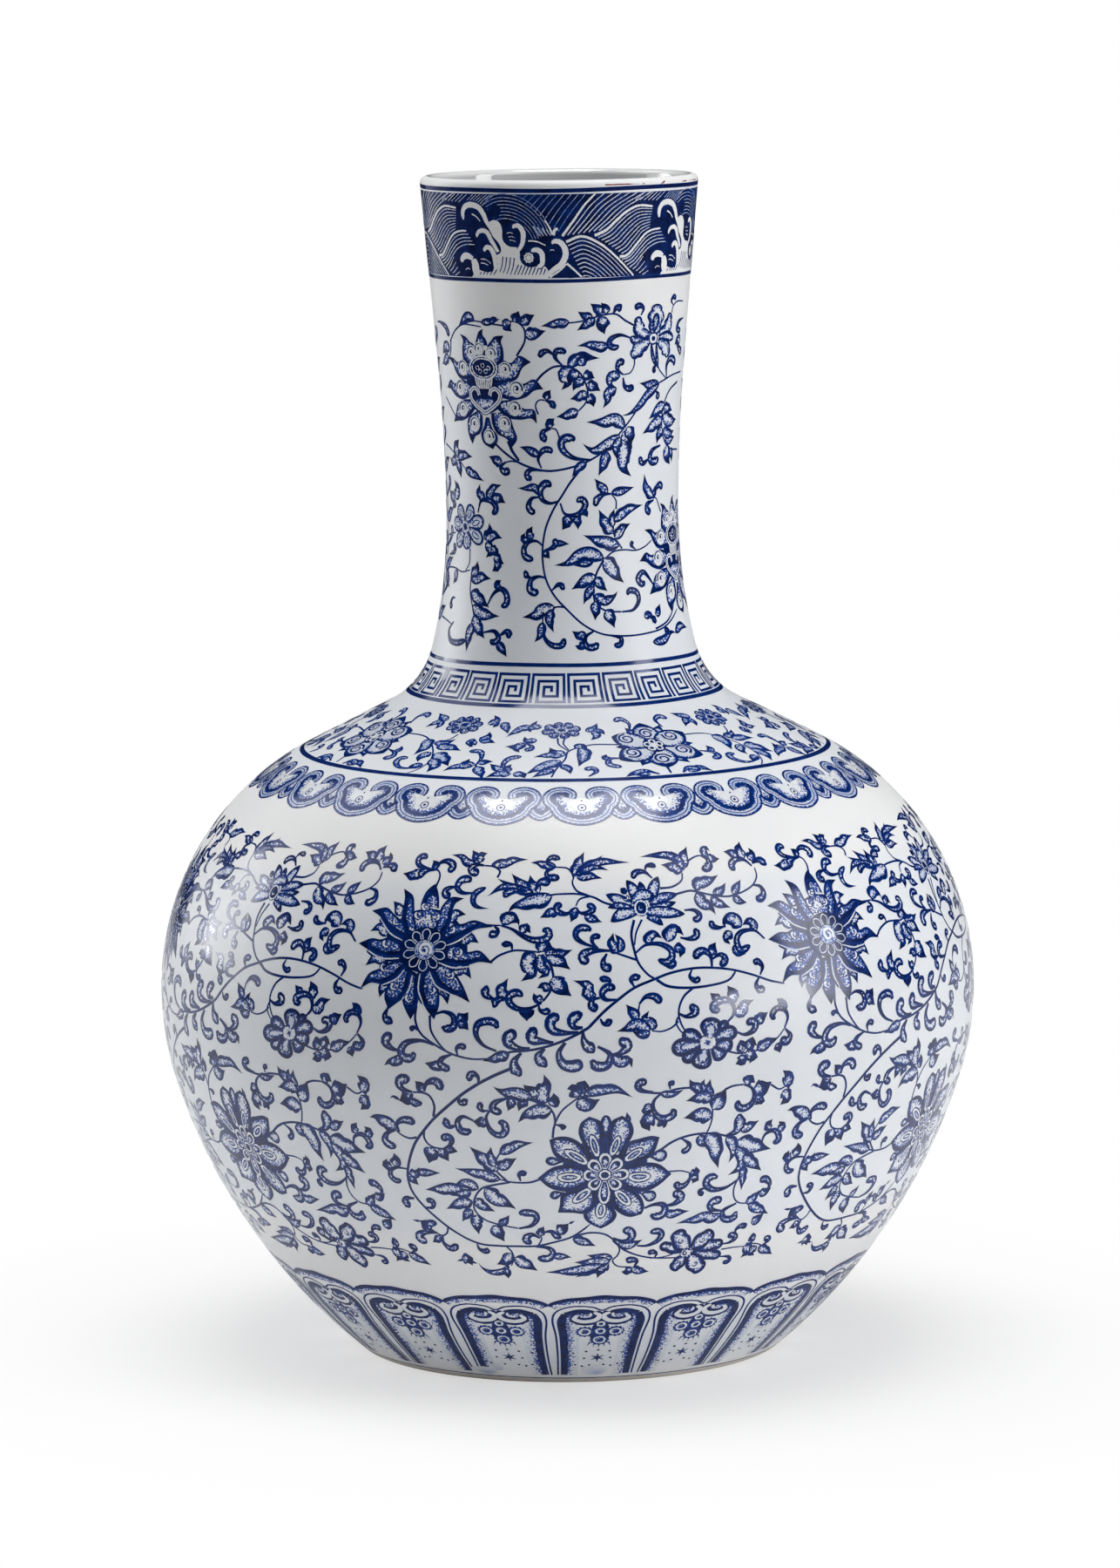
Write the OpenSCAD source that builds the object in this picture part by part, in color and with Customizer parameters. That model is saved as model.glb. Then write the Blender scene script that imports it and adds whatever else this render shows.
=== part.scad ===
// Globular porcelain vase with a tall waisted neck, in millimetres, +Z up.
// It stands on z = 0 with its axis on Z, and the origin is the middle of the foot.
// The outline is a chain of tangent arcs that starts at the widest line of the belly.
// Three thrown sections and a turned foot are luted with slip, and seven printed
// transfers are fired on to the glaze.

/* [Outline of the body] */
// Height from the table to the top of the lip
overall_h = 420; // [385:1:520]
// Radius of the belly at its widest line
belly_r = 146; // [125:0.5:180]
// Height of the widest line above the table
belly_z = 130; // [110:0.5:156]
// Profile radius of the globe above the widest line
upper_globe_r = 98; // [85:0.5:115]
// Lean of the shoulder, as the tilt of its normal above level
shoulder_lean = 63; // [53:0.5:70]
// Length of the straight part of the shoulder
shoulder_len = 33; // [20:0.5:42]
// Profile radius of the globe just below the widest line
lower_globe_r = 107; // [90:0.5:128]
// Turn of the profile over that arc
lower_globe_turn = 17.5; // [10:0.5:24]
// Profile radius from there down to the foot
lower_body_r = 211; // [176:0.5:260]
// Wall of the two body sections and the foot
body_wall = 6; // [4:0.1:8]

/* [Outline of the neck] */
// Hollow profile radius where the shoulder sweeps into the neck
neck_root_r = 31; // [24:0.5:38]
// Lean of the profile at the joint with the neck
neck_root_lean = 14; // [10:0.5:18]
// Hollow profile radius from that joint to the waist
neck_low_r = 193; // [160:1:235]
// Hollow profile radius from the waist to the flare
neck_high_r = 635; // [530:1:765]
// Outward lean of the straight flare under the lip
neck_flare = 5; // [3:0.1:6]
// Wall of the neck, which is also the thickness of the round lip
neck_wall = 4.5; // [3:0.1:6]

/* [Foot] */
// Depth of the hollow under the base
recess_h = 6; // [3:0.1:8]
// Thickness of the base over that hollow
floor_t = 6; // [4:0.1:8]
// Width of the unglazed ring that the vase stands on
foot_ring_w = 7; // [4:0.1:10]
// Draft of the inner face of that ring
foot_ring_draft = 1; // [0.2:0.1:2]
// Radius of the rounded outer edge of the foot
foot_edge_r = 2.5; // [1:0.1:3.5]
// Rise of the foot joint above the base, inside
foot_joint_rise = 2; // [1:0.1:4]

/* [Luting slip] */
// Thickness of the slip in a joint
slip_t = 1.2; // [0.6:0.1:2]
// Slip squeezed out past the inner wall
slip_bead = 1; // [0.3:0.1:2]

/* [Transfers] */
// Thickness of a fired transfer
film_t = 0.25; // [0.15:0.01:0.4]
// Bare porcelain between the top of the lip and the wave band
wave_drop = 3; // [2:0.1:6]
// Height of the wave band
wave_h = 33; // [25:0.1:40]
// Bare porcelain above and below the neck scroll
neck_scroll_gap = 3.5; // [1:0.1:6]
// Drop from the neck joint to the top of the fret band
fret_drop = 1; // [0:0.1:3]
// Height of the fret band
fret_h = 14; // [10:0.1:15]
// Height of the shoulder scroll
shoulder_scroll_h = 20; // [16:0.1:24]
// Height of the band of cloud-head lappets
lappet_h = 15; // [11:0.1:18]
// Bare porcelain above and below the belly scroll
belly_scroll_gap = 4; // [2:0.1:10]
// Height of the band of petal panels
petal_h = 37; // [30:0.1:46]
// Bare porcelain below the petal panels
petal_rise = 1.4; // [1:0.1:3]

/* [Hidden] */

turn_fn = 180;
profile_step = 3;
profile_turn = 15;
same_point = 0.001;
porcelain = [0.93, 0.94, 0.95];
raw_clay = [0.86, 0.83, 0.77];
cobalt = [0.13, 0.19, 0.50];
bulged = 1;
hollow = -1;

// Unit normal of the outline at a lean, and the way up along the outline there
function normal_at(lean) = [cos(lean), sin(lean)];
function up_at(lean) = [-sin(lean), cos(lean)];
// Turn, in degrees, that covers a length on an arc
function turn_of(len, r) = len / r * 180 / PI;

// An arc of the outline: centre, radius, lean at its two ends, bulged or hollow
function arc_from(p, r, lean_0, lean_1, form) =
    [p - form * r * normal_at(lean_0), r, lean_0, lean_1, form];
function part_of(arc, lean_0, lean_1) = [arc[0], arc[1], lean_0, lean_1, arc[4]];
function flipped(arc) = part_of(arc, arc[3], arc[2]);
function end_of(arc) = arc[0] + arc[4] * arc[1] * normal_at(arc[3]);

// Points along an arc, and along a chain of arcs, raised from the outline by lift.
// Where one arc ends short of the next, the outline runs straight between them.
function steps_of(arc) =
    max(1, ceil(abs(arc[3] - arc[2]) / min(profile_turn, turn_of(profile_step, arc[1]))));
function arc_points(arc, lift) =
    let (r = arc[4] * arc[1] + lift, n = steps_of(arc))
    [for (i = [0 : n]) arc[0] + r * normal_at(arc[2] + (arc[3] - arc[2]) * i / n)];
function chain_points(arcs, lift) = [for (arc = arcs) each arc_points(arc, lift)];
function reversed(points) = [for (i = [len(points) - 1 : -1 : 0]) points[i]];
function merged(points) = [
    for (i = [0 : len(points) - 1])
        if (i == 0 || norm(points[i] - points[i - 1]) > same_point) points[i]
];

// Outline upwards from the widest line
widest = [belly_r, belly_z];
upper_globe = arc_from(widest, upper_globe_r, 0, shoulder_lean, bulged);
shoulder_high = end_of(upper_globe) + shoulder_len * up_at(shoulder_lean);
neck_root = arc_from(shoulder_high, neck_root_r, shoulder_lean, neck_root_lean, hollow);
neck_joint = end_of(neck_root);
neck_low = arc_from(neck_joint, neck_low_r, neck_root_lean, 0, hollow);
neck_high = arc_from(end_of(neck_low), neck_high_r, 0, -neck_flare, hollow);

// Round lip at the end of the straight flare
flare_low = end_of(neck_high);
lip_r = neck_wall / 2;
flare_top_z = overall_h - lip_r - lip_r * sin(neck_flare);
flare_high = flare_low + (flare_top_z - flare_low[1]) / cos(neck_flare) * up_at(-neck_flare);
lip = arc_from(flare_high, lip_r, -neck_flare, 180 - neck_flare, bulged);

// Outline downwards from the widest line to the rounded edge of the foot
lower_globe = arc_from(widest, lower_globe_r, 0, -lower_globe_turn, bulged);
tuck_start = end_of(lower_globe);
tuck_middle = tuck_start - lower_body_r * normal_at(-lower_globe_turn);
foot_lean = asin((foot_edge_r - tuck_middle[1]) / (lower_body_r - foot_edge_r));
tuck = arc_from(tuck_start, lower_body_r, -lower_globe_turn, foot_lean, bulged);
foot_edge = arc_from(end_of(tuck), foot_edge_r, foot_lean, -90, bulged);

// Inside of the foot: where the base meets the wall, and the joint above it
floor_top = recess_h + floor_t;
inner_tuck_r = lower_body_r - body_wall;
floor_lean = asin((floor_top - tuck_middle[1]) / inner_tuck_r);
foot_joint_lean = asin((floor_top + foot_joint_rise - tuck_middle[1]) / inner_tuck_r);

// Turn of the outline that the slip takes up in each joint
neck_slip_lean = neck_root_lean - turn_of(slip_t, neck_low_r);
belly_slip_lean = turn_of(slip_t, upper_globe_r);
foot_slip_lean = foot_joint_lean + turn_of(slip_t, lower_body_r);

// Outline that the transfers lie on, from the foot to the lip
outside = [flipped(tuck), flipped(lower_globe), upper_globe, neck_root, neck_low, neck_high,
           part_of(lip, -neck_flare, -neck_flare)];

// Edges of the bands above the table
wave_top = overall_h - wave_drop;
wave_low = wave_top - wave_h;
fret_top = neck_joint[1] - fret_drop;
fret_low = fret_top - fret_h;
shoulder_scroll_low = fret_low - shoulder_scroll_h;
lappet_low = shoulder_scroll_low - lappet_h;
petal_top = petal_rise + petal_h;

// Outline of a wall that lies between two lifts from a chain of arcs
module wall_outline(arcs, inner_lift, outer_lift) {
    polygon(merged(concat(chain_points(arcs, outer_lift), reversed(chain_points(arcs, inner_lift)))));
}

// A printed band between two heights, as a thin skin on the glaze
module band(low, high) {
    color(cobalt) rotate_extrude($fn = turn_fn) intersection() {
        wall_outline(outside, 0, film_t);
        translate([0, low]) square([2 * belly_r, high - low]);
    }
}

// Ring of slip in a joint, with the bead that it leaves inside
module slip_ring(arc) {
    color(raw_clay) rotate_extrude($fn = turn_fn) wall_outline([arc], -body_wall - slip_bead, 0);
}

// Neck from its joint to the round lip
module neck() {
    arcs = [part_of(neck_low, neck_slip_lean, 0), neck_high];
    color(porcelain) rotate_extrude($fn = turn_fn)
        polygon(merged(concat(
            chain_points(arcs, 0),
            arc_points(lip, 0),
            reversed(chain_points(arcs, -neck_wall))
        )));
}

// Upper half of the globe with the shoulder and the sweep into the neck
module upper_body() {
    arcs = [part_of(upper_globe, belly_slip_lean, shoulder_lean), neck_root];
    color(porcelain) rotate_extrude($fn = turn_fn) wall_outline(arcs, -body_wall, 0);
}

// Lower half of the globe, tucked in towards the foot
module lower_body() {
    arcs = [lower_globe, part_of(tuck, -lower_globe_turn, foot_slip_lean)];
    color(porcelain) rotate_extrude($fn = turn_fn) wall_outline(arcs, -body_wall, 0);
}

// Turned foot: the end of the wall, the base and the ring that it stands on
module foot() {
    ring_in = foot_edge[0][0] - foot_ring_w;
    color(raw_clay) rotate_extrude($fn = turn_fn)
        polygon(merged(concat(
            arc_points(part_of(tuck, foot_joint_lean, foot_lean), 0),
            arc_points(foot_edge, 0),
            [[ring_in, 0], [ring_in - foot_ring_draft, recess_h], [0, recess_h], [0, floor_top]],
            arc_points(part_of(tuck, floor_lean, foot_joint_lean), -body_wall)
        )));
}

module neck_slip_joint() slip_ring(part_of(neck_low, neck_root_lean, neck_slip_lean));

module belly_slip_joint() slip_ring(part_of(upper_globe, 0, belly_slip_lean));

module foot_slip_joint() slip_ring(part_of(tuck, foot_joint_lean, foot_slip_lean));

module wave_transfer() band(wave_low, wave_top);

module neck_scroll_transfer() band(fret_top + neck_scroll_gap, wave_low - neck_scroll_gap);

module fret_transfer() band(fret_low, fret_top);

module shoulder_scroll_transfer() band(shoulder_scroll_low, fret_low);

module lappet_transfer() band(lappet_low, shoulder_scroll_low);

module belly_scroll_transfer() band(petal_top + belly_scroll_gap, lappet_low - belly_scroll_gap);

module petal_transfer() band(petal_rise, petal_top);

neck();
upper_body();
lower_body();
foot();
neck_slip_joint();
belly_slip_joint();
foot_slip_joint();
wave_transfer();
neck_scroll_transfer();
fret_transfer();
shoulder_scroll_transfer();
lappet_transfer();
belly_scroll_transfer();
petal_transfer();
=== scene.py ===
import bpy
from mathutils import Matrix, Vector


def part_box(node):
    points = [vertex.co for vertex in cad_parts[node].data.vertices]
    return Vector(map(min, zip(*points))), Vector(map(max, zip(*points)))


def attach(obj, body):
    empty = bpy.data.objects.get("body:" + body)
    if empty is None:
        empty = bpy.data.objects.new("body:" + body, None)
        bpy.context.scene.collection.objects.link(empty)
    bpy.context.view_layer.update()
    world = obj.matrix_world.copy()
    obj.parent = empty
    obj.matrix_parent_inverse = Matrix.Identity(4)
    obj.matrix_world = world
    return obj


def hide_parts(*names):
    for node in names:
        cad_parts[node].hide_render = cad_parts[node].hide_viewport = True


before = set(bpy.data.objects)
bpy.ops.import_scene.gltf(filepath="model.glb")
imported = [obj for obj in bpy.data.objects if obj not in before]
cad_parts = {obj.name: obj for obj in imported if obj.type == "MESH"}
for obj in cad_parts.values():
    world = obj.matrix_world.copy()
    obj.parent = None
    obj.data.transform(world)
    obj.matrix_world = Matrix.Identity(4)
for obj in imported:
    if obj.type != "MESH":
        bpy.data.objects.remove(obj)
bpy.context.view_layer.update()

import bpy
import numpy as np
from bpy.props import FloatProperty, FloatVectorProperty, PointerProperty
from mathutils import Matrix, Vector

bl_info = {
    "name": "Blue and white porcelain vase",
    "version": (1, 0, 0),
    "blender": (4, 5, 0),
    "location": "View3D > Sidebar > Vase",
    "description": "Globular porcelain vase with a tall neck and printed lotus scrolls",
    "category": "Object",
}

MM = 0.001
FULL_TURN = 2 * np.pi

# Fineness of the walls: steps round the axis, and the most that one step of a section covers, in
# millimetres and radians
TURN_STEPS = 256
PROFILE_STEP = 2.4
PROFILE_TURN = np.radians(12)
# Fineness of the strokes: shortest and longest step in millimetres, a step as a share of the
# half-width, and the steps of a round end and between two points of a path
STROKE_STEPS = (0.3, 0.9)
STEP_SHARE = 0.4
END_STEPS = 6
CURVE_STEPS = 14
# Length below which two places count as one, in millimetres
TINY = 1e-6
# Depth of the glaze that reaches over a joint, in millimetres
GLAZE_DEPTH = 1.0

# Solid tip of a stroke: how far below the edge it counts, in millimetres, and the share of its
# length over which it fades
TIP_DEPTH = 0.8
TIP_FADE = 0.7
# Scallops of a stroke's side: narrowest share of the half-width, and what a scallop adds
SCALLOP = (0.8, 0.28)
# Outline that fills a whole stroke, ink of a stroke that is left white, and the distance from the
# edge that counts all over a white patch, in millimetres
SOLID = 99.0
WHITE = {"line": 0.0, "shade": 0.0}
WHITE_EDGE = 5.0

# Where the values of a stroke's ink, of its wash and of its layer stand behind x and y
INK = slice(2, 5)
WASH = 5
LAYER = 6

# Height of the print over the glaze, and what each layer of it adds, in millimetres
PRINT_LIFT = 0.024
LAYER_LIFT = 0.016
# Steps inside a layer, so that strokes of one layer that cross don't share a plane
ORDER_STEPS = 7

# Camera of the photograph: its place in metres, its turns in degrees, and its sensor's height and
# lens in millimetres
CAMERA_PLACE = (0.0, -2.3663, 0.5244)
CAMERA_PITCH = 7.759
CAMERA_YAW = 0.047
CAMERA_ROLL = 0.624
SENSOR = 36.0
LENS = 152.87


def length(name, description, default):
    """A size in metres that the sidebar shows."""
    return FloatProperty(name=name, description=description, default=default, min=0.0, unit="LENGTH")


def angle(name, description, degrees):
    """An angle that the sidebar shows."""
    return FloatProperty(name=name, description=description, default=np.radians(degrees), unit="ROTATION")


def colour(name, description, default):
    """A linear colour that the sidebar shows."""
    return FloatVectorProperty(name=name, description=description, default=default,
                               subtype="COLOR", min=0.0, max=1.0)


class VaseSizes(bpy.types.PropertyGroup):
    """Sizes of the outline and of the walls."""
    overall_h: length("Height", "Table to the top of the lip", 0.420)
    belly_r: length("Belly radius", "Radius at the widest line", 0.146)
    belly_z: length("Belly height", "Table to the widest line", 0.130)
    upper_globe_r: length("Upper globe", "Profile radius above the widest line", 0.098)
    shoulder_lean: angle("Shoulder lean", "Tilt of the shoulder's normal", 63)
    shoulder_len: length("Shoulder length", "Straight part of the shoulder", 0.033)
    lower_globe_r: length("Lower globe", "Profile radius below the widest line", 0.107)
    lower_globe_turn: angle("Lower globe turn", "Turn of the profile over that arc", 17.5)
    lower_body_r: length("Lower body", "Profile radius down to the foot", 0.211)
    body_wall: length("Body wall", "Wall of the body and the foot", 0.006)
    neck_root_r: length("Neck root", "Hollow radius at the root of the neck", 0.031)
    neck_root_lean: angle("Neck root lean", "Lean of the profile at the neck joint", 14)
    neck_low_r: length("Lower neck", "Hollow radius from the joint to the waist", 0.193)
    neck_high_r: length("Upper neck", "Hollow radius from the waist to the flare", 0.635)
    neck_flare: angle("Neck flare", "Outward lean under the lip", 5)
    neck_wall: length("Neck wall", "Wall of the neck and width of the lip", 0.0045)
    recess_h: length("Base recess", "Hollow under the base", 0.006)
    floor_t: length("Base", "Thickness of the base", 0.006)
    foot_ring_w: length("Foot ring", "Width of the unglazed ring", 0.007)
    foot_ring_draft: length("Foot draft", "Draft inside the ring", 0.001)
    foot_edge_r: length("Foot edge", "Rounded edge of the foot", 0.0025)
    foot_joint_rise: length("Foot joint", "Rise of the joint over the base", 0.002)
    slip_t: length("Slip", "Thickness of the slip in a joint", 0.0012)
    slip_bead: length("Slip bead", "Slip squeezed out inside", 0.001)


class VaseColours(bpy.types.PropertyGroup):
    """Colours of the glaze, the clay, the print and the floor."""
    porcelain: colour("Porcelain", "Glazed porcelain", (0.815, 0.818, 0.822))
    porcelain_shade: colour("Porcelain shade", "Faint clouds in the glaze", (0.77, 0.775, 0.783))
    veiled: colour("Veiled glaze", "Porcelain glaze between the strokes of the scrolls",
                   (0.765, 0.793, 0.83))
    clay: colour("Clay", "Unglazed foot ring and slip", (0.62, 0.58, 0.52))
    blue: colour("Blue", "Middle blue of the print", (0.055, 0.18, 0.52))
    cobalt: colour("Cobalt", "Strong blue of the print", (0.005, 0.046, 0.29))
    navy: colour("Navy", "Darkest blue of the print", (0.0008, 0.004, 0.03))
    stain: colour("Lip marks", "Brown marks on the lip", (0.2, 0.035, 0.03))
    floor: colour("Floor", "Studio floor", (0.84, 0.84, 0.84))


def normal_at(lean):
    """Unit normal, as radius and height, of an outline whose normal leans by this angle."""
    return np.stack([np.cos(lean), np.sin(lean)], -1)


def arc_from(start, radius, lean_0, lean_1, form):
    """Arc from a point: its centre lies a radius behind (form 1) or before (form -1) the outline."""
    return start - form * radius * normal_at(lean_0), radius, lean_0, lean_1, form


def arc_part(arc, lean_0, lean_1):
    """The part of an arc between two leans."""
    return arc[0], arc[1], lean_0, lean_1, arc[4]


def arc_end(arc):
    """Last point of an arc."""
    return arc[0] + arc[4] * arc[1] * normal_at(arc[3])


def arc_run(arc, lift=0.0):
    """Points and normals along an arc: centre plus radius times a normal that turns evenly."""
    centre, radius, lean_0, lean_1, form = arc
    turn = abs(lean_1 - lean_0)
    count = 2 + int(max(turn * radius / PROFILE_STEP, turn / PROFILE_TURN))
    normals = normal_at(np.linspace(lean_0, lean_1, count))
    return centre + (form * radius + lift) * normals, normals


def chain_run(arcs, lift=0.0):
    """Points and normals along several arcs, with straight lines from one to the next."""
    runs = [arc_run(arc, lift) for arc in arcs]
    points = np.concatenate([run[0] for run in runs])
    normals = np.concatenate([run[1] for run in runs])
    gaps = np.linalg.norm(np.diff(points, axis=0), axis=1)
    keep = np.concatenate([[True], gaps > TINY])
    return points[keep], normals[keep]


def back_run(run):
    """The other side of a wall: the run taken backwards, with its normals turned over."""
    return run[0][::-1], -run[1][::-1]


def line_run(start, end):
    """A straight face of a section, with the normal on its right-hand side."""
    way = (np.asarray(end, float) - start) / np.linalg.norm(np.asarray(end, float) - start)
    return np.array([start, end], float), np.tile([way[1], -way[0]], (2, 1))


class Outline:
    """The vase's outline in millimetres: arcs that run into each other from the widest line."""

    def __init__(self, sizes):
        s = {key: getattr(sizes, key) / MM for key in VaseSizes.__annotations__}
        for key in ("shoulder_lean", "lower_globe_turn", "neck_root_lean", "neck_flare"):
            s[key] = getattr(sizes, key)
        self.sizes = s
        widest = np.array([s["belly_r"], s["belly_z"]])
        lean = s["shoulder_lean"]
        self.upper_globe = arc_from(widest, s["upper_globe_r"], 0.0, lean, 1)
        shoulder_up = np.array([-np.sin(lean), np.cos(lean)])
        shoulder_high = arc_end(self.upper_globe) + s["shoulder_len"] * shoulder_up
        self.neck_root = arc_from(shoulder_high, s["neck_root_r"], lean, s["neck_root_lean"], -1)
        self.neck_low = arc_from(arc_end(self.neck_root), s["neck_low_r"], s["neck_root_lean"], 0.0, -1)
        self.neck_high = arc_from(arc_end(self.neck_low), s["neck_high_r"], 0.0, -s["neck_flare"], -1)
        flare = s["neck_flare"]
        lip_r = s["neck_wall"] / 2
        flare_low = arc_end(self.neck_high)
        flare_rise = s["overall_h"] - lip_r * (1 + np.sin(flare)) - flare_low[1]
        flare_high = flare_low + flare_rise * np.array([np.tan(flare), 1.0])
        self.lip = arc_from(flare_high, lip_r, -flare, np.pi - flare, 1)
        turn = s["lower_globe_turn"]
        self.lower_globe = arc_from(widest, s["lower_globe_r"], 0.0, -turn, 1)
        tuck_start = arc_end(self.lower_globe)
        middle = tuck_start - s["lower_body_r"] * normal_at(-turn)
        edge = s["foot_edge_r"]
        foot_lean = np.arcsin((edge - middle[1]) / (s["lower_body_r"] - edge))
        self.tuck = arc_from(tuck_start, s["lower_body_r"], -turn, foot_lean, 1)
        self.foot_edge = arc_from(arc_end(self.tuck), edge, foot_lean, -np.pi / 2, 1)
        inner = s["lower_body_r"] - s["body_wall"]
        self.floor_top = s["recess_h"] + s["floor_t"]
        self.floor_lean = np.arcsin((self.floor_top - middle[1]) / inner)
        self.foot_joint = np.arcsin((self.floor_top + s["foot_joint_rise"] - middle[1]) / inner)
        self.slip_turn = {
            "neck": -s["slip_t"] / s["neck_low_r"],
            "belly": s["slip_t"] / s["upper_globe_r"],
            "foot": s["slip_t"] / s["lower_body_r"],
        }
        self.measure()

    def measure(self):
        """Lays the outside out by its length from the widest line, up positive."""
        down = [self.lower_globe, self.tuck, self.foot_edge]
        up = [self.upper_globe, self.neck_root, self.neck_low, self.neck_high,
              arc_part(self.lip, self.lip[2], np.pi / 2)]
        low, low_n = chain_run(down)
        high, high_n = chain_run(up)
        points = np.concatenate([low[:0:-1], high])
        normals = np.concatenate([low_n[:0:-1], high_n])
        self.lengths = np.concatenate([[0.0], np.cumsum(np.linalg.norm(np.diff(points, axis=0), axis=1))])
        self.lengths -= self.lengths[len(low) - 1]
        self.points = points
        self.leans = np.arctan2(normals[:, 1], normals[:, 0])

    def wrap(self, turn, along, lift):
        """Places and normals, in metres, of points at an angle round and a length along the outline."""
        lean = np.interp(along, self.lengths, self.leans)
        r = np.interp(along, self.lengths, self.points[:, 0]) + lift * np.cos(lean)
        z = np.interp(along, self.lengths, self.points[:, 1]) + lift * np.sin(lean)
        way = np.stack([np.sin(turn), -np.cos(turn)], -1)
        places = np.concatenate([r[..., None] * way, z[..., None]], -1) * MM
        normals = np.concatenate([np.cos(lean)[..., None] * way, np.sin(lean)[..., None]], -1)
        return places, normals


def make_mesh(name, places, faces, normals):
    """Mesh of faces with 3 or 4 corners, and one normal for each corner of a face."""
    mesh = bpy.data.meshes.new(name)
    corners = np.concatenate([f.ravel() for f in faces]).astype(np.int32)
    counts = np.concatenate([np.full(len(f), f.shape[1]) for f in faces])
    mesh.vertices.add(len(places))
    mesh.vertices.foreach_set("co", np.ascontiguousarray(places, np.float32).ravel())
    mesh.loops.add(len(corners))
    mesh.loops.foreach_set("vertex_index", corners)
    mesh.polygons.add(len(counts))
    mesh.polygons.foreach_set("loop_start", (np.cumsum(counts) - counts).astype(np.int32))
    mesh.polygons.foreach_set("use_smooth", np.ones(len(counts), bool))
    mesh.update(calc_edges=True)
    if mesh.validate(clean_customdata=False):
        raise RuntimeError(f"{name}: the mesh has faulty faces")
    mesh.normals_split_custom_set(np.asarray(normals, np.float32))
    return mesh


def lathe(name, runs):
    """Solid of revolution: the point of the section at radius r and height z goes to
    (r sin a, -r cos a, z) for the angle a round the axis. The runs follow each other round
    the section, and a section that starts and ends on the axis closes there."""
    points = np.concatenate([run[0][:-1] for run in runs] + [runs[-1][0][-1:]])
    closed = np.linalg.norm(points[0] - points[-1]) < TINY
    points = points[:-1] if closed else points
    starts = np.concatenate([run[1][:-1] for run in runs])
    ends = np.concatenate([run[1][1:] for run in runs])
    first = np.arange(len(starts))
    second = (first + 1) % len(points)
    turns = np.arange(TURN_STEPS) * FULL_TURN / TURN_STEPS
    way = np.stack([np.sin(turns), -np.cos(turns)], -1)
    ring = np.arange(TURN_STEPS)
    after = (ring + 1) % TURN_STEPS
    poles = points[:, 0] < TINY
    sizes = np.where(poles, 1, TURN_STEPS)
    base = np.cumsum(sizes) - sizes
    places = [np.column_stack([p[0] * way, np.full(TURN_STEPS, p[1])])[:n] for p, n in zip(points, sizes)]
    index = base[:, None] + np.where(poles[:, None], 0, ring[None, :])
    turned = np.stack([way, way[after]], 0)

    def faces_of(rows, corners):
        """Faces of some rows of the section, and the normals of their corners."""
        grid = {"a": index[first[rows]], "b": index[second[rows]]}
        grid = {k: (v, v[:, after]) for k, v in grid.items()}
        side = {"a": starts[rows], "b": ends[rows]}
        face = np.stack([grid[k][j] for k, j in corners], -1)
        normal = np.stack([
            np.concatenate([
                side[k][:, None, :1] * turned[j][None],
                np.broadcast_to(side[k][:, None, 1:], (len(side[k]), TURN_STEPS, 1)),
            ], -1) for k, j in corners], 2)
        return face.reshape(-1, len(corners)), normal.reshape(-1, 3)

    on_axis_a, on_axis_b = poles[first], poles[second]
    parts = [
        faces_of(np.flatnonzero(~on_axis_a & ~on_axis_b), (("a", 0), ("a", 1), ("b", 1), ("b", 0))),
        faces_of(np.flatnonzero(on_axis_a), (("a", 0), ("b", 1), ("b", 0))),
        faces_of(np.flatnonzero(on_axis_b), (("a", 0), ("a", 1), ("b", 0))),
    ]
    parts = [part for part in parts if len(part[0])]
    return make_mesh(name, np.concatenate(places) * MM, [part[0] for part in parts],
                     np.concatenate([part[1] for part in parts]))


def joint_step(arc, lean_glaze, lean_wall, wall):
    """End of a section at a joint: the glaze reaches over half of the slip, the wall stops at it."""
    centre, radius, _, _, form = arc
    at = lambda lean, depth: centre + (form * radius - depth) * normal_at(lean)
    return [at(lean_glaze, 0.0), at(lean_glaze, GLAZE_DEPTH), at(lean_wall, GLAZE_DEPTH),
            at(lean_wall, wall)]


def faceted(points):
    """Straight runs through a list of points."""
    return [line_run(a, b) for a, b in zip(points, points[1:])]


def spline(points):
    """Smooth curve through the points (Catmull-Rom) and the length up to each place on it.
    The place between two points is a cubic of them and of their neighbours."""
    p = np.asarray(points, float).reshape(-1, 2)
    ends = np.concatenate([[2 * p[0] - p[1]], p, [2 * p[-1] - p[-2]]])
    t = np.linspace(0, len(p) - 1, CURVE_STEPS * (len(p) - 1) + 1)
    i = np.minimum(t.astype(int), len(p) - 2)
    f = (t - i)[:, None]
    a, b, c, d = ends[i], ends[i + 1], ends[i + 2], ends[i + 3]
    curve = 0.5 * (2 * b + (c - a) * f + (2 * a - 5 * b + 4 * c - d) * f ** 2
                   + (3 * b - a - 3 * c + d) * f ** 3)
    run = np.concatenate([[0.0], np.cumsum(np.linalg.norm(np.diff(curve, axis=0), axis=1))])
    return curve, run


def along_spline(points, u):
    """Places on the curve at shares u of its length, the unit ways there and the length."""
    curve, run = spline(points)
    place = np.stack([np.interp(u * run[-1], run, curve[:, k]) for k in (0, 1)], -1)
    way = np.gradient(curve, run, axis=0)
    way = np.stack([np.interp(u * run[-1], run, way[:, k]) for k in (0, 1)], -1)
    return place, way / np.linalg.norm(way, axis=1, keepdims=True), run[-1]


def shares(form, long, step):
    """Shares of a stroke's length at which it is cut: even steps, closer round a round end."""
    start = ROUND_STARTS.get(form, 1.0)
    even = np.linspace(0, start, max(4, int(start * long / step) + 2))
    if form == "oval":
        return 0.5 - 0.5 * np.cos(np.linspace(0, np.pi, max(9, int(long / step) + 2)))
    if start == 1.0:
        return even
    return np.concatenate([even, start + (1 - start) * np.sin(np.linspace(0, np.pi / 2,
                                                                          END_STEPS + 1)[1:])])


def ease(x):
    """Smooth step from 0 to 1."""
    x = np.clip(x, 0, 1)
    return x * x * (3 - 2 * x)


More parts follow.
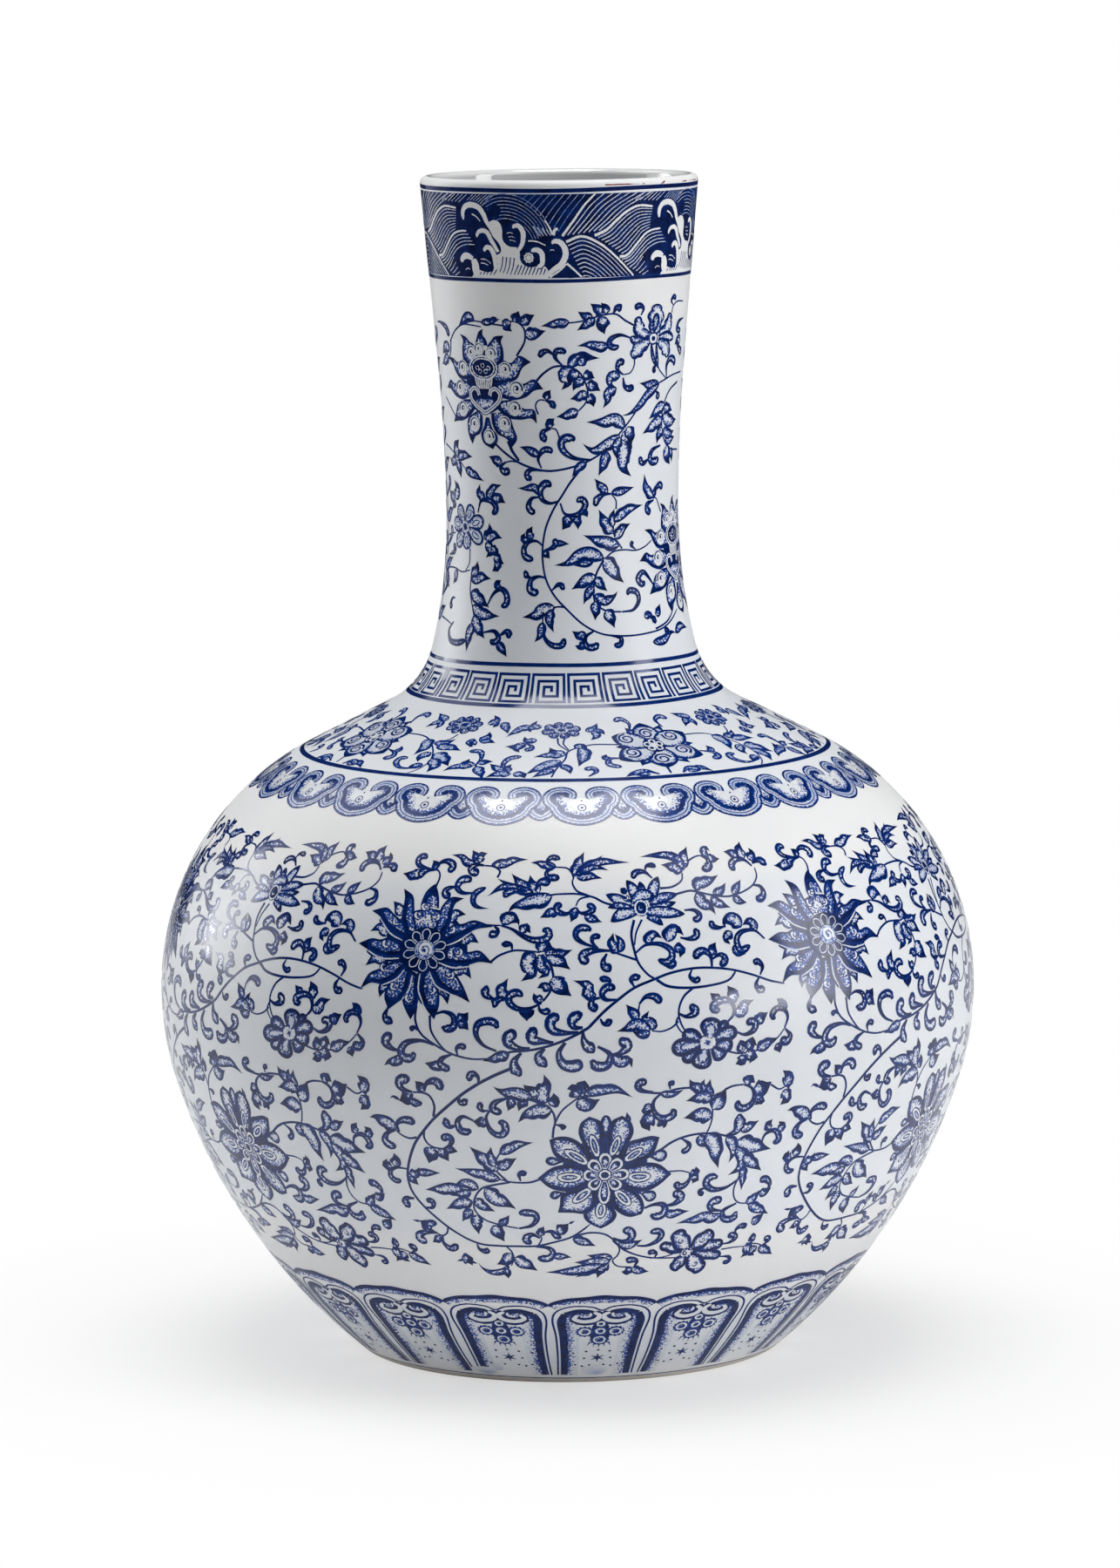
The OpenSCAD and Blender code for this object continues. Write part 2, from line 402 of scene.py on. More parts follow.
def round_end(u, start):
    """1 along a stroke, then a quarter of an ellipse down to 0 at its end."""
    return np.sqrt(np.clip(1 - (np.clip(u - start, 0, 1) / (1 - start)) ** 2, 0, 1))


# Share of the full half-width along a stroke, from its root (0) to its end (1)
FORMS = {
    "stem": lambda u: (1 - 0.3 * u) * round_end(u, 0.97),
    "curl": lambda u: (0.26 + 0.74 * ease(u / 0.82)) * round_end(u, 0.84),
    "leaf": lambda u: (np.clip(0.12 * (1 - u) + np.sin(np.pi * np.clip(u, 0, 1) ** 0.75), 0, 2) ** 0.9
                       * (1 - u) ** 0.35 / 0.88),
    "flame": lambda u: (0.4 + 2.2 * u) * (1 - u) ** 0.85 / 0.836,
    "petal": lambda u: np.where(u < 0.6, 0.4 + 0.6 * np.sin(np.pi / 1.2 * u), 1.0) * round_end(u, 0.6),
    "drop": lambda u: np.where(u < 0.65, 0.12 + 0.88 * ease(u / 0.65), 1.0) * round_end(u, 0.65),
    "oval": lambda u: np.sqrt(np.clip(1 - (2 * u - 1) ** 2, 0, 1)),
    "wisp": lambda u: 1 - 0.85 * u,
    "ribbon": lambda u: 0.5 + 0.5 * np.sin(np.pi * np.clip(u, 0, 1)) ** 0.5,
    "band": lambda u: np.ones_like(u),
    "foam": lambda u: (0.85 + 0.4 * np.sin(np.pi * u)) * round_end(u, 0.9),
}

# Where the round end starts, for the forms whose outline goes round it
ROUND_STARTS = {"curl": 0.84, "foam": 0.9, "petal": 0.6, "drop": 0.65, "oval": 0.0}


def solid_tip(edge, left, tip):
    """Distances from the edge that drop below it where no more than the tip's length is left."""
    inside = np.clip((left - tip) / (TIP_FADE * tip), 0, 1)
    return edge * inside - TIP_DEPTH * (1 - inside)


class Sheet:
    """A drawing that is wrapped round the vase. x runs to the right, in millimetres at the
    radius reach, and y up the outline, in millimetres from the widest line."""

    def __init__(self, reach):
        self.reach = reach
        self.grids = []

    def grid(self, x, y, edge, line, shade, wash, layer):
        """Adds a patch: places and, for the ink, the distance from the edge, the width of the
        outline, the reach of the dots behind it, the strength of the wash, and its layer."""
        values = np.broadcast_arrays(x, y, edge, line, shade, wash, layer)
        self.grids.append(np.stack(values, -1).astype(float))

    def stroke(self, form, half, points, line=0.6, shade=1.2, wash=0.2, tip=0.0, layer=1, columns=4,
               lobes=0, lean=0.0):
        """Profile carried along a path: half is the half-width and form its share along the way,
        lobes the number of scallops on its sides, or on one side of a leaf, tip the length of the
        end that is solid ink, and lean makes one side darker than the other."""
        long = spline(points)[1][-1]
        u = shares(form, long, np.clip(STEP_SHARE * half, *STROKE_STEPS))
        path, way, long = along_spline(points, u)
        side = np.stack([-way[:, 1], way[:, 0]], -1)
        v = np.linspace(-1, 1, columns + 1)
        width = half * FORMS[form](u)
        width = np.repeat(width[:, None], columns + 1, 1)
        if lobes:
            scallop = SCALLOP[0] + SCALLOP[1] * np.abs(np.sin(np.pi * lobes * u))[:, None]
            width = np.where(v < 0, width, width * scallop) if form == "leaf" else width * scallop
        place = path[:, None] + (width * v)[..., None] * side[:, None]
        edge = width * (1 - np.abs(v)) * (1 - lean * (v > 0))
        left = (1 - u[:, None]) * long
        if form in ROUND_STARTS:
            edge = np.minimum(edge, left)
        if form == "oval":
            edge = np.minimum(edge, u[:, None] * long)
        if tip:
            edge = solid_tip(edge, left, tip)
        self.grid(place[..., 0], place[..., 1], edge, line, shade, wash, layer)

    def patch(self, first, second, line=0.0, shade=0.0, wash=0.03, tip=0.0, layer=1, lean=0.0, white=False):
        """Patch between two edges: a straight run from each place of the first edge to the same
        share of the second. A white one has no ink; lean makes the second side darker."""
        long = max(spline(edge)[1][-1] for edge in (first, second))
        u = np.linspace(0, 1, max(8, int(long / STROKE_STEPS[1]) + 2))
        a, b = (along_spline(edge, u)[0] for edge in (first, second))
        v = np.linspace(0, 1, 7)
        place = a[:, None] + (b - a)[:, None] * v[None, :, None]
        width = np.linalg.norm(b - a, axis=-1)[:, None]
        edge = width * np.minimum(v, (1 - v) * (1 - lean))
        if tip:
            edge = solid_tip(edge, (1 - u[:, None]) * long, tip)
        self.grid(place[..., 0], place[..., 1], WHITE_EDGE if white else edge, line, shade, wash, layer)

    def fringe(self, half, points, shade, wash=0.0, layer=1, line=0.0):
        """Dots that thin out from the left side of a path to its right side."""
        long = spline(points)[1][-1]
        path, way, long = along_spline(points, np.linspace(0, 1, max(4, int(long / STROKE_STEPS[1]) + 2)))
        side = np.stack([way[:, 1], -way[:, 0]], -1)
        v = np.linspace(0, 1, 4)
        place = path[:, None] + (half * v)[None, :, None] * side[:, None]
        self.grid(place[:, ::-1, 0], place[:, ::-1, 1], half * v[::-1], line, shade, wash, layer)

    def disc(self, x, y, rx, ry, core, shade, wash=0.0, layer=2, spokes=20):
        """Round patch that is solid ink up to the core radius and breaks into dots outside it."""
        a = np.linspace(0, FULL_TURN, spokes + 1)
        r = np.linspace(0.001, 1, 4)[:, None]
        edge = r * 0.5 * (rx + ry) - core
        self.grid(x + rx * r * np.cos(a), y + ry * r * np.sin(a), np.broadcast_to(edge, (4, spokes + 1)),
                  0.0, shade, wash, layer)

    def ring(self, x, y, rx, ry, half, line=0.3, wash=0.0, layer=3, start=0.0, sweep=360.0):
        """Band along an ellipse, or along a part of it, from a start angle over a sweep in degrees."""
        a = np.radians(start + np.linspace(0, sweep, 9 if sweep < 200 else 13))
        self.stroke("band", half, np.stack([x + rx * np.cos(a), y + ry * np.sin(a)], -1),
                    line=line, shade=0.3, wash=wash, layer=layer, columns=4)

    def spiral(self, x, y, radius, half, turns=1.4, start=90.0, hand=1, form="curl", **ink):
        """Curl that winds in: the radius shrinks evenly to a fifth as the angle grows."""
        t = np.linspace(0, 1, 12)
        a = np.radians(start) + hand * FULL_TURN * turns * t
        r = radius * (1 - 0.8 * t)
        self.stroke(form, half, np.stack([x + r * np.cos(a), y + r * np.sin(a)], -1), **ink)

    def mesh(self, name, outline, offsets):
        """Mesh of the whole drawing, once for each angle in offsets, laid on the outline."""
        inks, faces, count = [], [], 0
        for k, grid in enumerate(self.grids):
            grid[..., LAYER] += (k % ORDER_STEPS) / (ORDER_STEPS + 1)
            rows, columns = grid.shape[:2]
            index = count + np.arange(rows * columns).reshape(rows, columns)
            quads = np.stack([index[:-1, :-1], index[1:, :-1], index[1:, 1:], index[:-1, 1:]], -1)
            quads = quads.reshape(-1, 4)
            flat = grid.reshape(rows * columns, -1)
            corner = flat[quads - count, :2]
            across, up = corner[:, 2] - corner[:, 0], corner[:, 3] - corner[:, 1]
            back = across[:, 0] * up[:, 1] - across[:, 1] * up[:, 0] < 0
            quads[back] = quads[back, ::-1]
            faces.append(quads)
            inks.append(flat)
            count += len(flat)
        ink = np.concatenate(inks)
        quads = np.concatenate(faces)
        turn = np.asarray(offsets)[:, None] + ink[None, :, 0] / self.reach
        along = np.broadcast_to(ink[None, :, 1], turn.shape)
        place, normal = outline.wrap(turn, along, PRINT_LIFT + LAYER_LIFT * ink[None, :, LAYER])
        quads = (quads[None] + (np.arange(len(offsets)) * count)[:, None, None]).reshape(-1, 4)
        normal = normal.reshape(-1, 3)
        mesh = make_mesh(name, place.reshape(-1, 3), [quads], normal[quads.ravel()])
        ink = np.tile(ink, (len(offsets), 1)).astype(np.float32)
        stroke = mesh.attributes.new("stroke", "FLOAT_VECTOR", "POINT")
        stroke.data.foreach_set("vector", np.ascontiguousarray(ink[:, INK]).ravel())
        wash = mesh.attributes.new("wash", "FLOAT", "POINT")
        wash.data.foreach_set("value", np.ascontiguousarray(ink[:, WASH]))
        return mesh


# Belly scroll: one of six repeats. Each stroke is its half-width and then the points of its path,
# x and y in millimetres on the sheet at the belly's radius.
BELLY_REACH = 146.0
BELLY_REPEATS = 6
# Shares of its listed half-width at which a stem, a curl or a leaf is drawn, and the listed
# half-width from which a leaf is scalloped, with the number of its scallops
STEM_SHARE = 0.88
CURL_SHARE = 1.25
LEAF_SHARE = 1.4
LOBED_LEAF = 1.2
LEAF_LOBES = 2.5

BELLY_STEMS = (
    # vine along the top of the belly, from leaf to flower
    (0.5, -51, 57, -50.3, 60.5, -51.5, 63, -55, 63.8),
    (0.55, 25, 49.5, 15.5, 51, 10, 53.6, 4, 54.9, -3, 54.9, -7, 54.4),
    (0.5, 8, 54.3, 4, 56, 2.3, 59, 3, 61.5), (0.45, 2.8, 61, 2, 63, 0, 64.8, -5, 65.2),
    (0.45, 9, 54, 5, 53, 3.3, 50.4), (0.5, -27, 61, -26.3, 63.5, -29, 65.2, -33, 65.6),
    (0.5, 36, 56, 41, 56.4, 45, 58.5, 46, 61.5), (0.5, 46.5, 62.5, 50, 66, 54, 67.6, 56.5, 67.4),
    (0.5, 42, 53.6, 47, 54.5, 49.5, 54.2, 56, 52.4, 62, 51.5, 66, 52, 70, 53, 74.3, 55, 77, 58, 77.4, 61.5),
    # vines between the two great flowers
    (0.45, -31, 43.6, -24, 43.5), (0.5, -27, 30.8, -24, 33.1, -19, 34.8, -14, 34.7, -9.5, 34.2),
    (0.6, 24.6, 45, 23.2, 40, 23.7, 35, 25, 30, 28, 26, 31, 24), (0.45, 27.5, 45, 25, 40.5, 24, 36),
    (0.5, 24.5, 31, 19, 33, 14, 34.8), (0.6, 31, 24, 35, 21.6, 42, 20.7, 50, 21, 57, 22.3, 60.3, 25.2),
    (0.6, 7, 8.5, 12, 13.5, 17, 17.5, 23, 21.5, 30, 24.1, 36, 26, 43, 27.1, 50, 27.1, 58, 26, 66, 23.7, 73,
     21, 79, 19.4),
    (0.5, 44, 20.7, 40.5, 18, 38.6, 14.5, 38.3, 11, 39.5, 7.5, 41.5, 5),
    (0.4, 38, 11, 37.2, 9, 38.5, 6.4, 40, 5), (0.4, 38, 9.5, 35.5, 7.5, 32, 6.4, 28.5, 6.8),
    (0.45, 24.5, 7, 24, 12, 24.6, 16),
    (0.5, -53, 15, -53.2, 10, -51, 5.5, -46, 2, -41, -0.5, -38, -1.5, -33, -2.4, -27, -2.2),
    (0.5, -48, 12, -47.5, 7, -45, 3, -42, 0, -39.5, -1),
    (0.6, -9, 33.5, -6, 30, -4.9, 25.5, -6, 21, -8.5, 17.5),
    (0.6, 7, 8.5, 3, 6.3, -2, 4, -8, 2, -14, 0.8, -20, 0.2, -27, -2),
    (0.4, 56, -2, 60, -2.9, 66, -2.5, 71, -1.3, 75, 1.5, 77.5, 4.2),
    # great vine round the lower flowers
    (0.65, -19, -5.2, -25, -7.8, -31, -11, -37, -15, -43, -20, -48, -24.5, -52.5, -29.5, -56, -34, -59, -40,
     -61, -46, -61.3, -50, -60.5, -54, -57.5, -59, -53, -64, -48, -68.5, -42, -72.5, -36, -74.8, -29, -75.3,
     -22, -75.3, -14, -75.1, -7, -73.5, 0, -71.3, 5, -68, 8, -65.3),
    (0.55, -47.8, -23.5, -47.2, -19.5, -48.5, -16.2, -51, -15, -55, -15),
    (0.5, -55, -31.7, -58, -32.2, -61, -31, -63, -29),
    (0.5, -51.8, -28.5, -52.2, -31.5, -51, -34, -48.5, -35.3, -45.5, -35.6),
    (0.5, -5.8, -30.5, -5.4, -27, -4.8, -24.5, -5.5, -21, -8, -18.5, -14, -16.3, -20, -15.5),
    (0.45, -4.8, -24.5, -2.5, -20.5, 0.5, -17.8, 3.5, -15.5),
    (0.5, -10.5, -46.6, -15, -48, -21, -48, -26, -46.8),
    (0.5, -23, -47.6, -27, -43, -26.5, -39.5, -24.5, -36),
    (0.5, -22, -48, -29, -49.5, -33, -51, -36, -55, -36.6, -60, -33, -64, -27, -66, -20, -67.4),
    (0.45, -49, -68.3, -49.8, -70.5, -52, -71.8, -55, -70.6),
    (0.45, -26, -75.4, -24, -78, -23.5, -81, -25, -84.5), (0.45, -13, -75, -11.4, -72, -12, -70),
    (0.5, 1, -71, 5, -69.8, 9, -69.3, 14, -70.3, 18, -73.5, 20, -77, 19.3, -80, 17.5, -82.3, 20, -85, 26,
     -85.6),
    (0.5, 17, -73, 22, -77.5, 29, -80.6, 36, -82, 45, -82.5), (0.35, 45, -79.8, 40, -81.5, 33, -82),
    (0.5, 25, -14.3, 32, -15, 38, -13.8, 44, -14, 48, -16, 50.3, -20, 50.8, -25, 50, -29, 49, -31),
    (0.5, 55, -15.2, 58, -14.2, 62, -14), (0.45, 72.5, -15, 76, -17, 79, -16),
    (0.55, 31, -37, 33, -36, 36, -33.8, 40, -32, 45, -31, 50, -31, 55, -32, 60, -34, 63, -38, 65.5, -43, 66,
     -49),
    (0.4, 36, -45, 41, -45, 44.5, -46), (0.45, 64.8, -49, 63.5, -54, 64.5, -58, 67, -60.3, 71, -61),
    (0.4, 64.5, -80.5, 70, -80.2, 76, -80.3), (0.4, -77, -79, -71, -80, -67, -82),
)

BELLY_CURLS = (
    # over the flame flower
    (1.3, -52.5, 63, -51.5, 66, -48.5, 66.9, -45.9, 65.5, -46.2, 63.8, -47.8, 63.9),
    (1.1, -52, 63.3, -56, 63.6, -60, 64.7, -61.3, 67, -59.5, 68.5, -57.4, 67.7),
    (1.4, -53, 63.2, -56, 63, -58.4, 61.8, -57, 60.6),
    (1.4, -33, 65.6, -36, 65.8, -38.2, 64.4, -36.8, 63, -34.5, 63),
    (1.3, -35.5, 55, -40, 55, -42.4, 57, -41.3, 59.6, -38.8, 60.2, -37.2, 59.2),
    (1.2, -42, 57, -45, 56.8, -47, 55.4, -46.3, 53.9, -44.4, 54.2),
    (1.2, -26.5, 43.3, -25, 41.8, -26.4, 40.3, -28.2, 41),
    # between flame flower and half lotus
    (1.2, -24, 43.5, -20, 42.3, -16, 40, -12, 38.5, -8, 38.8, -6.3, 40.6, -7.3, 42, -9, 41.6),
    (1.0, -19.5, 35, -20, 36.8, -22, 37, -22.6, 36), (1.5, -12, 56, -10.6, 59, -8, 59.6, -6.4, 58.6),
    (1.3, -15, 56, -20, 56.2, -22.8, 55.2, -22.2, 53.7),
    (1.0, -5, 65.2, -7.8, 66.8, -6, 69, -3.4, 68.6, -3, 67.8),
    (1.2, -5, 65, -7.8, 63.2, -7, 61.4, -4.2, 61.2, -3, 62),
    (1.1, 3.3, 50, 0, 47.7, -3.4, 48.6, -3.6, 50.6, -1.6, 50.8),
    (1.1, 3.5, 50, 5, 48, 8, 48, 9.8, 49.4, 8.6, 50.4, 7.4, 50),
    (1.1, 11, 35.6, 6.5, 37, 3.5, 39, 3.2, 41.2, 5, 42.7, 7.8, 42.3, 8.2, 41.2),
    (0.9, 11, 35.5, 9, 37.5, 9.2, 39.2, 10.8, 39.6, 11.7, 38.8),
    (1.4, 15, 34.5, 9, 34.6, 5.8, 33.4, 5.6, 31.6, 7.8, 31.2),
    (1.3, 14, 33.5, 12.6, 31, 13.2, 28.8, 15.6, 28.8),
    # round the half lotus
    (1.1, 33.5, 60, 31, 62.4, 28, 62.6, 26.3, 61.4, 27.2, 60.4),
    (0.9, 31, 62.6, 32, 64.7, 34.6, 64.9, 34.8, 63.8),
    (1.5, 56, 67.4, 58, 66, 58, 63.4, 56, 62.8, 55.2, 63.6),
    (1.2, 76.5, 62, 74, 64.6, 70, 65, 67.6, 63, 68.3, 60.7), (1.4, 77, 63, 80, 64, 82, 63.4, 81.6, 61.6),
    (1.2, 74, 54.9, 77.2, 54, 77.6, 51.2, 75.4, 49.6, 73.9, 50.5),
    (1.0, 44, 47.6, 47.7, 47.4, 49.6, 45.6, 48.4, 44.1, 46.6, 44.4),
    (1.1, 24.3, 33.5, 28, 36, 33, 36.2, 36.8, 34.2, 37.2, 31.4, 35, 29.8, 32, 30.8),
    (1.1, 41, 38, 44, 37.4, 46.8, 38, 47.4, 39.6, 46, 39.9),
    (1.3, 51.5, 27.2, 51.4, 31, 49, 33, 46.3, 31.9, 46.7, 30.2),
    (1.2, 52, 30, 55, 31.3, 56.9, 29.9, 55.8, 28.3, 54.5, 28.8),
    (1.1, 73.5, 35.5, 70, 38.6, 65, 38.6, 62.3, 36, 63.2, 32.2, 67.3, 33.6),
    (1.0, 59, 41, 56, 40.6, 53.6, 41.6, 54.3, 43.2),
    # middle of the belly
    (1.2, -46, 12.5, -43, 13.4, -40, 12.4, -39, 10, -40, 8, -42.5, 7.8, -42.8, 8.8),
    (0.8, -52, 6.5, -53.5, 7.6, -55.2, 6.7),
    (1.3, -46.5, 2, -51, 3.2, -56, 2.4, -58.3, 0, -58, -2.4, -55.6, -3.2, -53.9, -1.9, -54.6, -1),
    (1.5, -58.8, -0.8, -62, 0, -64.4, 2, -63.4, 3.8, -61.8, 3.3),
    (1.2, -40, -1, -43.5, -2.6, -44.2, -4.5, -42.4, -5.8, -40.8, -5.4),
    (0.9, -38, -1.3, -38.4, 1, -36.8, 2, -35, 1.2), (1.3, -63.5, 14, -64.7, 11, -63.4, 9.4, -61.9, 10.2),
    (1.2, -9, 17, -13, 15.2, -17, 15, -20, 17, -20, 19.4, -17.5, 20.5, -15.3, 19.3),
    (1.2, -20, 18.3, -23, 18.3, -25.2, 17, -24, 16), (1.3, -24.5, 17.8, -28, 19.3, -28.6, 21, -27, 21.4),
    (1.0, -10, 16.5, -9.5, 14.6, -7.5, 14, -6.4, 15.2),
    (1.2, -24.5, 0.5, -29, 2.5, -31.5, 6, -30.8, 9.6, -27, 10.7, -24.4, 9.6, -24.9, 8.2),
    (1.6, 3.5, 7, -1, 6.8, -5, 7.6, -6.2, 10, -4.8, 12, -2.9, 11.4),
    (1.7, 5, 8.5, 2, 8.7, 1.3, 11, 3, 12.4, 4.3, 11.4),
    (1.7, -5, 3.5, -9, 4, -12.2, 4.6, -12.2, 6.8, -10.2, 6.8),
    (1.7, -13, 1.5, -17, 1.6, -20.6, 3.6, -19.8, 6.1, -17.4, 5.6), (1.7, 5, 7, 5.4, 4, 7, 1.8, 9.2, 2),
    (1.8, -1, 3.5, -3.2, 0, -1.8, -3.8, 2, -4.6, 4.6, -2.9), (1.7, -8, 1.5, -10.2, -1, -9, -3, -7.2, -2.6),
    (1.7, -16, 0, -18.4, -3, -17.8, -6.1, -15.8, -5.8),
    (1.5, 10, 2, 12.5, 0.6, 14.2, -1, 13.4, -4.2, 10.5, -5, 8.6, -3.9, 9.5, -2.8),
    (1.6, 14.5, -1, 17.5, -0.5, 20.1, 1.5, 19.3, 3.2, 17.2, 2.6),
    (1.0, 11, 11.5, 12, 9.8, 13.8, 9.9, 13.9, 11.5),
    (1.2, 17, 17.7, 13, 17.9, 11.8, 20, 13.6, 22, 16.6, 21.8),
    (1.0, 13.8, 22, 14.6, 24.2, 12.5, 24.9, 11.6, 24), (1.3, 11, 18.5, 8.6, 18, 8.2, 15.7, 10.4, 14.9),
    (1.1, 23, 22, 22, 24.3, 23.9, 25.2, 24.8, 24.2), (0.9, 44, 26.8, 43, 24.5, 45, 23, 46.7, 24),
    (1.3, 38.5, 12, 41, 11, 44.1, 12.1, 43.7, 13.7, 42, 13.4),
    (1.2, 24.5, 16, 27, 18.4, 30.3, 18.2, 32.2, 16),
    (1.2, 55.5, 8, 58, 10.5, 58.3, 13, 57, 15.3, 53.5, 15.6, 50.8, 14, 51.3, 12.5, 53.3, 12.8),
    (1.2, 59, 4.5, 62, 3.4, 65.3, 4.6, 66.2, 7, 64.4, 7.7, 62.8, 6.7),
    (1.0, 69.5, 23.2, 70.8, 26, 69, 28, 67.8, 26.8), (1.1, 69, 22.5, 67.5, 20, 69, 17.9, 70.2, 19.5),
    (1.0, 77.5, 4.2, 79, 8, 77.5, 10.9, 74.5, 11.1, 72.8, 9, 74, 7.6),
    (1.4, 77.8, 4, 79.8, 1.5, 78, -0.4, 75.8, 0.8),
    # along the great vine
    (1.1, -31, -11, -31, -8.6, -33, -7.4, -34, -8.8, -33, -9.6),
    (1.1, -38, -15.5, -38, -17.8, -36.2, -17.8, -36.4, -16.4),
    (1.6, -55, -15, -58.8, -13.9, -59.7, -11.5, -57.6, -10.5, -56.4, -11.9),
    (1.4, -50.5, -14.5, -49.5, -11.6, -46.5, -10.6, -44.8, -12, -45.6, -13.6),
    (1.5, -55, -15.5, -55.6, -18, -53.6, -18.7, -53, -17.6),
    (1.3, -61.5, -30, -62, -27, -59.5, -25.4, -56.6, -25.6, -56.1, -27.2),
    (1.4, -63, -29.5, -66.5, -31, -67.7, -34, -65.5, -35.5, -64.3, -34.4),
    (1.2, -45.5, -35.6, -42.8, -34, -42, -31.9, -43.5, -30.8, -45.8, -32),
    (1.2, -27, -20, -28.8, -23, -28, -27, -26, -29.2, -23.6, -29.4, -22.2, -27.5, -22.8, -25.1, -24.8,
     -24.7),
    (1.2, -33.5, -24.3, -37, -23, -39.2, -25, -38.3, -28.1, -35.8, -28.6, -35.4, -27.2),
    (1.3, -39.7, -26.3, -42, -27, -43.4, -25.5, -42.3, -24.4),
    (1.0, -28, -20.5, -30, -20.6, -31, -19, -29.6, -18.3), (0.9, -4.5, -25.5, -2.5, -26, -1.5, -27.2),
    (1.2, -20, -15.5, -25.3, -17.5, -26.2, -20, -23.2, -21.3),
    (1.0, -18, -47.5, -18.4, -45, -17, -44.2, -16, -45.2),
    (1.3, -20, -67.4, -15, -66, -12.8, -63, -14, -60.9, -18, -60.6, -19.3, -61.5),
    (1.4, -60.5, -56.5, -63.7, -56.6, -64.6, -58.8, -62.5, -59.1),
    (1.0, -57, -60, -53.7, -59.8, -52.9, -57.6, -54.3, -56.9, -55.4, -57.7),
    (1.0, -61, -44.5, -65, -44.2, -67.8, -45.6, -68.2, -48, -66.4, -49.6, -64.2, -49.3),
    (1.4, -54, -71, -56.8, -69.5, -56.7, -67.2, -54.9, -66.8, -54.2, -67.8),
    (1.6, -55, -70.8, -60, -71.1, -62.6, -73, -61.4, -74.5, -59.7, -73.7),
    (1.3, -52, -72, -52.3, -75, -50, -77.4, -47.6, -76.6, -47.8, -75),
    (1.1, -38, -74.8, -37.4, -77, -35, -78, -33.4, -76.8),
    (1.4, -12, -71.5, -15, -70, -17.7, -71.5, -16.9, -73, -15.6, -72.4),
    (1.2, -10.5, -69, -7.5, -68.6, -5.2, -70.7, -3.8, -70),
    (1.4, -14, -75.3, -9, -75.9, -7.1, -78, -8.6, -80.5, -12, -80.7, -13.2, -79.8),
    (1.5, 17, -72, 22, -73.8, 24.7, -71.5, 23.4, -69.1, 20.6, -68.8),
    (1.2, 27, -75.8, 31, -76, 35, -74.3, 36.7, -71.5, 35, -69.8, 31.7, -70.1),
    (1.3, 27, -85.5, 27.8, -82.8, 25, -82.2, 23.3, -83), (1.0, 35, -82, 35.8, -80.1, 34, -79, 32, -79.6),
    (1.2, 64.5, -78, 67.5, -77.6, 69.7, -75.8, 68, -74.3, 65.8, -75),
    (1.1, 69, -74.5, 68.9, -72, 71, -70.6, 73.5, -71.3),
    (0.9, 65, -83.8, 69, -84.3, 70.2, -86, 69, -86.9, 67.2, -86.4),
    (1.6, 78, -79, 78.8, -77.2, 76.6, -76.2), (1.2, -68, -80.6, -65.8, -79, -67, -77.9, -68.6, -78.6),
    # right of the great flower
    (1.2, 29, -14.5, 25, -13.8, 23.6, -12, 25, -10.8, 26.8, -11.4),
    (0.8, 35, -13.8, 34.9, -11.7, 36.6, -11.8),
    (1.2, 32, -15, 29.5, -17.5, 29.2, -20.5, 31, -23.5, 34, -24.3, 36.6, -22.8, 35.8, -20.9),
    (1.2, 62, -14, 65, -15.5, 66.3, -18.5, 65.3, -21.4, 62.5, -22.7, 60.3, -21.8, 60.1, -19.5),
    (2.0, 57, -32.5, 60.5, -31, 61.5, -27.5, 59.4, -26.6),
    (1.0, 40, -32.2, 43, -34.5, 42.4, -36.8, 40.3, -37.4),
    (1.2, 44.5, -46, 44.8, -48.5, 43, -51, 40.6, -51.2, 39.7, -49.2),
    (1.3, 64.5, -50.5, 60, -53.3, 55, -53.7, 51.8, -51.5, 52.2, -48.8, 54.8, -48.4, 55, -49.6),
    (0.9, 52, -52.5, 49.6, -53.5, 50, -54.8, 51.4, -55.1),
    (1.4, 66, -60.4, 61, -63, 61.7, -66.3, 65, -67.1, 66.9, -65.5, 65.4, -65),
    (1.5, 60, -63, 55.7, -62, 54.9, -59.7, 57, -58.3, 59.4, -59),
    (1.4, 28.5, -59.5, 32, -58.2, 35.5, -58.4, 36.7, -61, 35, -63.2, 32.3, -63, 32.1, -61.9),
    (1.5, 36, -59, 40, -58.4, 42.4, -56, 41, -54.4, 38.9, -55),
    (1.1, 71.5, -37, 72.4, -33.6, 75.5, -32.2, 77.8, -33.6, 78.6, -36.3, 76.3, -37.2),
    (1.3, 78, -57, 79, -54, 76.5, -51.6, 74, -51.9),
)

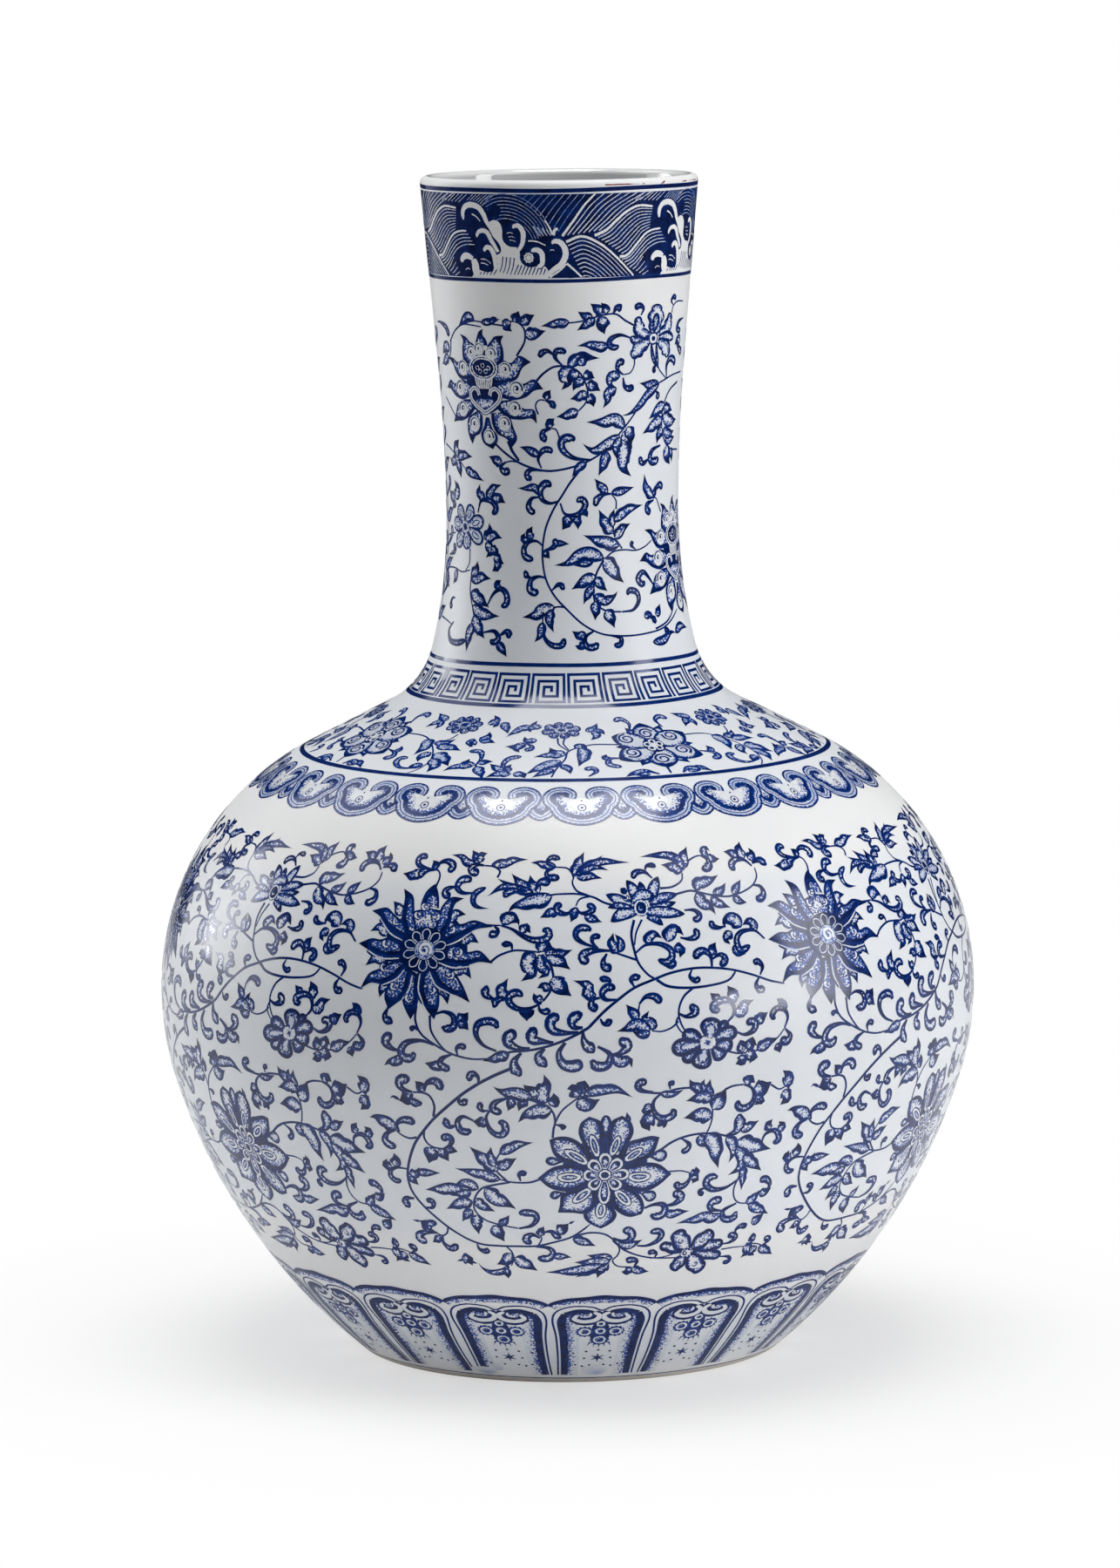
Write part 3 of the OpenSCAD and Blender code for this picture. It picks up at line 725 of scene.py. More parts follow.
BELLY_LEAVES = (
    # top of the belly
    (1.6, -58.5, 62.8, -61, 60.8, -63.6, 60.9, -66.3, 61.3), (1.3, -52.6, 63.5, -53.3, 65.3, -54.8, 67),
    (1.2, -36, 66.3, -40, 66.5, -43, 68.8, -47.5, 69.5), (1.4, -36, 66.3, -37, 69, -39, 71.7),
    (1.4, -35.3, 66.5, -34.8, 69.5, -32.3, 70.5), (1.4, -30, 66, -25.5, 66.5, -20.5, 68, -15.3, 68.2),
    (0.9, -31, 57.2, -34.8, 55, -35.4, 52, -33.5, 50, -28.8, 49.4),
    (1.8, -23.6, 43.8, -21.5, 46.4, -18, 45.2, -17.6, 43.4), (1.3, -17, 41.2, -15, 42.9, -13, 40.8),
    (1.8, -12, 55, -17, 58, -21.6, 62.7), (1.8, -10.5, 55, -13.3, 58.5, -14.2, 62.2),
    (2.1, -5.5, 54.2, -10, 52.6, -16, 51.4, -20, 50.2, -22, 47.6), (1.3, -13, 55.5, -20, 57.2, -27, 60.7),
    (1.2, -16, 55.8, -24, 57.6, -30.2, 53.9), (1.3, -4, 65.3, -8, 65.8, -11, 66.8, -14.3, 67),
    (1.7, 3, 61.5, 4.6, 66, 7.5, 71.3), (1.4, 3.5, 62, 9, 65.5, 15, 69.6),
    (1.3, 3.5, 62, 12, 66.8, 25.8, 66.4), (1.0, 5, 63, 11, 65, 17, 63.5), (1.3, 4, 61, 9, 61.6, 14.1, 60.5),
    (1.3, -3, 48, -6, 48.2, -8, 47.2, -10, 46.3), (1.4, 3, 50, 2.6, 47.5, 1.4, 44.6),
    (1.3, 6.5, 47.5, 9, 46, 12.9, 44.5), (1.5, 18.3, 33.6, 15.9, 37, 16.7, 40.7),
    (1.2, 18.7, 33.8, 19, 37.5, 17.1, 40.3), (1.6, 46.3, 62, 42, 64, 38, 65),
    (1.2, 46.3, 63, 43, 68, 36, 68.8, 29.8, 68.4), (1.4, 46.4, 63, 45.5, 67, 43.2, 70.4),
    (1.7, 46.8, 63, 48, 67.5, 50.7, 71.7), (1.3, 58, 67.5, 60, 66.2, 63.4, 65.8),
    (1.2, 58.5, 67, 57.3, 69.2, 59, 70.6, 60.2, 69), (1.5, 72, 65, 70, 67.3, 66, 68.6),
    (1.7, 74, 65, 73.4, 68.5, 75.1, 72), (1.5, 76, 64.5, 78.6, 66.8, 78, 69.2),
    (1.7, 50, 54.3, 51.5, 57, 56.5, 58, 60.7, 59.7), (1.2, 56.5, 52.9, 60, 53.8, 62.9, 56.6),
    (1.2, 64.5, 52.3, 66.8, 54.4, 69.6, 57.3), (1.8, 50, 53.7, 51.6, 50, 54.6, 48, 55.9, 45.2),
    (1.4, 55.5, 52, 57.5, 49.6, 62.4, 47.4), (1.2, 64.5, 51.6, 66.5, 49.6, 69.7, 48.6),
    (1.4, 29, 36, 29.4, 38.7, 32, 39.6, 34.4, 38), (1.9, 36, 36.8, 37.4, 40, 40.4, 40.9, 42.4, 38.6),
    (1.4, 38.3, 35, 40.8, 33.8, 40, 31), (1.2, 37.4, 31, 36.7, 28.8, 33.8, 28.6),
    (1.4, 51.8, 31, 52.5, 33.5, 54.1, 35.7), (1.4, 71, 38.5, 69, 41.8, 65.4, 40.8),
    (2.0, 65.2, 40.3, 62, 43.2, 58.8, 42.4, 58.6, 40.2), (1.3, 61, 38.8, 58.2, 36.6, 59.6, 34.4),
    (1.2, 61.8, 34.5, 61.8, 31.6, 65.2, 30.8),
    # middle
    (1.6, -38.5, 10.8, -36, 11.5, -34.2, 13.6), (1.3, -38, 10, -35.8, 9.2, -34, 7.4),
    (1.4, -59, -2, -60, -4.3, -63, -4.8, -65, -6.2), (1.4, -43.3, -4.5, -46, -5.3, -49.9, -4.4),
    (1.6, -20, 19, -23.2, 20.4, -22, 23, -20.6, 25.4), (1.9, -14, 15.4, -14, 13.4, -14, 10.8),
    (2.1, -11.5, 34, -13.7, 30.5, -12.6, 27, -16.2, 24.3), (1.4, -12.5, 33.8, -15, 31.8, -16, 29.6),
    (1.5, -9.8, 33.5, -9, 29.5, -7.2, 27.3, -10.3, 25.2), (1.7, -10, 34.4, -8.4, 36.6, -4.4, 35.2),
    (1.5, -8, 34, -2.5, 33.8, 2, 35.1), (1.8, -7.4, 32.6, -3, 31.4, 1.1, 28.2),
    (2.2, -4.7, 26, -2.9, 22.8, 1.4, 19.2), (1.2, -6, 21.3, -8.4, 22.8, -10.6, 22),
    (1.2, -8.3, 17.9, -10.9, 18.6, -11.8, 20.5), (1.4, -20, -0.3, -25, -2, -29.5, -3),
    (1.6, 15, -1.5, 18, -3.4, 20.8, -2.9, 21.6, -5.7),
    (1.5, 9.8, 19.4, 6.8, 20, 7.2, 22.6, 4.8, 23.6, 2, 24.6),
    (1.4, 28.6, 7, 28.8, 9, 26.2, 10.8, 27.9, 13.7), (1.7, 28, 6.6, 23.5, 9, 19.5, 7.6, 16.4, 7),
    (1.2, 28, 6.4, 25, 5.6, 21.8, 6.8), (1.4, 24.2, 11, 22.2, 13.2, 19.9, 16.1),
    (1.2, 53.6, 15.8, 51.7, 16.8, 49.9, 18.5), (1.7, 56.5, 15.6, 58.3, 17.2, 56.5, 20.6),
    (1.6, 58.3, 11.6, 60.8, 11.4, 62.8, 13.8, 66.2, 15), (1.5, 66.2, 7, 68.5, 8.8, 71.3, 10.3),
    (1.5, 66.5, -2.2, 71, 0, 74.8, 1.3), (1.4, 61.2, -2.6, 60.6, 0, 63.2, 0.4),
    (1.5, 63, -2, 64.3, 0.7, 66.6, -0.8), (1.5, 61, -3.3, 60.8, -5.6, 58.4, -6.6),
    (1.7, 62, -3.3, 65, -4, 63.8, -6.8), (1.3, 74, -0.9, 75, -2.2, 75.7, -4.2),
    (1.6, 77, 10, 76.8, 13, 75, 14.6),
    # along the great vine
    (1.4, -50.7, -14.4, -52, -12.6, -53.7, -10.9), (2.0, -56, -15.8, -57.4, -17.4, -60.2, -18.4),
    (0.4, -60, -18, -62.3, -17, -63.7, -17.9), (1.9, -62.5, -29, -66, -27, -70, -25.1, -72.7, -25.4),
    (2.2, -49.3, -35.3, -50.4, -38, -51.9, -41.7), (1.6, -47, -35.5, -45.4, -38, -43.9, -40.5),
    (1.2, -44.5, -35.4, -42.6, -35.8, -40.1, -36.5), (1.5, -28.8, -24.5, -31, -24.9, -33.8, -24.6),
    (1.8, -12.5, -15.6, -19, -14.2, -23, -13.6, -26, -11.8), (1.8, -10.5, -15.8, -13, -13.4, -15.5, -11),
    (2.2, -7.6, -17.5, -9.6, -14.2, -7.6, -11, -8.4, -7.3), (1.7, -6.6, -18.4, -5, -16.4, -5.2, -13.9),
    (1.3, -19, -16, -20, -18, -21.1, -20.6), (1.3, -14, -16.6, -16.3, -18, -17.4, -20.6),
    (2.0, -5.8, -20, -11, -20.8, -15, -22, -17.8, -24.8), (1.9, 3.2, -15.6, 1.6, -12.4, -0.6, -12.6),
    (1.9, 3.3, -15.4, 5, -11.4, 7.4, -12.6), (2.0, 3.2, -16, 6, -18.2, 10.8, -16.4),
    (1.5, 5, -14.6, 11, -13, 16.5, -13.2, 22.1, -16.2), (1.5, -25, -36.7, -19, -33.3, -12.5, -32.2),
    (1.6, -26, -42.6, -23, -40.7, -18.8, -38.3), (2.1, -26, -43.5, -31, -39, -35.7, -34.2),
    (1.4, -27, -42, -28.4, -38, -27.8, -34), (1.6, -25.5, -47, -33, -45, -42.2, -43),
    (1.6, -34, -51, -39, -49, -44, -50.6), (1.9, -40, -51.4, -47, -51.8, -55.3, -52.4),
    (1.3, -37, -52.4, -41, -53.4, -45.4, -53.4), (2.3, -31.5, -50.6, -28, -54.5, -23, -57.2, -20.4, -59.2),
    (1.6, -36, -55, -33.2, -58, -28.6, -60.3), (1.8, -37, -56.5, -42, -57.5, -48.1, -60.1),
    (1.4, -37.5, -60, -39.8, -61.8, -42.5, -65.2), (1.8, -36, -62, -36.7, -66, -36.5, -70.6),
    (2.1, -30.2, -66.3, -28.7, -69, -26.4, -73.4), (1.2, -28, -65.6, -25.4, -64.4, -23.3, -61.6),
    (1.6, -66, -43.6, -64.8, -41, -65.2, -38.4), (1.5, -67, -44.2, -69.2, -43.4, -68.6, -41),
    (1.4, -60.5, -46.2, -57.4, -46, -56, -43.4), (1.2, -57.5, -45.6, -53, -45.4, -47.8, -45.3),
    (1.3, -60.6, -46.4, -59.2, -48.8, -57.3, -50.8), (2.0, -56.8, -69, -58.4, -67.4, -60.4, -65.8),
    (0.35, -60.3, -66.2, -63.7, -65.8), (1.3, -53, -72, -54.4, -73.6, -57.2, -75.2),
    (1.9, -45.9, -81.5, -43, -82.4, -41.8, -85), (0.35, -45.4, -82.4, -48.6, -83.2),
    (0.35, -41.8, -83.3, -39.4, -83.8), (1.1, -26, -84.4, -29, -87.2, -34, -87.8, -37.6, -86, -39.1, -83.3),
    (1.4, -27.6, -86, -27.2, -88, -27, -90.6), (1.9, -24.2, -78.6, -26.8, -82, -31.2, -84),
    (2.1, -23.4, -80.8, -20.5, -82.3, -17, -84.4, -13.9, -86.7),
    (1.3, -12.2, -70.6, -11.5, -68.6, -10.2, -66.3), (1.8, -5.4, -68.4, -2.6, -67.2, -0.6, -65),
    (0.35, -0.4, -65.2, 1.9, -64), (1.2, -7.3, -79, -5, -79.7, -2.3, -79.8, 0.6, -80.3),
    (1.5, 1, -71.8, 5, -73, 10.5, -75.4), (1.6, 19.4, -74, 24, -75.2, 29.2, -73.2),
    (1.5, 17.4, -81, 12, -80.6, 6.6, -79.3), (1.8, 16.5, -82.4, 9, -82.9, 1.3, -82.6),
    (1.8, 13.5, -84, 5, -86.3, -3, -87, -10.7, -87.3), (1.6, 13, -84.4, 7, -87.3, 1.9, -89.8),
    (1.8, 16, -83.5, 13, -86, 11.3, -90.5), (1.4, 26, -85.9, 29, -87.4, 33.8, -88.2),
    (1.4, 26, -86, 23.8, -87.8, 21.6, -87.6), (1.8, 75, -80.3, 78.3, -82.4, 75.4, -85.8),
    (1.5, -70, -81.4, -65, -83.8, -60.7, -86.2), (1.5, -71, -81, -73.2, -83.4, -70.6, -85.4),
    # right of the great flower
    (1.0, 31.5, -15.2, 36, -15.6, 40, -14.2), (1.4, 46.5, -15, 43.2, -13, 41.7, -10.6),
    (1.1, 48.4, -16, 46.6, -13.2, 47.3, -10.9), (1.3, 49.8, -18.2, 48.8, -14.4, 49.4, -11),
    (1.7, 50.2, -19, 47, -17.4, 40.7, -18.4), (2.1, 50.6, -25, 46, -23.9, 40.2, -24.6),
    (2.2, 50.6, -22, 53.4, -18.2, 55.4, -14.6), (1.4, 29.3, -20, 26.8, -20.8, 28.2, -23.6),
    (2.0, 29.8, -23.6, 27, -25.6, 28.4, -28.8), (1.6, 31.5, -24.6, 33.4, -26.6, 33.2, -28),
    (1.5, 62.3, -14, 64, -12.4, 66.3, -13.8), (2.3, 65.8, -16, 69, -16, 72.8, -14),
    (1.5, 66.4, -19, 69, -20, 66.6, -22), (1.7, 78, -16, 79.6, -13, 77, -10.4),
    (1.7, 78, -17.4, 79.4, -20.6, 77, -23), (1.3, 78.4, -16, 80, -15.4, 81.6, -15.6),
    (1.5, 47, -31.2, 48, -34.2, 51.2, -36.2), (2.4, 49, -31.2, 53, -35.5, 53.8, -40, 55.6, -45.2),
    (1.6, 57, -33, 60, -36, 60.7, -39.5, 59.3, -43.4), (1.8, 61.5, -37.4, 65, -42, 64, -46, 59.8, -48.4),
    (1.8, 64.8, -41, 69, -44, 73.8, -47.9), (2.4, 61.5, -34.8, 68, -37.2, 76.2, -39.6),
    (1.5, 61.8, -30.4, 65, -29.8, 69.2, -27.8), (1.3, 65.6, -45, 66.4, -50, 66.8, -55.3),
    (1.3, 44.7, -46.4, 47, -46, 46.6, -43.6), (1.3, 45, -48, 47.2, -48.2, 46, -50.6),
    (1.7, 60.2, -64.4, 57, -65.8, 53.5, -65, 50, -65.7, 46, -66.3, 41.8, -67),
    (1.4, 36.8, -61, 39, -62.6, 42, -62.2, 46.7, -61.8), (1.3, 74, -32, 73.2, -30, 74.6, -27.8),
    (1.3, 77.6, -32.6, 79.2, -31, 77.4, -29), (1.5, 70, -60.6, 72.5, -59.4, 75.4, -55.8),
    (1.6, 71.6, -61.6, 76, -63.6, 82.2, -66.8), (1.4, 75, -57.2, 77.6, -57, 80.2, -55.4),
    (1.6, 75, -69.8, 77.4, -68.6, 80, -66),
)

# Flame flower: for each petal five places along its upper edge and five along its darker edge, the
# middle of its curl and, for most, the path of a barb and of a white rim
FLAME_PETALS = (
    # top petal, left and right horn
    ((-48.2, 49, -48.8, 52.4, -49.6, 54.8, -50.4, 56.4, -51.4, 58),
     (-55.8, 50, -55.4, 52.4, -54.6, 54.8, -53.2, 56.6, -51.4, 58), (-53.8, 49.8), (), ()),
    ((-55.6, 41.5, -57.2, 45.6, -58.2, 49.4, -59.6, 53.2, -64, 55.6),
     (-60, 39.4, -62.2, 44, -62.6, 48.6, -62.8, 52.4, -64, 55.6), (-56, 46.6), (), ()),
    ((-49, 41.5, -47.8, 45.6, -47.4, 49.4, -44.2, 53.2, -39, 53),
     (-45.4, 39.4, -43, 43.6, -42.8, 47.6, -42, 51, -39, 53), (-48.8, 46.1), (), ()),
    # round to the left
    ((-60, 42.4, -62.6, 44.2, -66, 46.4, -69.5, 48.3, -75.2, 46.8),
     (-60.5, 37.8, -64.5, 39.4, -68.5, 41.8, -71.2, 44.8, -75.2, 46.8), (-64.2, 44),
     (-62.8, 45.6, -64.4, 48.4, -67.2, 50.8), (-71, 44.2, -66, 39.4, -60.6, 37)),
    ((-61.6, 36.4, -66, 37.8, -69.4, 36.9, -73, 37.1, -78, 35),
     (-61, 31.4, -66, 31, -70, 31.6, -74, 33.2, -78, 35), (-66.8, 35.9),
     (-67, 38.2, -70.2, 41.2, -74.2, 39.5), (-74, 32.9, -68, 30.5, -61, 30.8)),
    ((-61, 30.2, -64, 29.4, -68.2, 26.9, -72.2, 24.8, -75, 19.4),
     (-58, 27.8, -62, 23.8, -66, 21.7, -71, 21.8, -75, 19.4), (-66.4, 27.8),
     (-66, 29.4, -70, 30.4, -74, 27.5), (-58.4, 27, -61.4, 23.6, -66.4, 21.3)),
    ((-59.6, 26.6, -63, 23.2, -64.8, 20.2, -65.2, 17, -63.4, 13.2),
     (-55.6, 26, -56.3, 21, -58.2, 17.3, -60.8, 15.2, -63.4, 13.2), (-61.8, 21.6),
     (-63, 20.8, -66, 20.6, -67.2, 17), (-55.2, 25.4, -56, 20.6, -58.6, 16.6)),
    ((-56.6, 25, -58.6, 20, -58.2, 16, -56.8, 13, -55, 10.2),
     (-52.4, 25, -52.2, 20, -52.5, 16, -53.4, 13, -55, 10.2), (-56, 17.8), (), ()),
    # and up on the right
    ((-48.6, 27, -45.8, 23, -44.8, 19, -44.8, 15, -46.4, 10.6),
     (-52, 27, -52.5, 21, -51.2, 17, -49.2, 13.8, -46.4, 10.6), (-47.6, 20.8),
     (-46.2, 21.4, -43, 20.2, -41.6, 15.8), (-52.4, 26, -52.6, 20.6, -50.6, 15.8)),
    ((-46, 30, -42, 28.8, -38.8, 25.8, -36.2, 22, -33.8, 16.8),
     (-49, 27.4, -46, 22.8, -42, 20.1, -38, 18.8, -33.8, 16.8), (-41.2, 26.2),
     (-40.6, 26.8, -36.4, 28, -33.5, 24.8), (-49, 26.8, -46.2, 22.2, -41, 19.6)),
    ((-43.4, 35.2, -38.8, 36.5, -35.8, 34.1, -31, 34.5, -26.2, 30.2),
     (-45, 30.4, -41, 29.4, -36, 29.3, -31, 30.7, -26.2, 30.2), (-38.8, 34),
     (-38, 36.6, -35.4, 39, -31.6, 37.2), (-46, 30, -40.4, 28.5, -34.6, 29)),
    ((-44.4, 41, -41.8, 43.6, -38.4, 43.8, -33.8, 45.2, -26.8, 43),
     (-44, 36.8, -41, 38.2, -37, 39.8, -33, 42, -26.8, 43), (-42.2, 42),
     (-43, 44, -41.6, 47.2, -37.4, 47.2), (-43.4, 36, -39.4, 37.7, -34.6, 41)),
)
# Edges of the cup between the two horns
FLAME_CUP = ((-58.4, 47, -55, 48, -51.8, 49, -48.6, 48, -46.6, 47),
             (-59, 39.8, -55.5, 38.6, -51.8, 38.4, -48, 38.6, -45, 39.8))
FLAME_CENTRE = (-51.6, 34.2)
# Loops round the heart: distance out and across of one, in millimetres, and how many there are
HEART_LOOP = (4.0, -0.9, 6.6, -1.5, 8.1, 0, 6.6, 1.5, 4.0, 0.9)
HEART_LOOPS = 10

# Half lotus seen from the side: half-width and path of each petal, back ones first
LOTUS_PETALS = (
    (2.3, 26, 51, 25.6, 55.5, 23.2, 59.7), (1.7, 28.4, 53, 28.7, 56.5, 28.3, 59),
    (2.3, 31, 51.5, 33.4, 56, 36, 60.6), (1.3, 23, 55, 21.8, 55.6, 20.6, 56.6),
    (2.2, 25, 50, 20.5, 52, 14.8, 54.5), (1.4, 24, 49.5, 19, 50.3, 15.2, 49.6),
    (1.9, 31, 50.6, 36, 52.5, 42.6, 53.6), (1.5, 31, 49.5, 37, 49.8, 41.4, 50.7),
    (2.4, 26, 48, 20.5, 47.2, 15.9, 44.5), (2.3, 29, 47.8, 36, 47.3, 44.1, 46.2),
    (1.5, 29.5, 46, 32.5, 45, 35.3, 42.6), (2.3, 24.5, 51.4, 29, 54, 34, 52.6),
)
LOTUS_POD = (27.7, 49.2)
LOTUS_CURL = (22.4, 53.3)

# Rosette: half-width and path of each petal, back ones first
ROSETTE_PETALS = (
    (2.4, 46, 2.5, 43, 4.3, 39, 4.6), (1.8, 51, 4.6, 53.4, 6.5, 56, 8.4),
    (2.2, 45.5, -0.8, 42, -2.6, 39, -4), (2.6, 50.6, 2.5, 55, 4.2, 59.3, 4.6),
    (2.6, 51, 0.4, 54.4, 0.4, 57.4, -0.6), (2.7, 50, -0.6, 52.4, -2.4, 54, -4.4),
    (3.6, 49, 3, 49.5, 6.4, 49.6, 10.3), (3.0, 45.6, 1.3, 41, 0.8, 35.3, 0),
    (3.5, 47.6, -0.5, 46.2, -3.8, 45.3, -7.4),
)
ROSETTE_CENTRE = (48.2, 1.6)

# Great lower flower: for each petal five places along both edges, and the half-width and path of
# the loop in it
GREAT_PETALS = (
    ((6.5, -37.5, 4.8, -33, 3.3, -29, 4, -25, 7, -22.6),
     (12, -37, 12.2, -32, 12.4, -28, 11, -24.4, 7, -22.6), 1.9, (10.2, -38.4, 9, -34, 7.6, -29)),
    ((19, -37.5, 21, -33, 22.6, -29, 21.6, -25, 18.4, -22.6),
     (13.4, -37, 13.2, -32, 13.4, -28, 14.8, -24.4, 18.4, -22.6), 1.9, (14.8, -38, 16.2, -34, 17.6, -29.8)),
    ((6.5, -37, 4, -32.6, 0, -30.2, -4, -30, -7, -31.2),
     (6.5, -41.5, 1.5, -40.8, -3, -39.6, -5.8, -36.4, -7, -31.2), 2.1, (7, -41, 3, -38.2, -2, -35)),
    ((19, -38.5, 20.5, -33, 25, -31.4, 29, -30.6, 32, -31.2),
     (19, -41.6, 24, -40.6, 28, -39.6, 30.6, -36.6, 32, -31.2), 2, (19.6, -40, 23, -37.6, 26.4, -35.2)),
    ((6, -42.8, 2, -41, -3, -41, -7, -42.4, -11.6, -46.2),
     (6, -49.4, 1, -51.6, -4, -51.4, -8, -49.8, -11.6, -46.2), 2.3, (4.6, -45.8, 0, -46, -4.8, -46)),
    ((17, -43.4, 23, -41.4, 28, -40.8, 33, -42, 37.6, -46),
     (17, -47.6, 22.5, -51.6, 28, -52.6, 33, -50.4, 37.6, -46), 2.3, (21, -46, 25.4, -46.6, 30, -46.4)),
    ((4.5, -51.2, 0, -51.6, -3.2, -53, -3.8, -57, -4.6, -60.4),
     (9.6, -53, 9.8, -57.4, 6.4, -61, 1, -60.6, -4.6, -60.4), 2.2, (8, -50.4, 4.6, -53.4, 1, -56.4)),
    ((19, -49.6, 24, -52, 27, -55, 28.4, -59, 27.6, -62),
     (15, -53, 16, -57.6, 18.6, -61, 23, -63, 27.6, -62), 2.3, (16.6, -51.4, 19.8, -54.6, 23, -58.2)),
    ((9.6, -57, 5.6, -60, 5.4, -63, 8, -65.6, 12, -67.6),
     (14.6, -57, 17.8, -61, 17.2, -64, 15, -66, 12, -67.6), 2.4, (12, -56, 11.7, -59.6, 11.5, -63.4)),
)
# Length of the small petals round the heart, from the top and turning left
GREAT_HEART = (9.0, 8.4, 8.2, 8.0, 12.2, 8.4, 9.2, 8.6)
# Tips of petals behind the others: half-width and path
GREAT_DROPS = (
    (2.0, 12.8, -31.5, 12.8, -26.6, 12.8, -22.2), (1.8, -2, -39.8, -5, -39.6, -8.6, -39.2),
    (1.8, -2, -52, -4.6, -52.8, -7.4, -53.8), (2.5, 28, -38.6, 32, -38.4, 35.3, -38.6),
    (2.4, 26, -53, 29.4, -54.2, 32.4, -55.6), (1.2, 20, -21.4, 20.4, -23.6, 20.2, -25.6),
)
GREAT_CENTRE = (12.8, -45.2)

# Small lower flower: half-width and path of each petal
SMALL_PETALS = (
    (2.4, 47, -79.6, 41.5, -77.6, 36.6, -76.2), (2.7, 52, -79, 58.5, -78, 64.7, -77.8),
    (2.5, 51.5, -80.4, 58.5, -82, 65.2, -83.4), (3.6, 49.6, -79, 45.4, -75, 42.6, -69.9),
    (3.4, 50.6, -78.8, 54.6, -75.2, 59, -71.9), (3.6, 50.4, -81.4, 54, -86, 58.4, -89.6),
    (2.9, 48.6, -81.4, 46.2, -85.2, 43.6, -88.2),
)
SMALL_CENTRE = (48.6, -80.6)


def places(*edges):
    """Points of each edge, from its x and y in turn."""
    return [np.reshape(edge, (-1, 2)) for edge in edges]


def paths(strokes):
    """Half-width and points of each stroke in a list."""
    return [(s[0], np.reshape(s[1:], (-1, 2))) for s in strokes]


def draw_vines(sheet, stems):
    """Solid thin stems."""
    for half, points in paths(stems):
        sheet.stroke("stem", STEM_SHARE * half, points, line=SOLID, layer=0, columns=2)


def draw_curls(sheet, curls, line=0.9, wash=0.12):
    """Commas with a round end, darker along one side."""
    for half, points in paths(curls):
        sheet.stroke("curl", CURL_SHARE * half, points, line=line, shade=1.6, wash=wash, layer=2, lean=0.6)


def draw_leaves(sheet, leaves, line=0.8, wash=0.12):
    """Pointed leaves with a solid tip, darker along one side; a wide one has a scalloped side."""
    for half, points in paths(leaves):
        sheet.stroke("leaf", LEAF_SHARE * half, points, line=line, shade=2.5, wash=wash,
                     tip=LEAF_SHARE * half, layer=1, lean=0.55,
                     lobes=LEAF_LOBES if half > LOBED_LEAF else 0)


def draw_flame_flower(sheet):
    """Open flower with flame petals round a ring of small round ones and a spiral heart."""
    x, y = FLAME_CENTRE
    sheet.disc(x, y, 16.0, 14.6, 16.0, 0.6, layer=0, spokes=36)
    sheet.patch(*places(*FLAME_CUP), line=0.5, shade=5.0, wash=0.05, layer=1, lean=0.6)
    for upper, darker, curl, barb, rim in FLAME_PETALS:
        if barb:
            sheet.stroke("leaf", 2.0, barb, line=0.8, shade=1.6, wash=0.1, tip=1.8, layer=1)
        sheet.patch(*places(upper, darker), line=0.85, shade=4.4, wash=0.1, tip=3.6, layer=2, lean=0.6)
        if rim:
            sheet.stroke("ribbon", 1.15, rim, line=SOLID, layer=1, columns=2)
            sheet.stroke("ribbon", 0.32, rim, **WHITE, wash=0.22, layer=4, columns=2)
        start, hand = (150, 1) if curl[0] > x else (30, -1)
        sheet.spiral(*curl, 2.1, 0.85, turns=0.85, start=start, hand=hand, line=0.34, shade=0.4, wash=0.02,
                     layer=5)
    sheet.disc(x, y, 9.0, 8.0, 9.5, 0.8, layer=4, spokes=28)
    out, across = np.reshape(HEART_LOOP, (-1, 2)).T
    for k in range(HEART_LOOPS):
        a = FULL_TURN * (k + 0.5) / HEART_LOOPS
        loop = (x + out * np.cos(a) - across * np.sin(a), y + 0.9 * (out * np.sin(a) + across * np.cos(a)))
        sheet.stroke("band", 0.22, np.stack(loop, -1), **WHITE, wash=0.3, layer=5, columns=2)
    sheet.disc(x, y, 3.8, 3.4, 0.5, 6.5, wash=0.5, layer=6)
    sheet.spiral(x, y, 2.6, 0.6, turns=1.4, start=-30, form="stem", **WHITE, wash=0.04, layer=7)


def draw_half_lotus(sheet):
    """Lotus seen from the side, with a pod in the middle."""
    for half, points in paths(LOTUS_PETALS):
        sheet.stroke("flame", half, points, line=0.75, shade=1.8, wash=0.2, tip=1.6, layer=2)
    x, y = LOTUS_POD
    sheet.spiral(*LOTUS_CURL, 1.5, 0.6, turns=0.8, start=150, line=0.34, shade=0.3, wash=0.0, layer=3)
    sheet.disc(x, y, 2.6, 2.6, 2.4, 0.4, layer=3)
    sheet.ring(x, y, 2.3, 2.5, 0.55, line=0.2, layer=4)
    sheet.spiral(x, y - 0.2, 1.1, 0.4, turns=0.8, line=0.12, shade=0.3, wash=0.0, layer=4)


def draw_rosette(sheet):
    """Rounded petals with a second line inside the three front ones."""
    for i, (half, points) in enumerate(paths(ROSETTE_PETALS)):
        sheet.stroke("petal", 1.1 * half, points, line=1.45, shade=1.9, wash=0.15,
                     layer=1 + (i > 2) + (i > 5), columns=6)
        if i > 5:
            inner = points[0] + (points - points[0]) * 0.72
            sheet.stroke("petal", half * 0.55, inner, line=0.5, shade=0.9, wash=0.25, layer=4)
    x, y = ROSETTE_CENTRE
    sheet.stroke("oval", 3.0, (x - 3.4, y - 0.6, x, y, x + 3.4, y + 0.6), line=0.5, shade=0.6, wash=0.02,
                 layer=4, columns=6)
    sheet.disc(x, y, 1.9, 1.7, 0.6, 1.0, wash=0.1, layer=5)


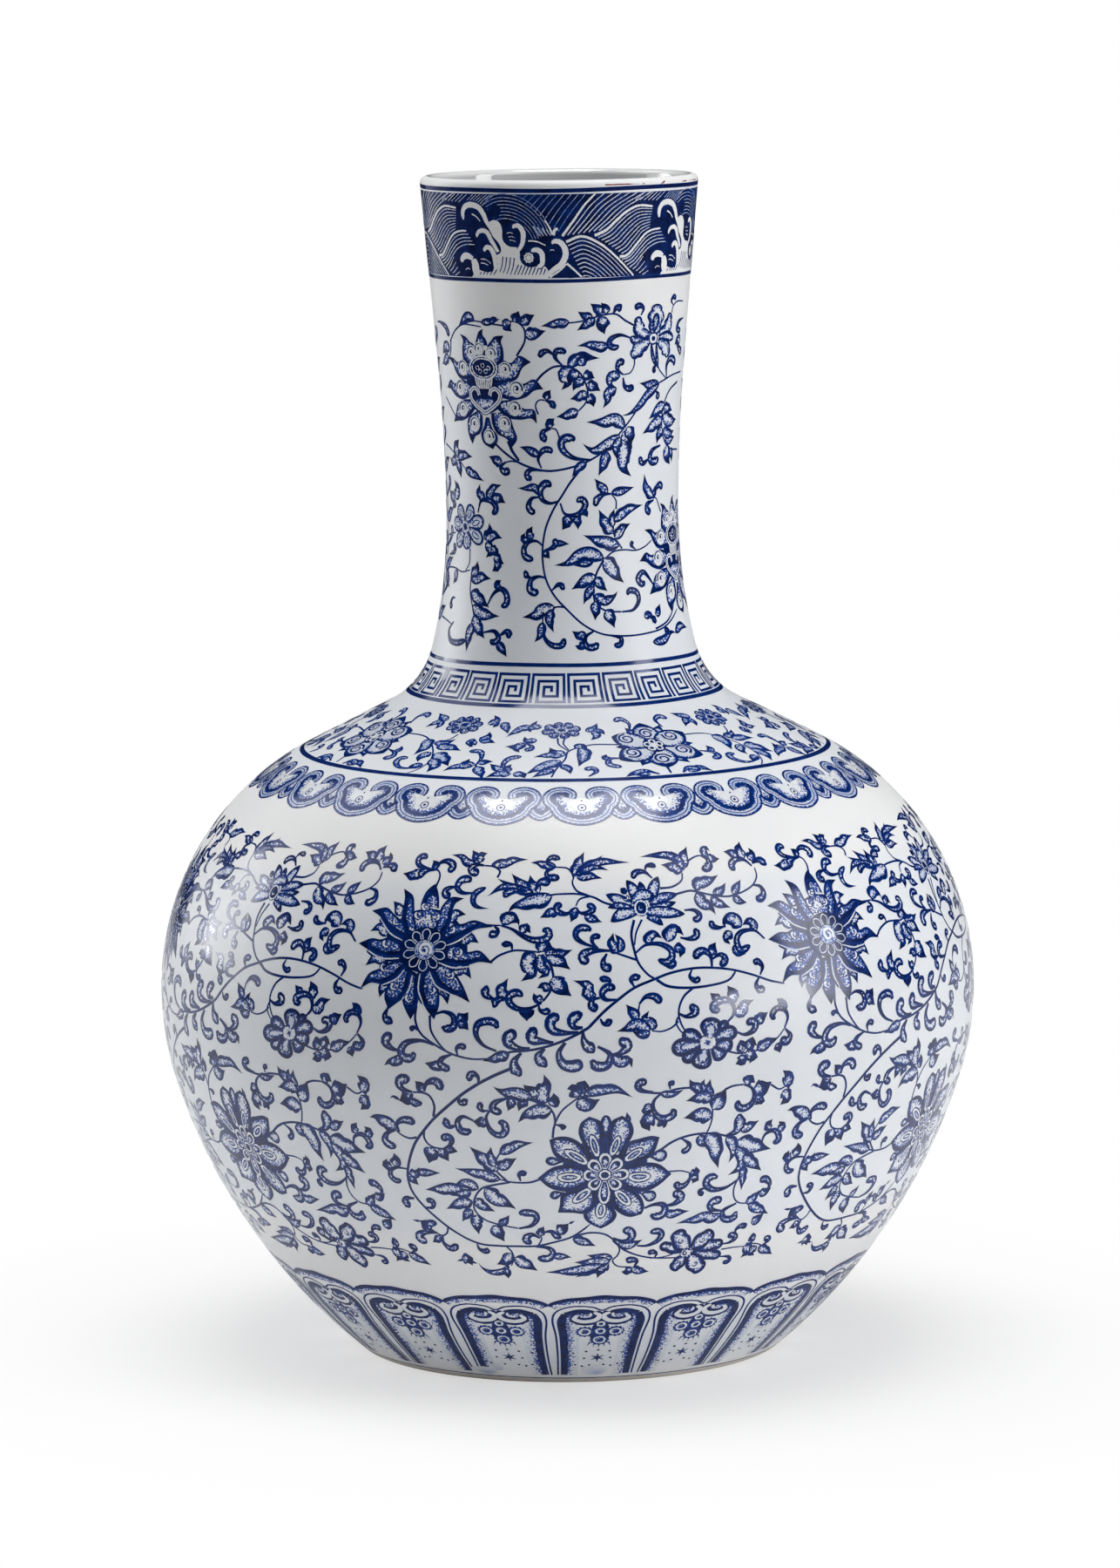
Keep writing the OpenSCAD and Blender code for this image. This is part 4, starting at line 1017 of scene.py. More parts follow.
def draw_great_flower(sheet):
    """Large flower with an oval loop in each petal and a ring of small petals round the heart."""
    x, y = GREAT_CENTRE
    sheet.disc(x, y, 16.5, 15.5, 15.4, 0.6, layer=0, spokes=36)
    for half, points in paths(GREAT_DROPS):
        sheet.stroke("drop", half, points, line=0.9, shade=1.2, wash=0.2, layer=0)
    for left, right, half, loop in GREAT_PETALS:
        sheet.patch(*places(left, right), line=1.6, shade=3.0, wash=0.08, tip=1.8, layer=1, lean=0.15)
        loop = np.reshape(loop, (-1, 2))
        sheet.stroke("oval", half, loop, line=0.5, shade=0.2, wash=0.0, layer=2)
        core = loop.mean(0) + (loop - loop.mean(0)) * 0.62
        sheet.stroke("oval", half * 0.46, core, line=0.45, shade=0.6, wash=0.4, layer=3)
    for k, long in enumerate(GREAT_HEART):
        a = FULL_TURN * k / len(GREAT_HEART) + np.pi / 2
        root, way = np.array([x, y]), np.array([np.cos(a), np.sin(a)])
        sheet.stroke("petal", 2.6, (root + 2.2 * way, root + 0.6 * long * way, root + long * way),
                     line=0.42, shade=0.2, wash=0.05, layer=4 + k % 2)
        sheet.stroke("petal", 1.45, (root + 2.8 * way, root + 0.6 * long * way, root + (long - 1.3) * way),
                     line=0.45, shade=1.2, wash=0.1, tip=1.1, layer=6)
    sheet.disc(x, y, 2.7, 2.5, 2.6, 0.3, layer=7)
    sheet.ring(x, y, 1.8, 1.65, 0.42, line=0.0, layer=8)


def draw_small_flower(sheet):
    """Small flower with seven petals, a curl in the front ones."""
    for i, (half, points) in enumerate(paths(SMALL_PETALS)):
        sheet.stroke("petal", 1.15 * half, points, line=1.45, shade=1.9, wash=0.12, layer=1 + (i > 2),
                     columns=6, lobes=1.5)
        if i > 2:
            middle = points[1]
            sheet.spiral(middle[0], middle[1], 1.3, 0.55, turns=0.9, start=40 * i, line=0.3, shade=0.3,
                         wash=0.0, layer=3)
    x, y = SMALL_CENTRE
    sheet.stroke("oval", 2.3, (x - 2.8, y + 0.2, x, y, x + 2.8, y - 0.2), line=0.5, shade=0.8, wash=0.05,
                 layer=4)
    sheet.spiral(x - 0.3, y, 1.2, 0.4, turns=1.1, line=SOLID, layer=5, form="stem")


# Neck scroll: one of two repeats. Half-width in millimetres, then x in degrees round the neck and
# y in millimetres up the outline.
NECK_REACH = 46.0
NECK_REPEATS = 2

NECK_STEMS = (
    # main vine under the upper lotus and on to the right
    (0.5, -34, 243, -28, 239.5, -20, 236, -10, 233.8, -2, 233.8, 8, 235.5, 16, 238, 22, 241, 28, 245.5, 35,
     251, 43, 258, 50, 262, 58, 264, 66, 265.3, 78, 265.8),
    (0.8, -26.5, 244, -24.5, 240.5, -21, 237),
    # vine down to the lower lotus
    (0.5, 11, 235.8, 4, 229.5, 0, 225, -4, 220.5, -8, 214, -9.8, 207, -9.7, 201, -8, 195, -4, 189.5, 2,
     184.5, 8, 180, 14, 177, 20, 175.4, 30, 174.7, 40, 175, 50, 176, 58, 178.3, 66, 182),
    (0.45, 46, 176.2, 54, 178, 60, 181, 64, 185),
    # sprays round the upper lotus
    (0.5, -20.5, 274, -16.5, 279, -16.4, 283.5, -19.5, 286, -23, 286.3),
    (0.4, -25, 284.6, -33, 285.2, -42, 286, -48, 285),
    (0.4, -61, 278, -56, 282, -50, 284.5, -44, 284.5, -38, 284), (0.45, -60, 279, -62, 273.5, -68, 269.5),
    (0.45, -72, 258, -66, 254.5, -61, 251),
    (0.5, -12, 264.8, -8, 268, -3, 270.3, 3, 270.3, 8, 268.5, 11, 265, 12.5, 261, 11.5, 257.5, 8, 254.5),
    (0.4, -11, 253.5, -12.2, 256.5, -10.5, 258.5, -7.5, 258.5), (0.4, -1, 245, -2.5, 248, -5, 248.6),
    (0.4, -21, 236.6, -26, 236.8, -30, 235.6),
    # sprays of the hanging flower
    (0.45, 35, 284, 30, 286, 25, 288.4, 18, 288, 10, 286.3, 3, 285.6),
    (0.4, 35, 274.5, 36, 270.5, 34, 267.5, 30, 266.8), (0.4, 50.5, 270, 53, 267.3, 59, 264),
    (0.4, 60, 287.5, 61, 290, 65, 291.3, 72, 291),
    (0.5, 72, 262.5, 63, 260, 58, 255.5, 56.5, 251, 57.5, 245, 61, 241, 67, 238.8, 78, 238),
    # sprays of the lower half
    (0.4, 30, 205.5, 26, 210, 25, 213.5), (0.4, 27, 219.5, 27, 222.5, 24.5, 225),
    (0.4, 57, 217, 53, 222, 50, 222.3),
    (0.4, 20, 201.8, 25, 204.5, 31, 205, 38, 204.5, 44, 205.5, 49, 207.5),
    (0.5, 20, 202, 16, 197, 14.5, 192, 15, 187, 20, 184, 28, 183.3),
    (0.4, 1, 185.7, -4, 185.6, -9, 183, -9.5, 179),
    (0.4, -50, 197, -50, 190, -47, 184, -44, 178, -42, 174.5),
    (0.4, -78, 197, -66, 197.5, -58, 196.5, -51, 197.5), (0.4, -78, 241, -70, 239.6, -62, 237, -55, 233.2),
    (0.4, -76, 208.6, -66, 210), (0.4, -76, 179.4, -68, 178.6, -62, 177.4),
    (0.4, -52, 205, -52, 200, -55, 197),
)

NECK_CURLS = (
    (1.0, 1, 270.5, -2.5, 273.4, -2, 275.8, 1, 275.8, 1.7, 274.7),
    (1.0, -2.6, 274, -6, 275.9, -9.2, 274.9, -8, 274.1), (1.1, -7.5, 258.5, -4, 257.2, -4.6, 255.7),
    (1.2, -5, 248.5, -8.8, 247.4, -8.8, 245.3, -6.8, 245),
    (1.3, 14, 237.2, 6, 238, 1, 240.5, -0.3, 243.4, 1.7, 245.1, 5, 245, 6, 243.9),
    (1.0, -10, 234.5, -11.5, 238, -9, 240.8, -6, 241, -4.7, 239.8),
    (1.2, -28, 236.5, -31, 234.8, -29, 233, -26, 233.8),
    (1.0, -10, 233.6, -15, 234, -17.3, 232.5, -16.4, 231, -14.8, 231.6),
    (1.2, 24, 288.6, 25.6, 290.6, 28.2, 290.2),
    (1.0, 34, 279.5, 28, 280.9, 23.4, 279.8, 22.4, 277.6, 25, 276.6, 27.4, 277.1),
    (1.0, 38.5, 287.5, 39.8, 289.8, 37.5, 291, 34.8, 290),
    (1.1, 30, 266.8, 26.8, 268.9, 28, 271.5, 30.3, 270.6),
    (1.1, 30, 265.8, 31, 262.7, 34, 261.8, 35.7, 263), (0.8, 51, 270, 48.3, 268.2, 49.5, 266.8),
    (1.2, 59, 264.3, 58.3, 268.8, 61, 271.2, 65.6, 270.3, 65.6, 268.3),
    (0.8, 61, 290, 58.8, 291.8, 61, 293.2, 63, 292),
    (1.3, 56, 240.7, 50, 239.5, 47.8, 237, 49.2, 235.3, 52.8, 235.6, 53.9, 236.9),
    (1.0, 48, 237, 43.5, 235, 41.3, 236, 42.4, 237.2), (0.9, 50, 260.6, 52.7, 258.7, 51, 257.6),
    (1.2, 24.5, 225, 20, 224.8, 16.4, 222.6, 18, 221.6), (1.1, 51, 222, 53, 225.7, 56.4, 226.7, 58.2, 225),
    (1.2, 51, 221.6, 46.3, 220.4, 46.3, 218.2, 48.8, 217.4), (0.7, 38, 204.8, 35.3, 206.5, 36.7, 207.7),
    (1.0, 28, 183.3, 34, 183.7, 37.6, 186.6, 37, 189.7, 33, 190.6, 31.4, 189),
    (1.1, -10, 207.4, -13, 208.9, -17, 208.4, -19.2, 206, -18.3, 203.3, -14.3, 202.3),
    (1.0, -9.8, 205.4, -5, 206.6, -3.4, 208.3, -5, 209.3),
    (1.2, -8.5, 196, -12, 196.4, -15.6, 195, -16, 192, -13.6, 190.8, -12.2, 192),
    (1.0, -14.6, 195.5, -18.2, 196.9, -17, 198), (0.9, -5.6, 191.4, -2.4, 193.6, -0.3, 192.9, -1.2, 191.9),
    (1.0, -9.3, 180, -8.5, 175, -5, 172.3, -1, 172.3, 0.4, 174.8),
    (1.1, 14, 177.2, 10, 175.3, 9.3, 173, 11, 171.3, 14.2, 171.7, 14, 173.1),
    (0.9, 20, 175.4, 26, 174.2, 25.4, 171.8, 22.4, 171.7),
    (1.2, -1.5, 223, -6, 222.2, -9.8, 223.6, -10.7, 227, -8, 229.2, -5, 228.3),
    (1.1, -10.8, 224.4, -15, 223.8, -16.7, 221, -15, 219.3, -13.4, 219.8),
    (1.1, -1, 222.2, 0.5, 219, 3, 217.9, 7, 218.1, 10, 219.6, 11.2, 222, 9, 223.5, 6.8, 222.5),
    (1.1, -46, 218, -44, 222, -40, 222.8, -36, 222, -34.3, 219.6, -36.8, 217.8),
    (1.1, -38, 185.8, -35, 189.8, -31, 191.7, -27.9, 190, -27.4, 186.8, -30.3, 185.4),
    (1.0, -39, 176, -33, 176.7, -30.3, 174.2, -32.6, 172.8, -34.7, 173.5),
    (1.0, -31, 174.6, -26.7, 176.8, -24.9, 175.9, -26.6, 175),
    (1.0, -74, 201.6, -67.5, 203, -66.4, 204.8, -68.8, 205.2),
    (1.0, -62, 177.4, -60.5, 178.6, -63.8, 175.4, -61, 172, -55, 171.4, -49, 172.6),
    (0.9, -62, 187, -65, 186.6, -66, 184.4, -64, 183.4), (1.0, 42, 181, 46, 179.8, 45, 178.4),
    (1.0, 54, 173.4, 54.4, 175.2, 51.6, 175.2), (1.0, -74, 284.6, -70, 284.5, -64, 283, -61.5, 279.8),
    (1.0, 74, 285, 68, 284, 66.6, 281.4, 71, 280.6), (1.2, 66, 277, 70, 274.6, 75, 272.6),
    (1.1, 49, 191, 42.5, 196.5, 38.4, 194.6, 40.6, 192.4, 42.6, 193.4),
)

NECK_LEAVES = (
    # round the upper lotus
    (1.2, -7, 258.6, -6.5, 260.4, -4.9, 262.2), (1.4, -5, 248.7, -5.5, 250.4, -3.3, 252.2),
    (1.2, -10.8, 239, -14, 240.2, -17.5, 241.4, -20.8, 242),
    (1.4, -30.3, 235.6, -33.5, 236.9, -37.9, 238.3), (1.2, 12, 236.2, 8, 234.6, 4.6, 231.2),
    (1.6, 22.5, 240, 20.5, 235.6, 17.8, 231.4), (1.8, 31.5, 247.7, 27, 250.8, 20, 250.4, 11.6, 250.6),
    (1.7, 29, 245.4, 22, 242, 15, 240.5, 9.8, 243.2), (2.0, 30.5, 246.6, 33.3, 244, 36.2, 240.4),
    (2.4, 29.5, 244, 31.6, 239.5, 31, 234.5, 35.8, 230.5), (1.5, 29.4, 244.6, 27, 241, 27.6, 236.8),
    (1.8, 33.2, 248.4, 35, 245, 35.5, 241.5),
    (1.3, 53, 262.6, 46, 259.6, 40, 255.6, 34.6, 253, 29.3, 252.3),
    (1.5, 53, 262.4, 47, 262.4, 39.2, 263.5), (1.3, -42, 286, -46, 287.4, -53, 283.6),
    (1.0, -38, 285.6, -33, 286, -27.6, 287), (0.9, -33, 285.2, -31, 287, -29, 287.4),
    (1.4, -22.5, 286, -25.2, 284.8, -22, 282.6), (1.5, -21.4, 286.2, -20, 287.6, -18.6, 290),
    (1.5, -17.5, 285, -15.4, 287, -11.3, 288.7), (1.7, -16.4, 282.3, -12.5, 282, -6.5, 283),
    (1.4, 8, 254.8, 3, 253.2, -2.6, 252.6), (1.3, 4, 285.9, -2, 285.4, -9, 284.6),
    (1.4, -64, 273, -68, 271, -73, 269.4), (1.6, -62, 275, -66, 276, -71, 273),
    (1.6, 3, 270.2, 8, 273.4, 12, 273.5, 18, 273), (1.5, 8, 270.6, 10, 272.6, 14, 274),
    (1.8, 5, 269.6, 1.5, 267.6, 3, 264.6, 0, 262), (1.7, 8, 268.4, 4.6, 266, 4, 263.4),
    (1.4, 10.6, 266, 7, 264, 5.4, 261.6), (1.4, 10.2, 267.4, 13, 267, 15.8, 266),
    (1.5, 11.8, 264, 15, 263.2, 18.6, 261.4), (1.4, 12.4, 261, 8.6, 259.6, 4, 258.8),
    (1.5, 12, 259.6, 14.4, 258.2, 15.4, 255.8),
    # round the hanging flower
    (1.4, 19, 288.4, 16.8, 290.2, 13.2, 292.4), (1.2, 21, 288.6, 20, 290.8, 18, 292.6),
    (1.2, 14.5, 287.4, 11, 288, 7.6, 289.7), (1.3, 15.5, 287.2, 12, 285.2, 7.2, 282.9),
    (1.9, 20.3, 287.6, 18.9, 284.4, 20.2, 281.3), (1.4, 22.4, 277.4, 17.5, 277, 13, 277.9, 7.2, 277.5),
    (1.4, 28.5, 266.4, 24, 266.4, 23.2, 263.8, 26.6, 262.2),
    (1.5, 26.6, 262.4, 22.6, 260.4, 22, 257.6, 19.8, 255.2), (1.7, 58.4, 255.4, 52, 253, 46.2, 250.3),
    (1.5, 57.6, 254, 62, 253.6, 66.8, 252.4), (1.8, 57, 250.2, 50, 248, 42.2, 245.4),
    (2.0, 57, 251.4, 65, 249, 73.4, 249), (1.5, 57.6, 246.4, 54.2, 244.4, 52.8, 241.2),
    (1.6, 58, 246.4, 64, 244.4, 70.4, 245.2), (1.5, 60, 242.6, 66, 242.4, 71.4, 243),
    (2.2, 62, 240.4, 63, 236.6, 66.2, 233.2), (1.4, 66, 239, 68, 236.4, 68.4, 233.8),
    (1.5, 72, 277, 68, 277.4, 65, 275.8),
    # lower half, right
    (1.8, 25.2, 211, 21.2, 214.6, 17.8, 219.8), (1.2, 25, 213.2, 24.8, 216.6, 26.2, 219.8),
    (1.5, 25.6, 215.2, 33, 219, 43.3, 220.4), (1.5, 26.3, 209, 30, 212.4, 35.3, 214.2),
    (1.8, 28.4, 206.5, 19, 208.3, 9.7, 210.9), (1.4, 22.6, 225.2, 19.3, 227.4, 15.8, 230.7),
    (1.2, 24.6, 225.4, 30, 225.8, 37.7, 226.9), (1.5, 50.4, 222.4, 45.4, 226, 44, 231.3),
    (1.0, 51, 222.6, 51.6, 224.8, 52, 226.8), (1.9, 20, 202.2, 14, 204, 8, 203.6, 2, 201, -4.4, 200.4),
    (1.2, 15, 202.2, 10, 200.8, 5, 200.2), (2.2, 20, 202.4, 24, 199, 26.2, 196.4, 30.3, 193.3),
    (1.7, 15.8, 196.4, 10, 194.4, 3.7, 191.8), (1.3, 14.6, 192.6, 11.6, 190, 9.3, 186.5),
    (1.4, 15.6, 196, 18, 193.2, 21.3, 190.8), (1.4, 15, 190, 19.5, 187.6, 24, 188.8, 26.7, 190.7),
    (1.5, 15, 187.5, 15, 184, 14.4, 180.7), (1.7, 20, 184.4, 22, 181.5, 23.6, 177.7),
    (1.2, 47, 181.4, 49, 182, 51.3, 184.8), (1.1, 40, 180.6, 43, 181.4, 46, 179.4),
    (1.2, 43, 171.6, 50, 172, 56, 174.2, 61, 173.6), (1.2, 60, 173.8, 66, 175.8, 74, 174.4),
    # lower half, left
    (1.3, -15, 209.2, -16.4, 211.6, -14.8, 214.2), (1.1, -17, 208.8, -19.6, 209.8, -18.6, 211.8),
    (0.9, -4.6, 208, -1, 208.1, 3.3, 207.8), (1.1, -9.5, 205.4, -8, 204.2, -6.3, 202.7),
    (1.8, -4, 185.6, -10, 184.4, -13, 182.8, -19.3, 182), (1.3, -5.4, 185, -6.4, 181, -4.4, 176.7),
    (1.2, -9.5, 180.4, -10.5, 176, -13.2, 173.2), (1.3, 10.5, 175.4, 6.8, 175.6, 3.7, 177.3),
    (1.1, 9.5, 173, 7, 171.6, 4.8, 172.2), (1.1, -10.5, 225, -13.5, 227.6, -18, 227.4, -22.3, 227.3),
    (1.6, 3.2, 217.9, 2, 215.3, -0.3, 212.7), (1.3, 6.2, 217.9, 7.4, 215.6, 7.5, 212.7),
    (0.9, 10, 219.2, 11.4, 218.4, 12.2, 217), (1.4, -41, 222.8, -45, 225, -44.2, 228.3),
    (1.3, -40, 222.9, -36, 227, -30.7, 228.4), (1.6, -37, 222.4, -33, 223.6, -28.7, 221.9),
    (1.5, -42, 209, -38.4, 211.4, -38.8, 214.8), (1.5, -41, 208.8, -36, 210.4, -30.7, 209.4),
    (1.5, -41, 207.6, -37.4, 205, -40.6, 202.2), (1.4, -37.6, 206, -34.4, 204.4, -32.6, 202.8),
    (1.4, -35, 203.6, -32.4, 201.4, -29.6, 200.6), (1.3, -33, 201.4, -33.6, 199.4, -36.4, 197.6),
    (1.5, -50, 196, -46.6, 198, -46.2, 201), (1.6, -50, 194, -43, 195.4, -36.7, 195),
    (1.8, -49.3, 190, -43, 187.6, -36.7, 184.8), (1.8, -47.4, 185, -40, 182.5, -30.7, 182),
    (1.9, -46, 181.6, -42, 177.4, -37.7, 173.7), (1.5, -46, 179, -47.6, 174, -47.6, 168.6),
    (1.2, -32.4, 191.6, -33, 193.4, -31, 194.8), (1.2, -31, 172.8, -28.5, 171, -25.3, 167.8),
    (1.8, -62, 237, -63, 240.6, -59.6, 243.4), (1.4, -62, 237, -56, 238, -48.7, 237.6),
    (1.4, -63, 236.4, -68, 235, -71.4, 236.6), (1.6, -62, 236, -60, 232.6, -58.8, 229.6),
    (1.3, -55, 233.2, -48, 231.4, -41.3, 229.2), (1.8, -66, 222, -63.4, 225.4, -66.4, 228.6),
    (1.6, -67, 222, -71, 222.8, -73.6, 225), (1.2, -66, 221.4, -67.8, 219.6, -70, 218.6),
    (1.3, -64.6, 196.8, -63.6, 194.4, -66, 191.6), (1.5, -76, 196, -74.4, 192.6, -70.6, 190),
)

# Lotus of the neck, in millimetres: five places along the upper or outer edge of each petal, five
# along its darker edge, and the middle and radius of its spiral
NECK_LOTUS = (
    ((-34.2, 277.6, -33.6, 279, -32.8, 280.8, -31.8, 282.4, -30, 283.4),
     (-28.2, 277.4, -28.4, 278.8, -29.2, 280.2, -30.2, 281.2, -30, 283.4), (-32.4, 276.2), 2.1),
    ((-29.6, 272.6, -28.4, 277.2, -26.4, 279.4, -25, 280.8, -21.2, 281.2),
     (-25, 271, -22, 272, -21.6, 276, -22.4, 279, -21.2, 281.2), (-27, 274.7), 2.2),
    ((-33.4, 273, -34.6, 277.4, -36.8, 278.6, -38.6, 280.2, -42, 281.2),
     (-37.4, 270, -41, 272, -41.2, 276, -40.4, 279, -42, 281.2), (-36.3, 274.8), 2.4),
    ((-25, 270.8, -21.8, 272.4, -18.8, 271.6, -15.4, 274.2, -11, 272),
     (-26.4, 264, -21, 264.2, -16.6, 266, -14.4, 269.8, -11, 272), (-21.3, 269.2), 2.4),
    ((-25, 264, -19.4, 265.7, -14.4, 264.3, -10, 265.9, -6.6, 262.4),
     (-24.4, 259.4, -19, 258.4, -13.6, 259.4, -10.2, 261.8, -6.6, 262.4), (-17, 262.4), 2.7),
    ((-24.6, 258, -18, 258.4, -14.6, 255.6, -10.2, 255, -9.4, 250.2),
     (-25.8, 255.4, -21.4, 252.2, -16, 251.5, -11.6, 252, -9.4, 250.2), (-18, 255.6), 2.5),
    ((-24, 254, -20.2, 252.4, -18.8, 248.6, -17.4, 244.8, -19.8, 241.6),
     (-28.4, 253.6, -28.2, 250, -26, 246.4, -21.8, 244.6, -19.8, 241.6), (-22.6, 250.1), 2.4),
    ((-37, 258.2, -43, 257.7, -47, 255.8, -48.8, 252.8, -51, 249.4),
     (-36, 255, -39.6, 252, -44, 250.3, -47.4, 250, -51, 249.4), (-43.5, 254.6), 2.6),
    ((-37.4, 263.4, -43, 265, -48, 263.2, -51.4, 264.4, -55, 261.4),
     (-38, 259.4, -43, 257.8, -48, 258.8, -51.6, 261, -55, 261.4), (-44.3, 262), 2.6),
    ((-37.6, 271, -41.6, 272.2, -45, 271, -48, 272.4, -51.8, 272.4),
     (-37, 265, -43.6, 265.2, -46.6, 267.4, -48.6, 270.4, -51.8, 272.4), (-41.8, 269.2), 2.6),
    ((-34.8, 254.4, -40.4, 251.4, -41.2, 248, -40.6, 245, -38.8, 242.2),
     (-32.6, 252.6, -32.8, 248.6, -34.6, 246, -37, 245, -38.8, 242.2), (-37, 249.4), 2.5),
    ((-29.4, 252, -28, 248, -26, 246, -26, 243.6, -28.2, 240.8),
     (-31.1, 252, -32.2, 248.6, -33.8, 246, -32.6, 242.8, -28.2, 240.8), (-29.8, 245.3), 2.4),
)
NECK_LOTUS_POD = (-31.1, 269.5)
# Seeds in the pod, in millimetres from its middle
NECK_LOTUS_SEEDS = ((-2.6, 0), (0, 0.9), (2.6, 0), (-1.3, -1.2), (1.3, -1.2))
# Left half of the cloud-head ribbon under the cup, from its spiral to the bottom
NECK_LOTUS_RIBBON = (-33.6, 259.8, -34.4, 261.6, -36.4, 262.2, -38.2, 260.6, -37.8, 258.2, -35.6, 256.2,
                     -33, 254.6, -31.1, 253.8)
# Where the lotus stands on the neck: at its own place and, once more, lower down to the right
NECK_LOTUS_SHIFTS = ((0.0, 0.0), (87.1, -61.0))

# Hanging flower on the upper neck: half-width and path of each petal
NECK_HANGER = (
    (1.0, 45.6, 277.4, 47, 273, 49.6, 269.2), (0.9, 49, 277.6, 50, 272.6, 51.2, 268.2),
    (2.7, 44.4, 280.4, 38.6, 281.6, 36.6, 287.2), (1.9, 44, 278.8, 38, 278.2, 32.8, 279.8),
    (3.0, 44.4, 278, 39, 276, 34, 272.8), (2.7, 50, 280.4, 56.4, 282.4, 59, 287.6),
    (3.0, 50, 278, 55.4, 276, 59.8, 272.2), (1.9, 50.6, 279.4, 57, 279.6, 63, 278.2),
    (4.4, 47, 280, 48, 286, 48.4, 291.2),
)
NECK_HANGER_CENTRE = (46.8, 279)
# Half-width from which its petals are scalloped
NECK_LOBED_PETAL = 2.5

# Small flower of the neck: its middle, and the tip of each petal
NECK_SMALL_FLOWER = (-56, 212.5)
NECK_SMALL_TIPS = (-50, 220.5, -62.5, 220, -68, 213.5, -64, 205.3, -42, 215.5, -42.5, 208, -54, 204.6)

# Vine up the side of the neck: its angle in degrees, its ends along the outline, its sway, the
# length over which that turns by a radian, and its joints
NECK_SIDE = 97.0
NECK_SIDE_ENDS = (178.0, 284.0)
NECK_SIDE_SWAY = 4.0
NECK_SIDE_BEND = 17.0
NECK_SIDE_JOINTS = 13


def in_degrees(strokes, reach):
    """The same strokes with x turned from degrees into millimetres on the sheet."""
    wide = np.radians(reach)
    return [(s[0],) + tuple(v * wide if i % 2 == 0 else v for i, v in enumerate(s[1:])) for s in strokes]


def draw_side_vine(sheet):
    """Stem up the side of the neck, which the photo doesn't show: x sways as a sine of the height,
    and each joint has a leaf on one hand and a curl on the other."""
    y = np.linspace(*NECK_SIDE_ENDS, NECK_SIDE_JOINTS)
    x = NECK_SIDE * np.radians(NECK_REACH) + NECK_SIDE_SWAY * np.sin((y - y[0]) / NECK_SIDE_BEND)
    sheet.stroke("stem", 0.5, np.stack([x, y], -1), line=SOLID, layer=0, columns=2)
    for i, (across, up) in enumerate(zip(x[:-1], y[:-1])):
        hand = 1 - 2 * (i % 2)
        draw_leaves(sheet, ((1.5, across, up, across + 4 * hand, up + 3.5, across + 8.5 * hand, up + 5.5),))
        draw_curls(sheet, ((1.1, across, up, across - 3.5 * hand, up + 2.6, across - 6 * hand, up + 5.5,
                            across - 4.4 * hand, up + 7.5),))


def draw_neck_lotus(sheet, shift):
    """Frontal lotus: dotted petals with hooked tips and a spiral each, a seed pod, a striped cup
    and a white cloud-head ribbon."""
    x, y = np.add(NECK_LOTUS_POD, shift)
    sheet.disc(x, y - 5.0, 9.0, 11.5, 12.0, 0.4, layer=0, spokes=28)
    for i, (outer, darker, curl, radius) in enumerate(NECK_LOTUS):
        edges = np.array(places(outer, darker)) + shift
        sheet.patch(*edges, line=0.75, shade=2.6, wash=0.06, tip=3.0, layer=1 + i // 5, lean=0.5)
        cx, cy = np.add(curl, shift)
        start, hand = (200, 1) if cx < x else (-20, -1)
        sheet.disc(cx, cy, radius + 0.3, radius + 0.3, radius - 0.1, -0.1, wash=0.02, layer=4)
        sheet.spiral(cx, cy, radius - 0.25, 0.62, turns=1.7, start=start, hand=hand, form="stem", **WHITE,
                     wash=0.02, layer=5)
    sheet.disc(x, y, 7.2, 4.9, 6.0, 0.2, layer=4, spokes=28)
    for rx, ry, half in ((6.4, 4.2, 0.42), (5.2, 3.3, 0.3)):
        sheet.ring(x, y, rx, ry, half, line=0.0, layer=5)
    for cx, cy in NECK_LOTUS_SEEDS:
        sheet.ring(x + cx, y + cy, 0.75, 0.7, 0.2, line=0.0, layer=6)
    for across in np.arange(8) - 3.5:
        lean = 0.13 * across
        stripe = (x + across + lean, y - 3.6), (x + across - lean, y - 7.4)
        sheet.stroke("band", 0.36, stripe, **WHITE, wash=0.03, layer=5, columns=2)
    sheet.disc(x, y - 11.0, 7.8, 5.2, 7.0, 0.2, layer=4, spokes=28)
    sheet.stroke("oval", 2.0, ((x - 4.4, y - 11.8), (x, y - 12.8), (x + 4.4, y - 11.8)), line=0.3,
                 shade=2.6, wash=0.05, layer=5, columns=6)
    ribbon = mirrored(np.reshape(NECK_LOTUS_RIBBON, (-1, 2)) - NECK_LOTUS_POD) + (x, y)
    sheet.stroke("band", 1.05, ribbon, line=0.3, shade=0.1, wash=0.03, layer=6)
    sheet.stroke("band", 0.16, ribbon, line=SOLID, layer=7, columns=2)


def draw_small_neck_flower(sheet):
    """Flower of seven rounded petals with a line inside each, and a dotted middle."""
    wide = np.array([np.radians(NECK_REACH), 1.0])
    centre = np.array(NECK_SMALL_FLOWER) * wide
    for i, tip in enumerate(np.reshape(NECK_SMALL_TIPS, (-1, 2)) * wide):
        reach = tip - centre
        sheet.stroke("petal", 2.9, (centre + 0.2 * reach, centre + 0.6 * reach, tip), line=0.7, shade=1.4,
                     wash=0.16, layer=1 + i // 3, columns=6)
        sheet.stroke("oval", 1.1, (centre + 0.4 * reach, centre + 0.6 * reach, centre + 0.8 * reach),
                     line=0.3, shade=0.5, wash=0.2, layer=4)
    sheet.disc(*centre, 2.2, 2.0, 1.2, 0.8, wash=0.1, layer=5)


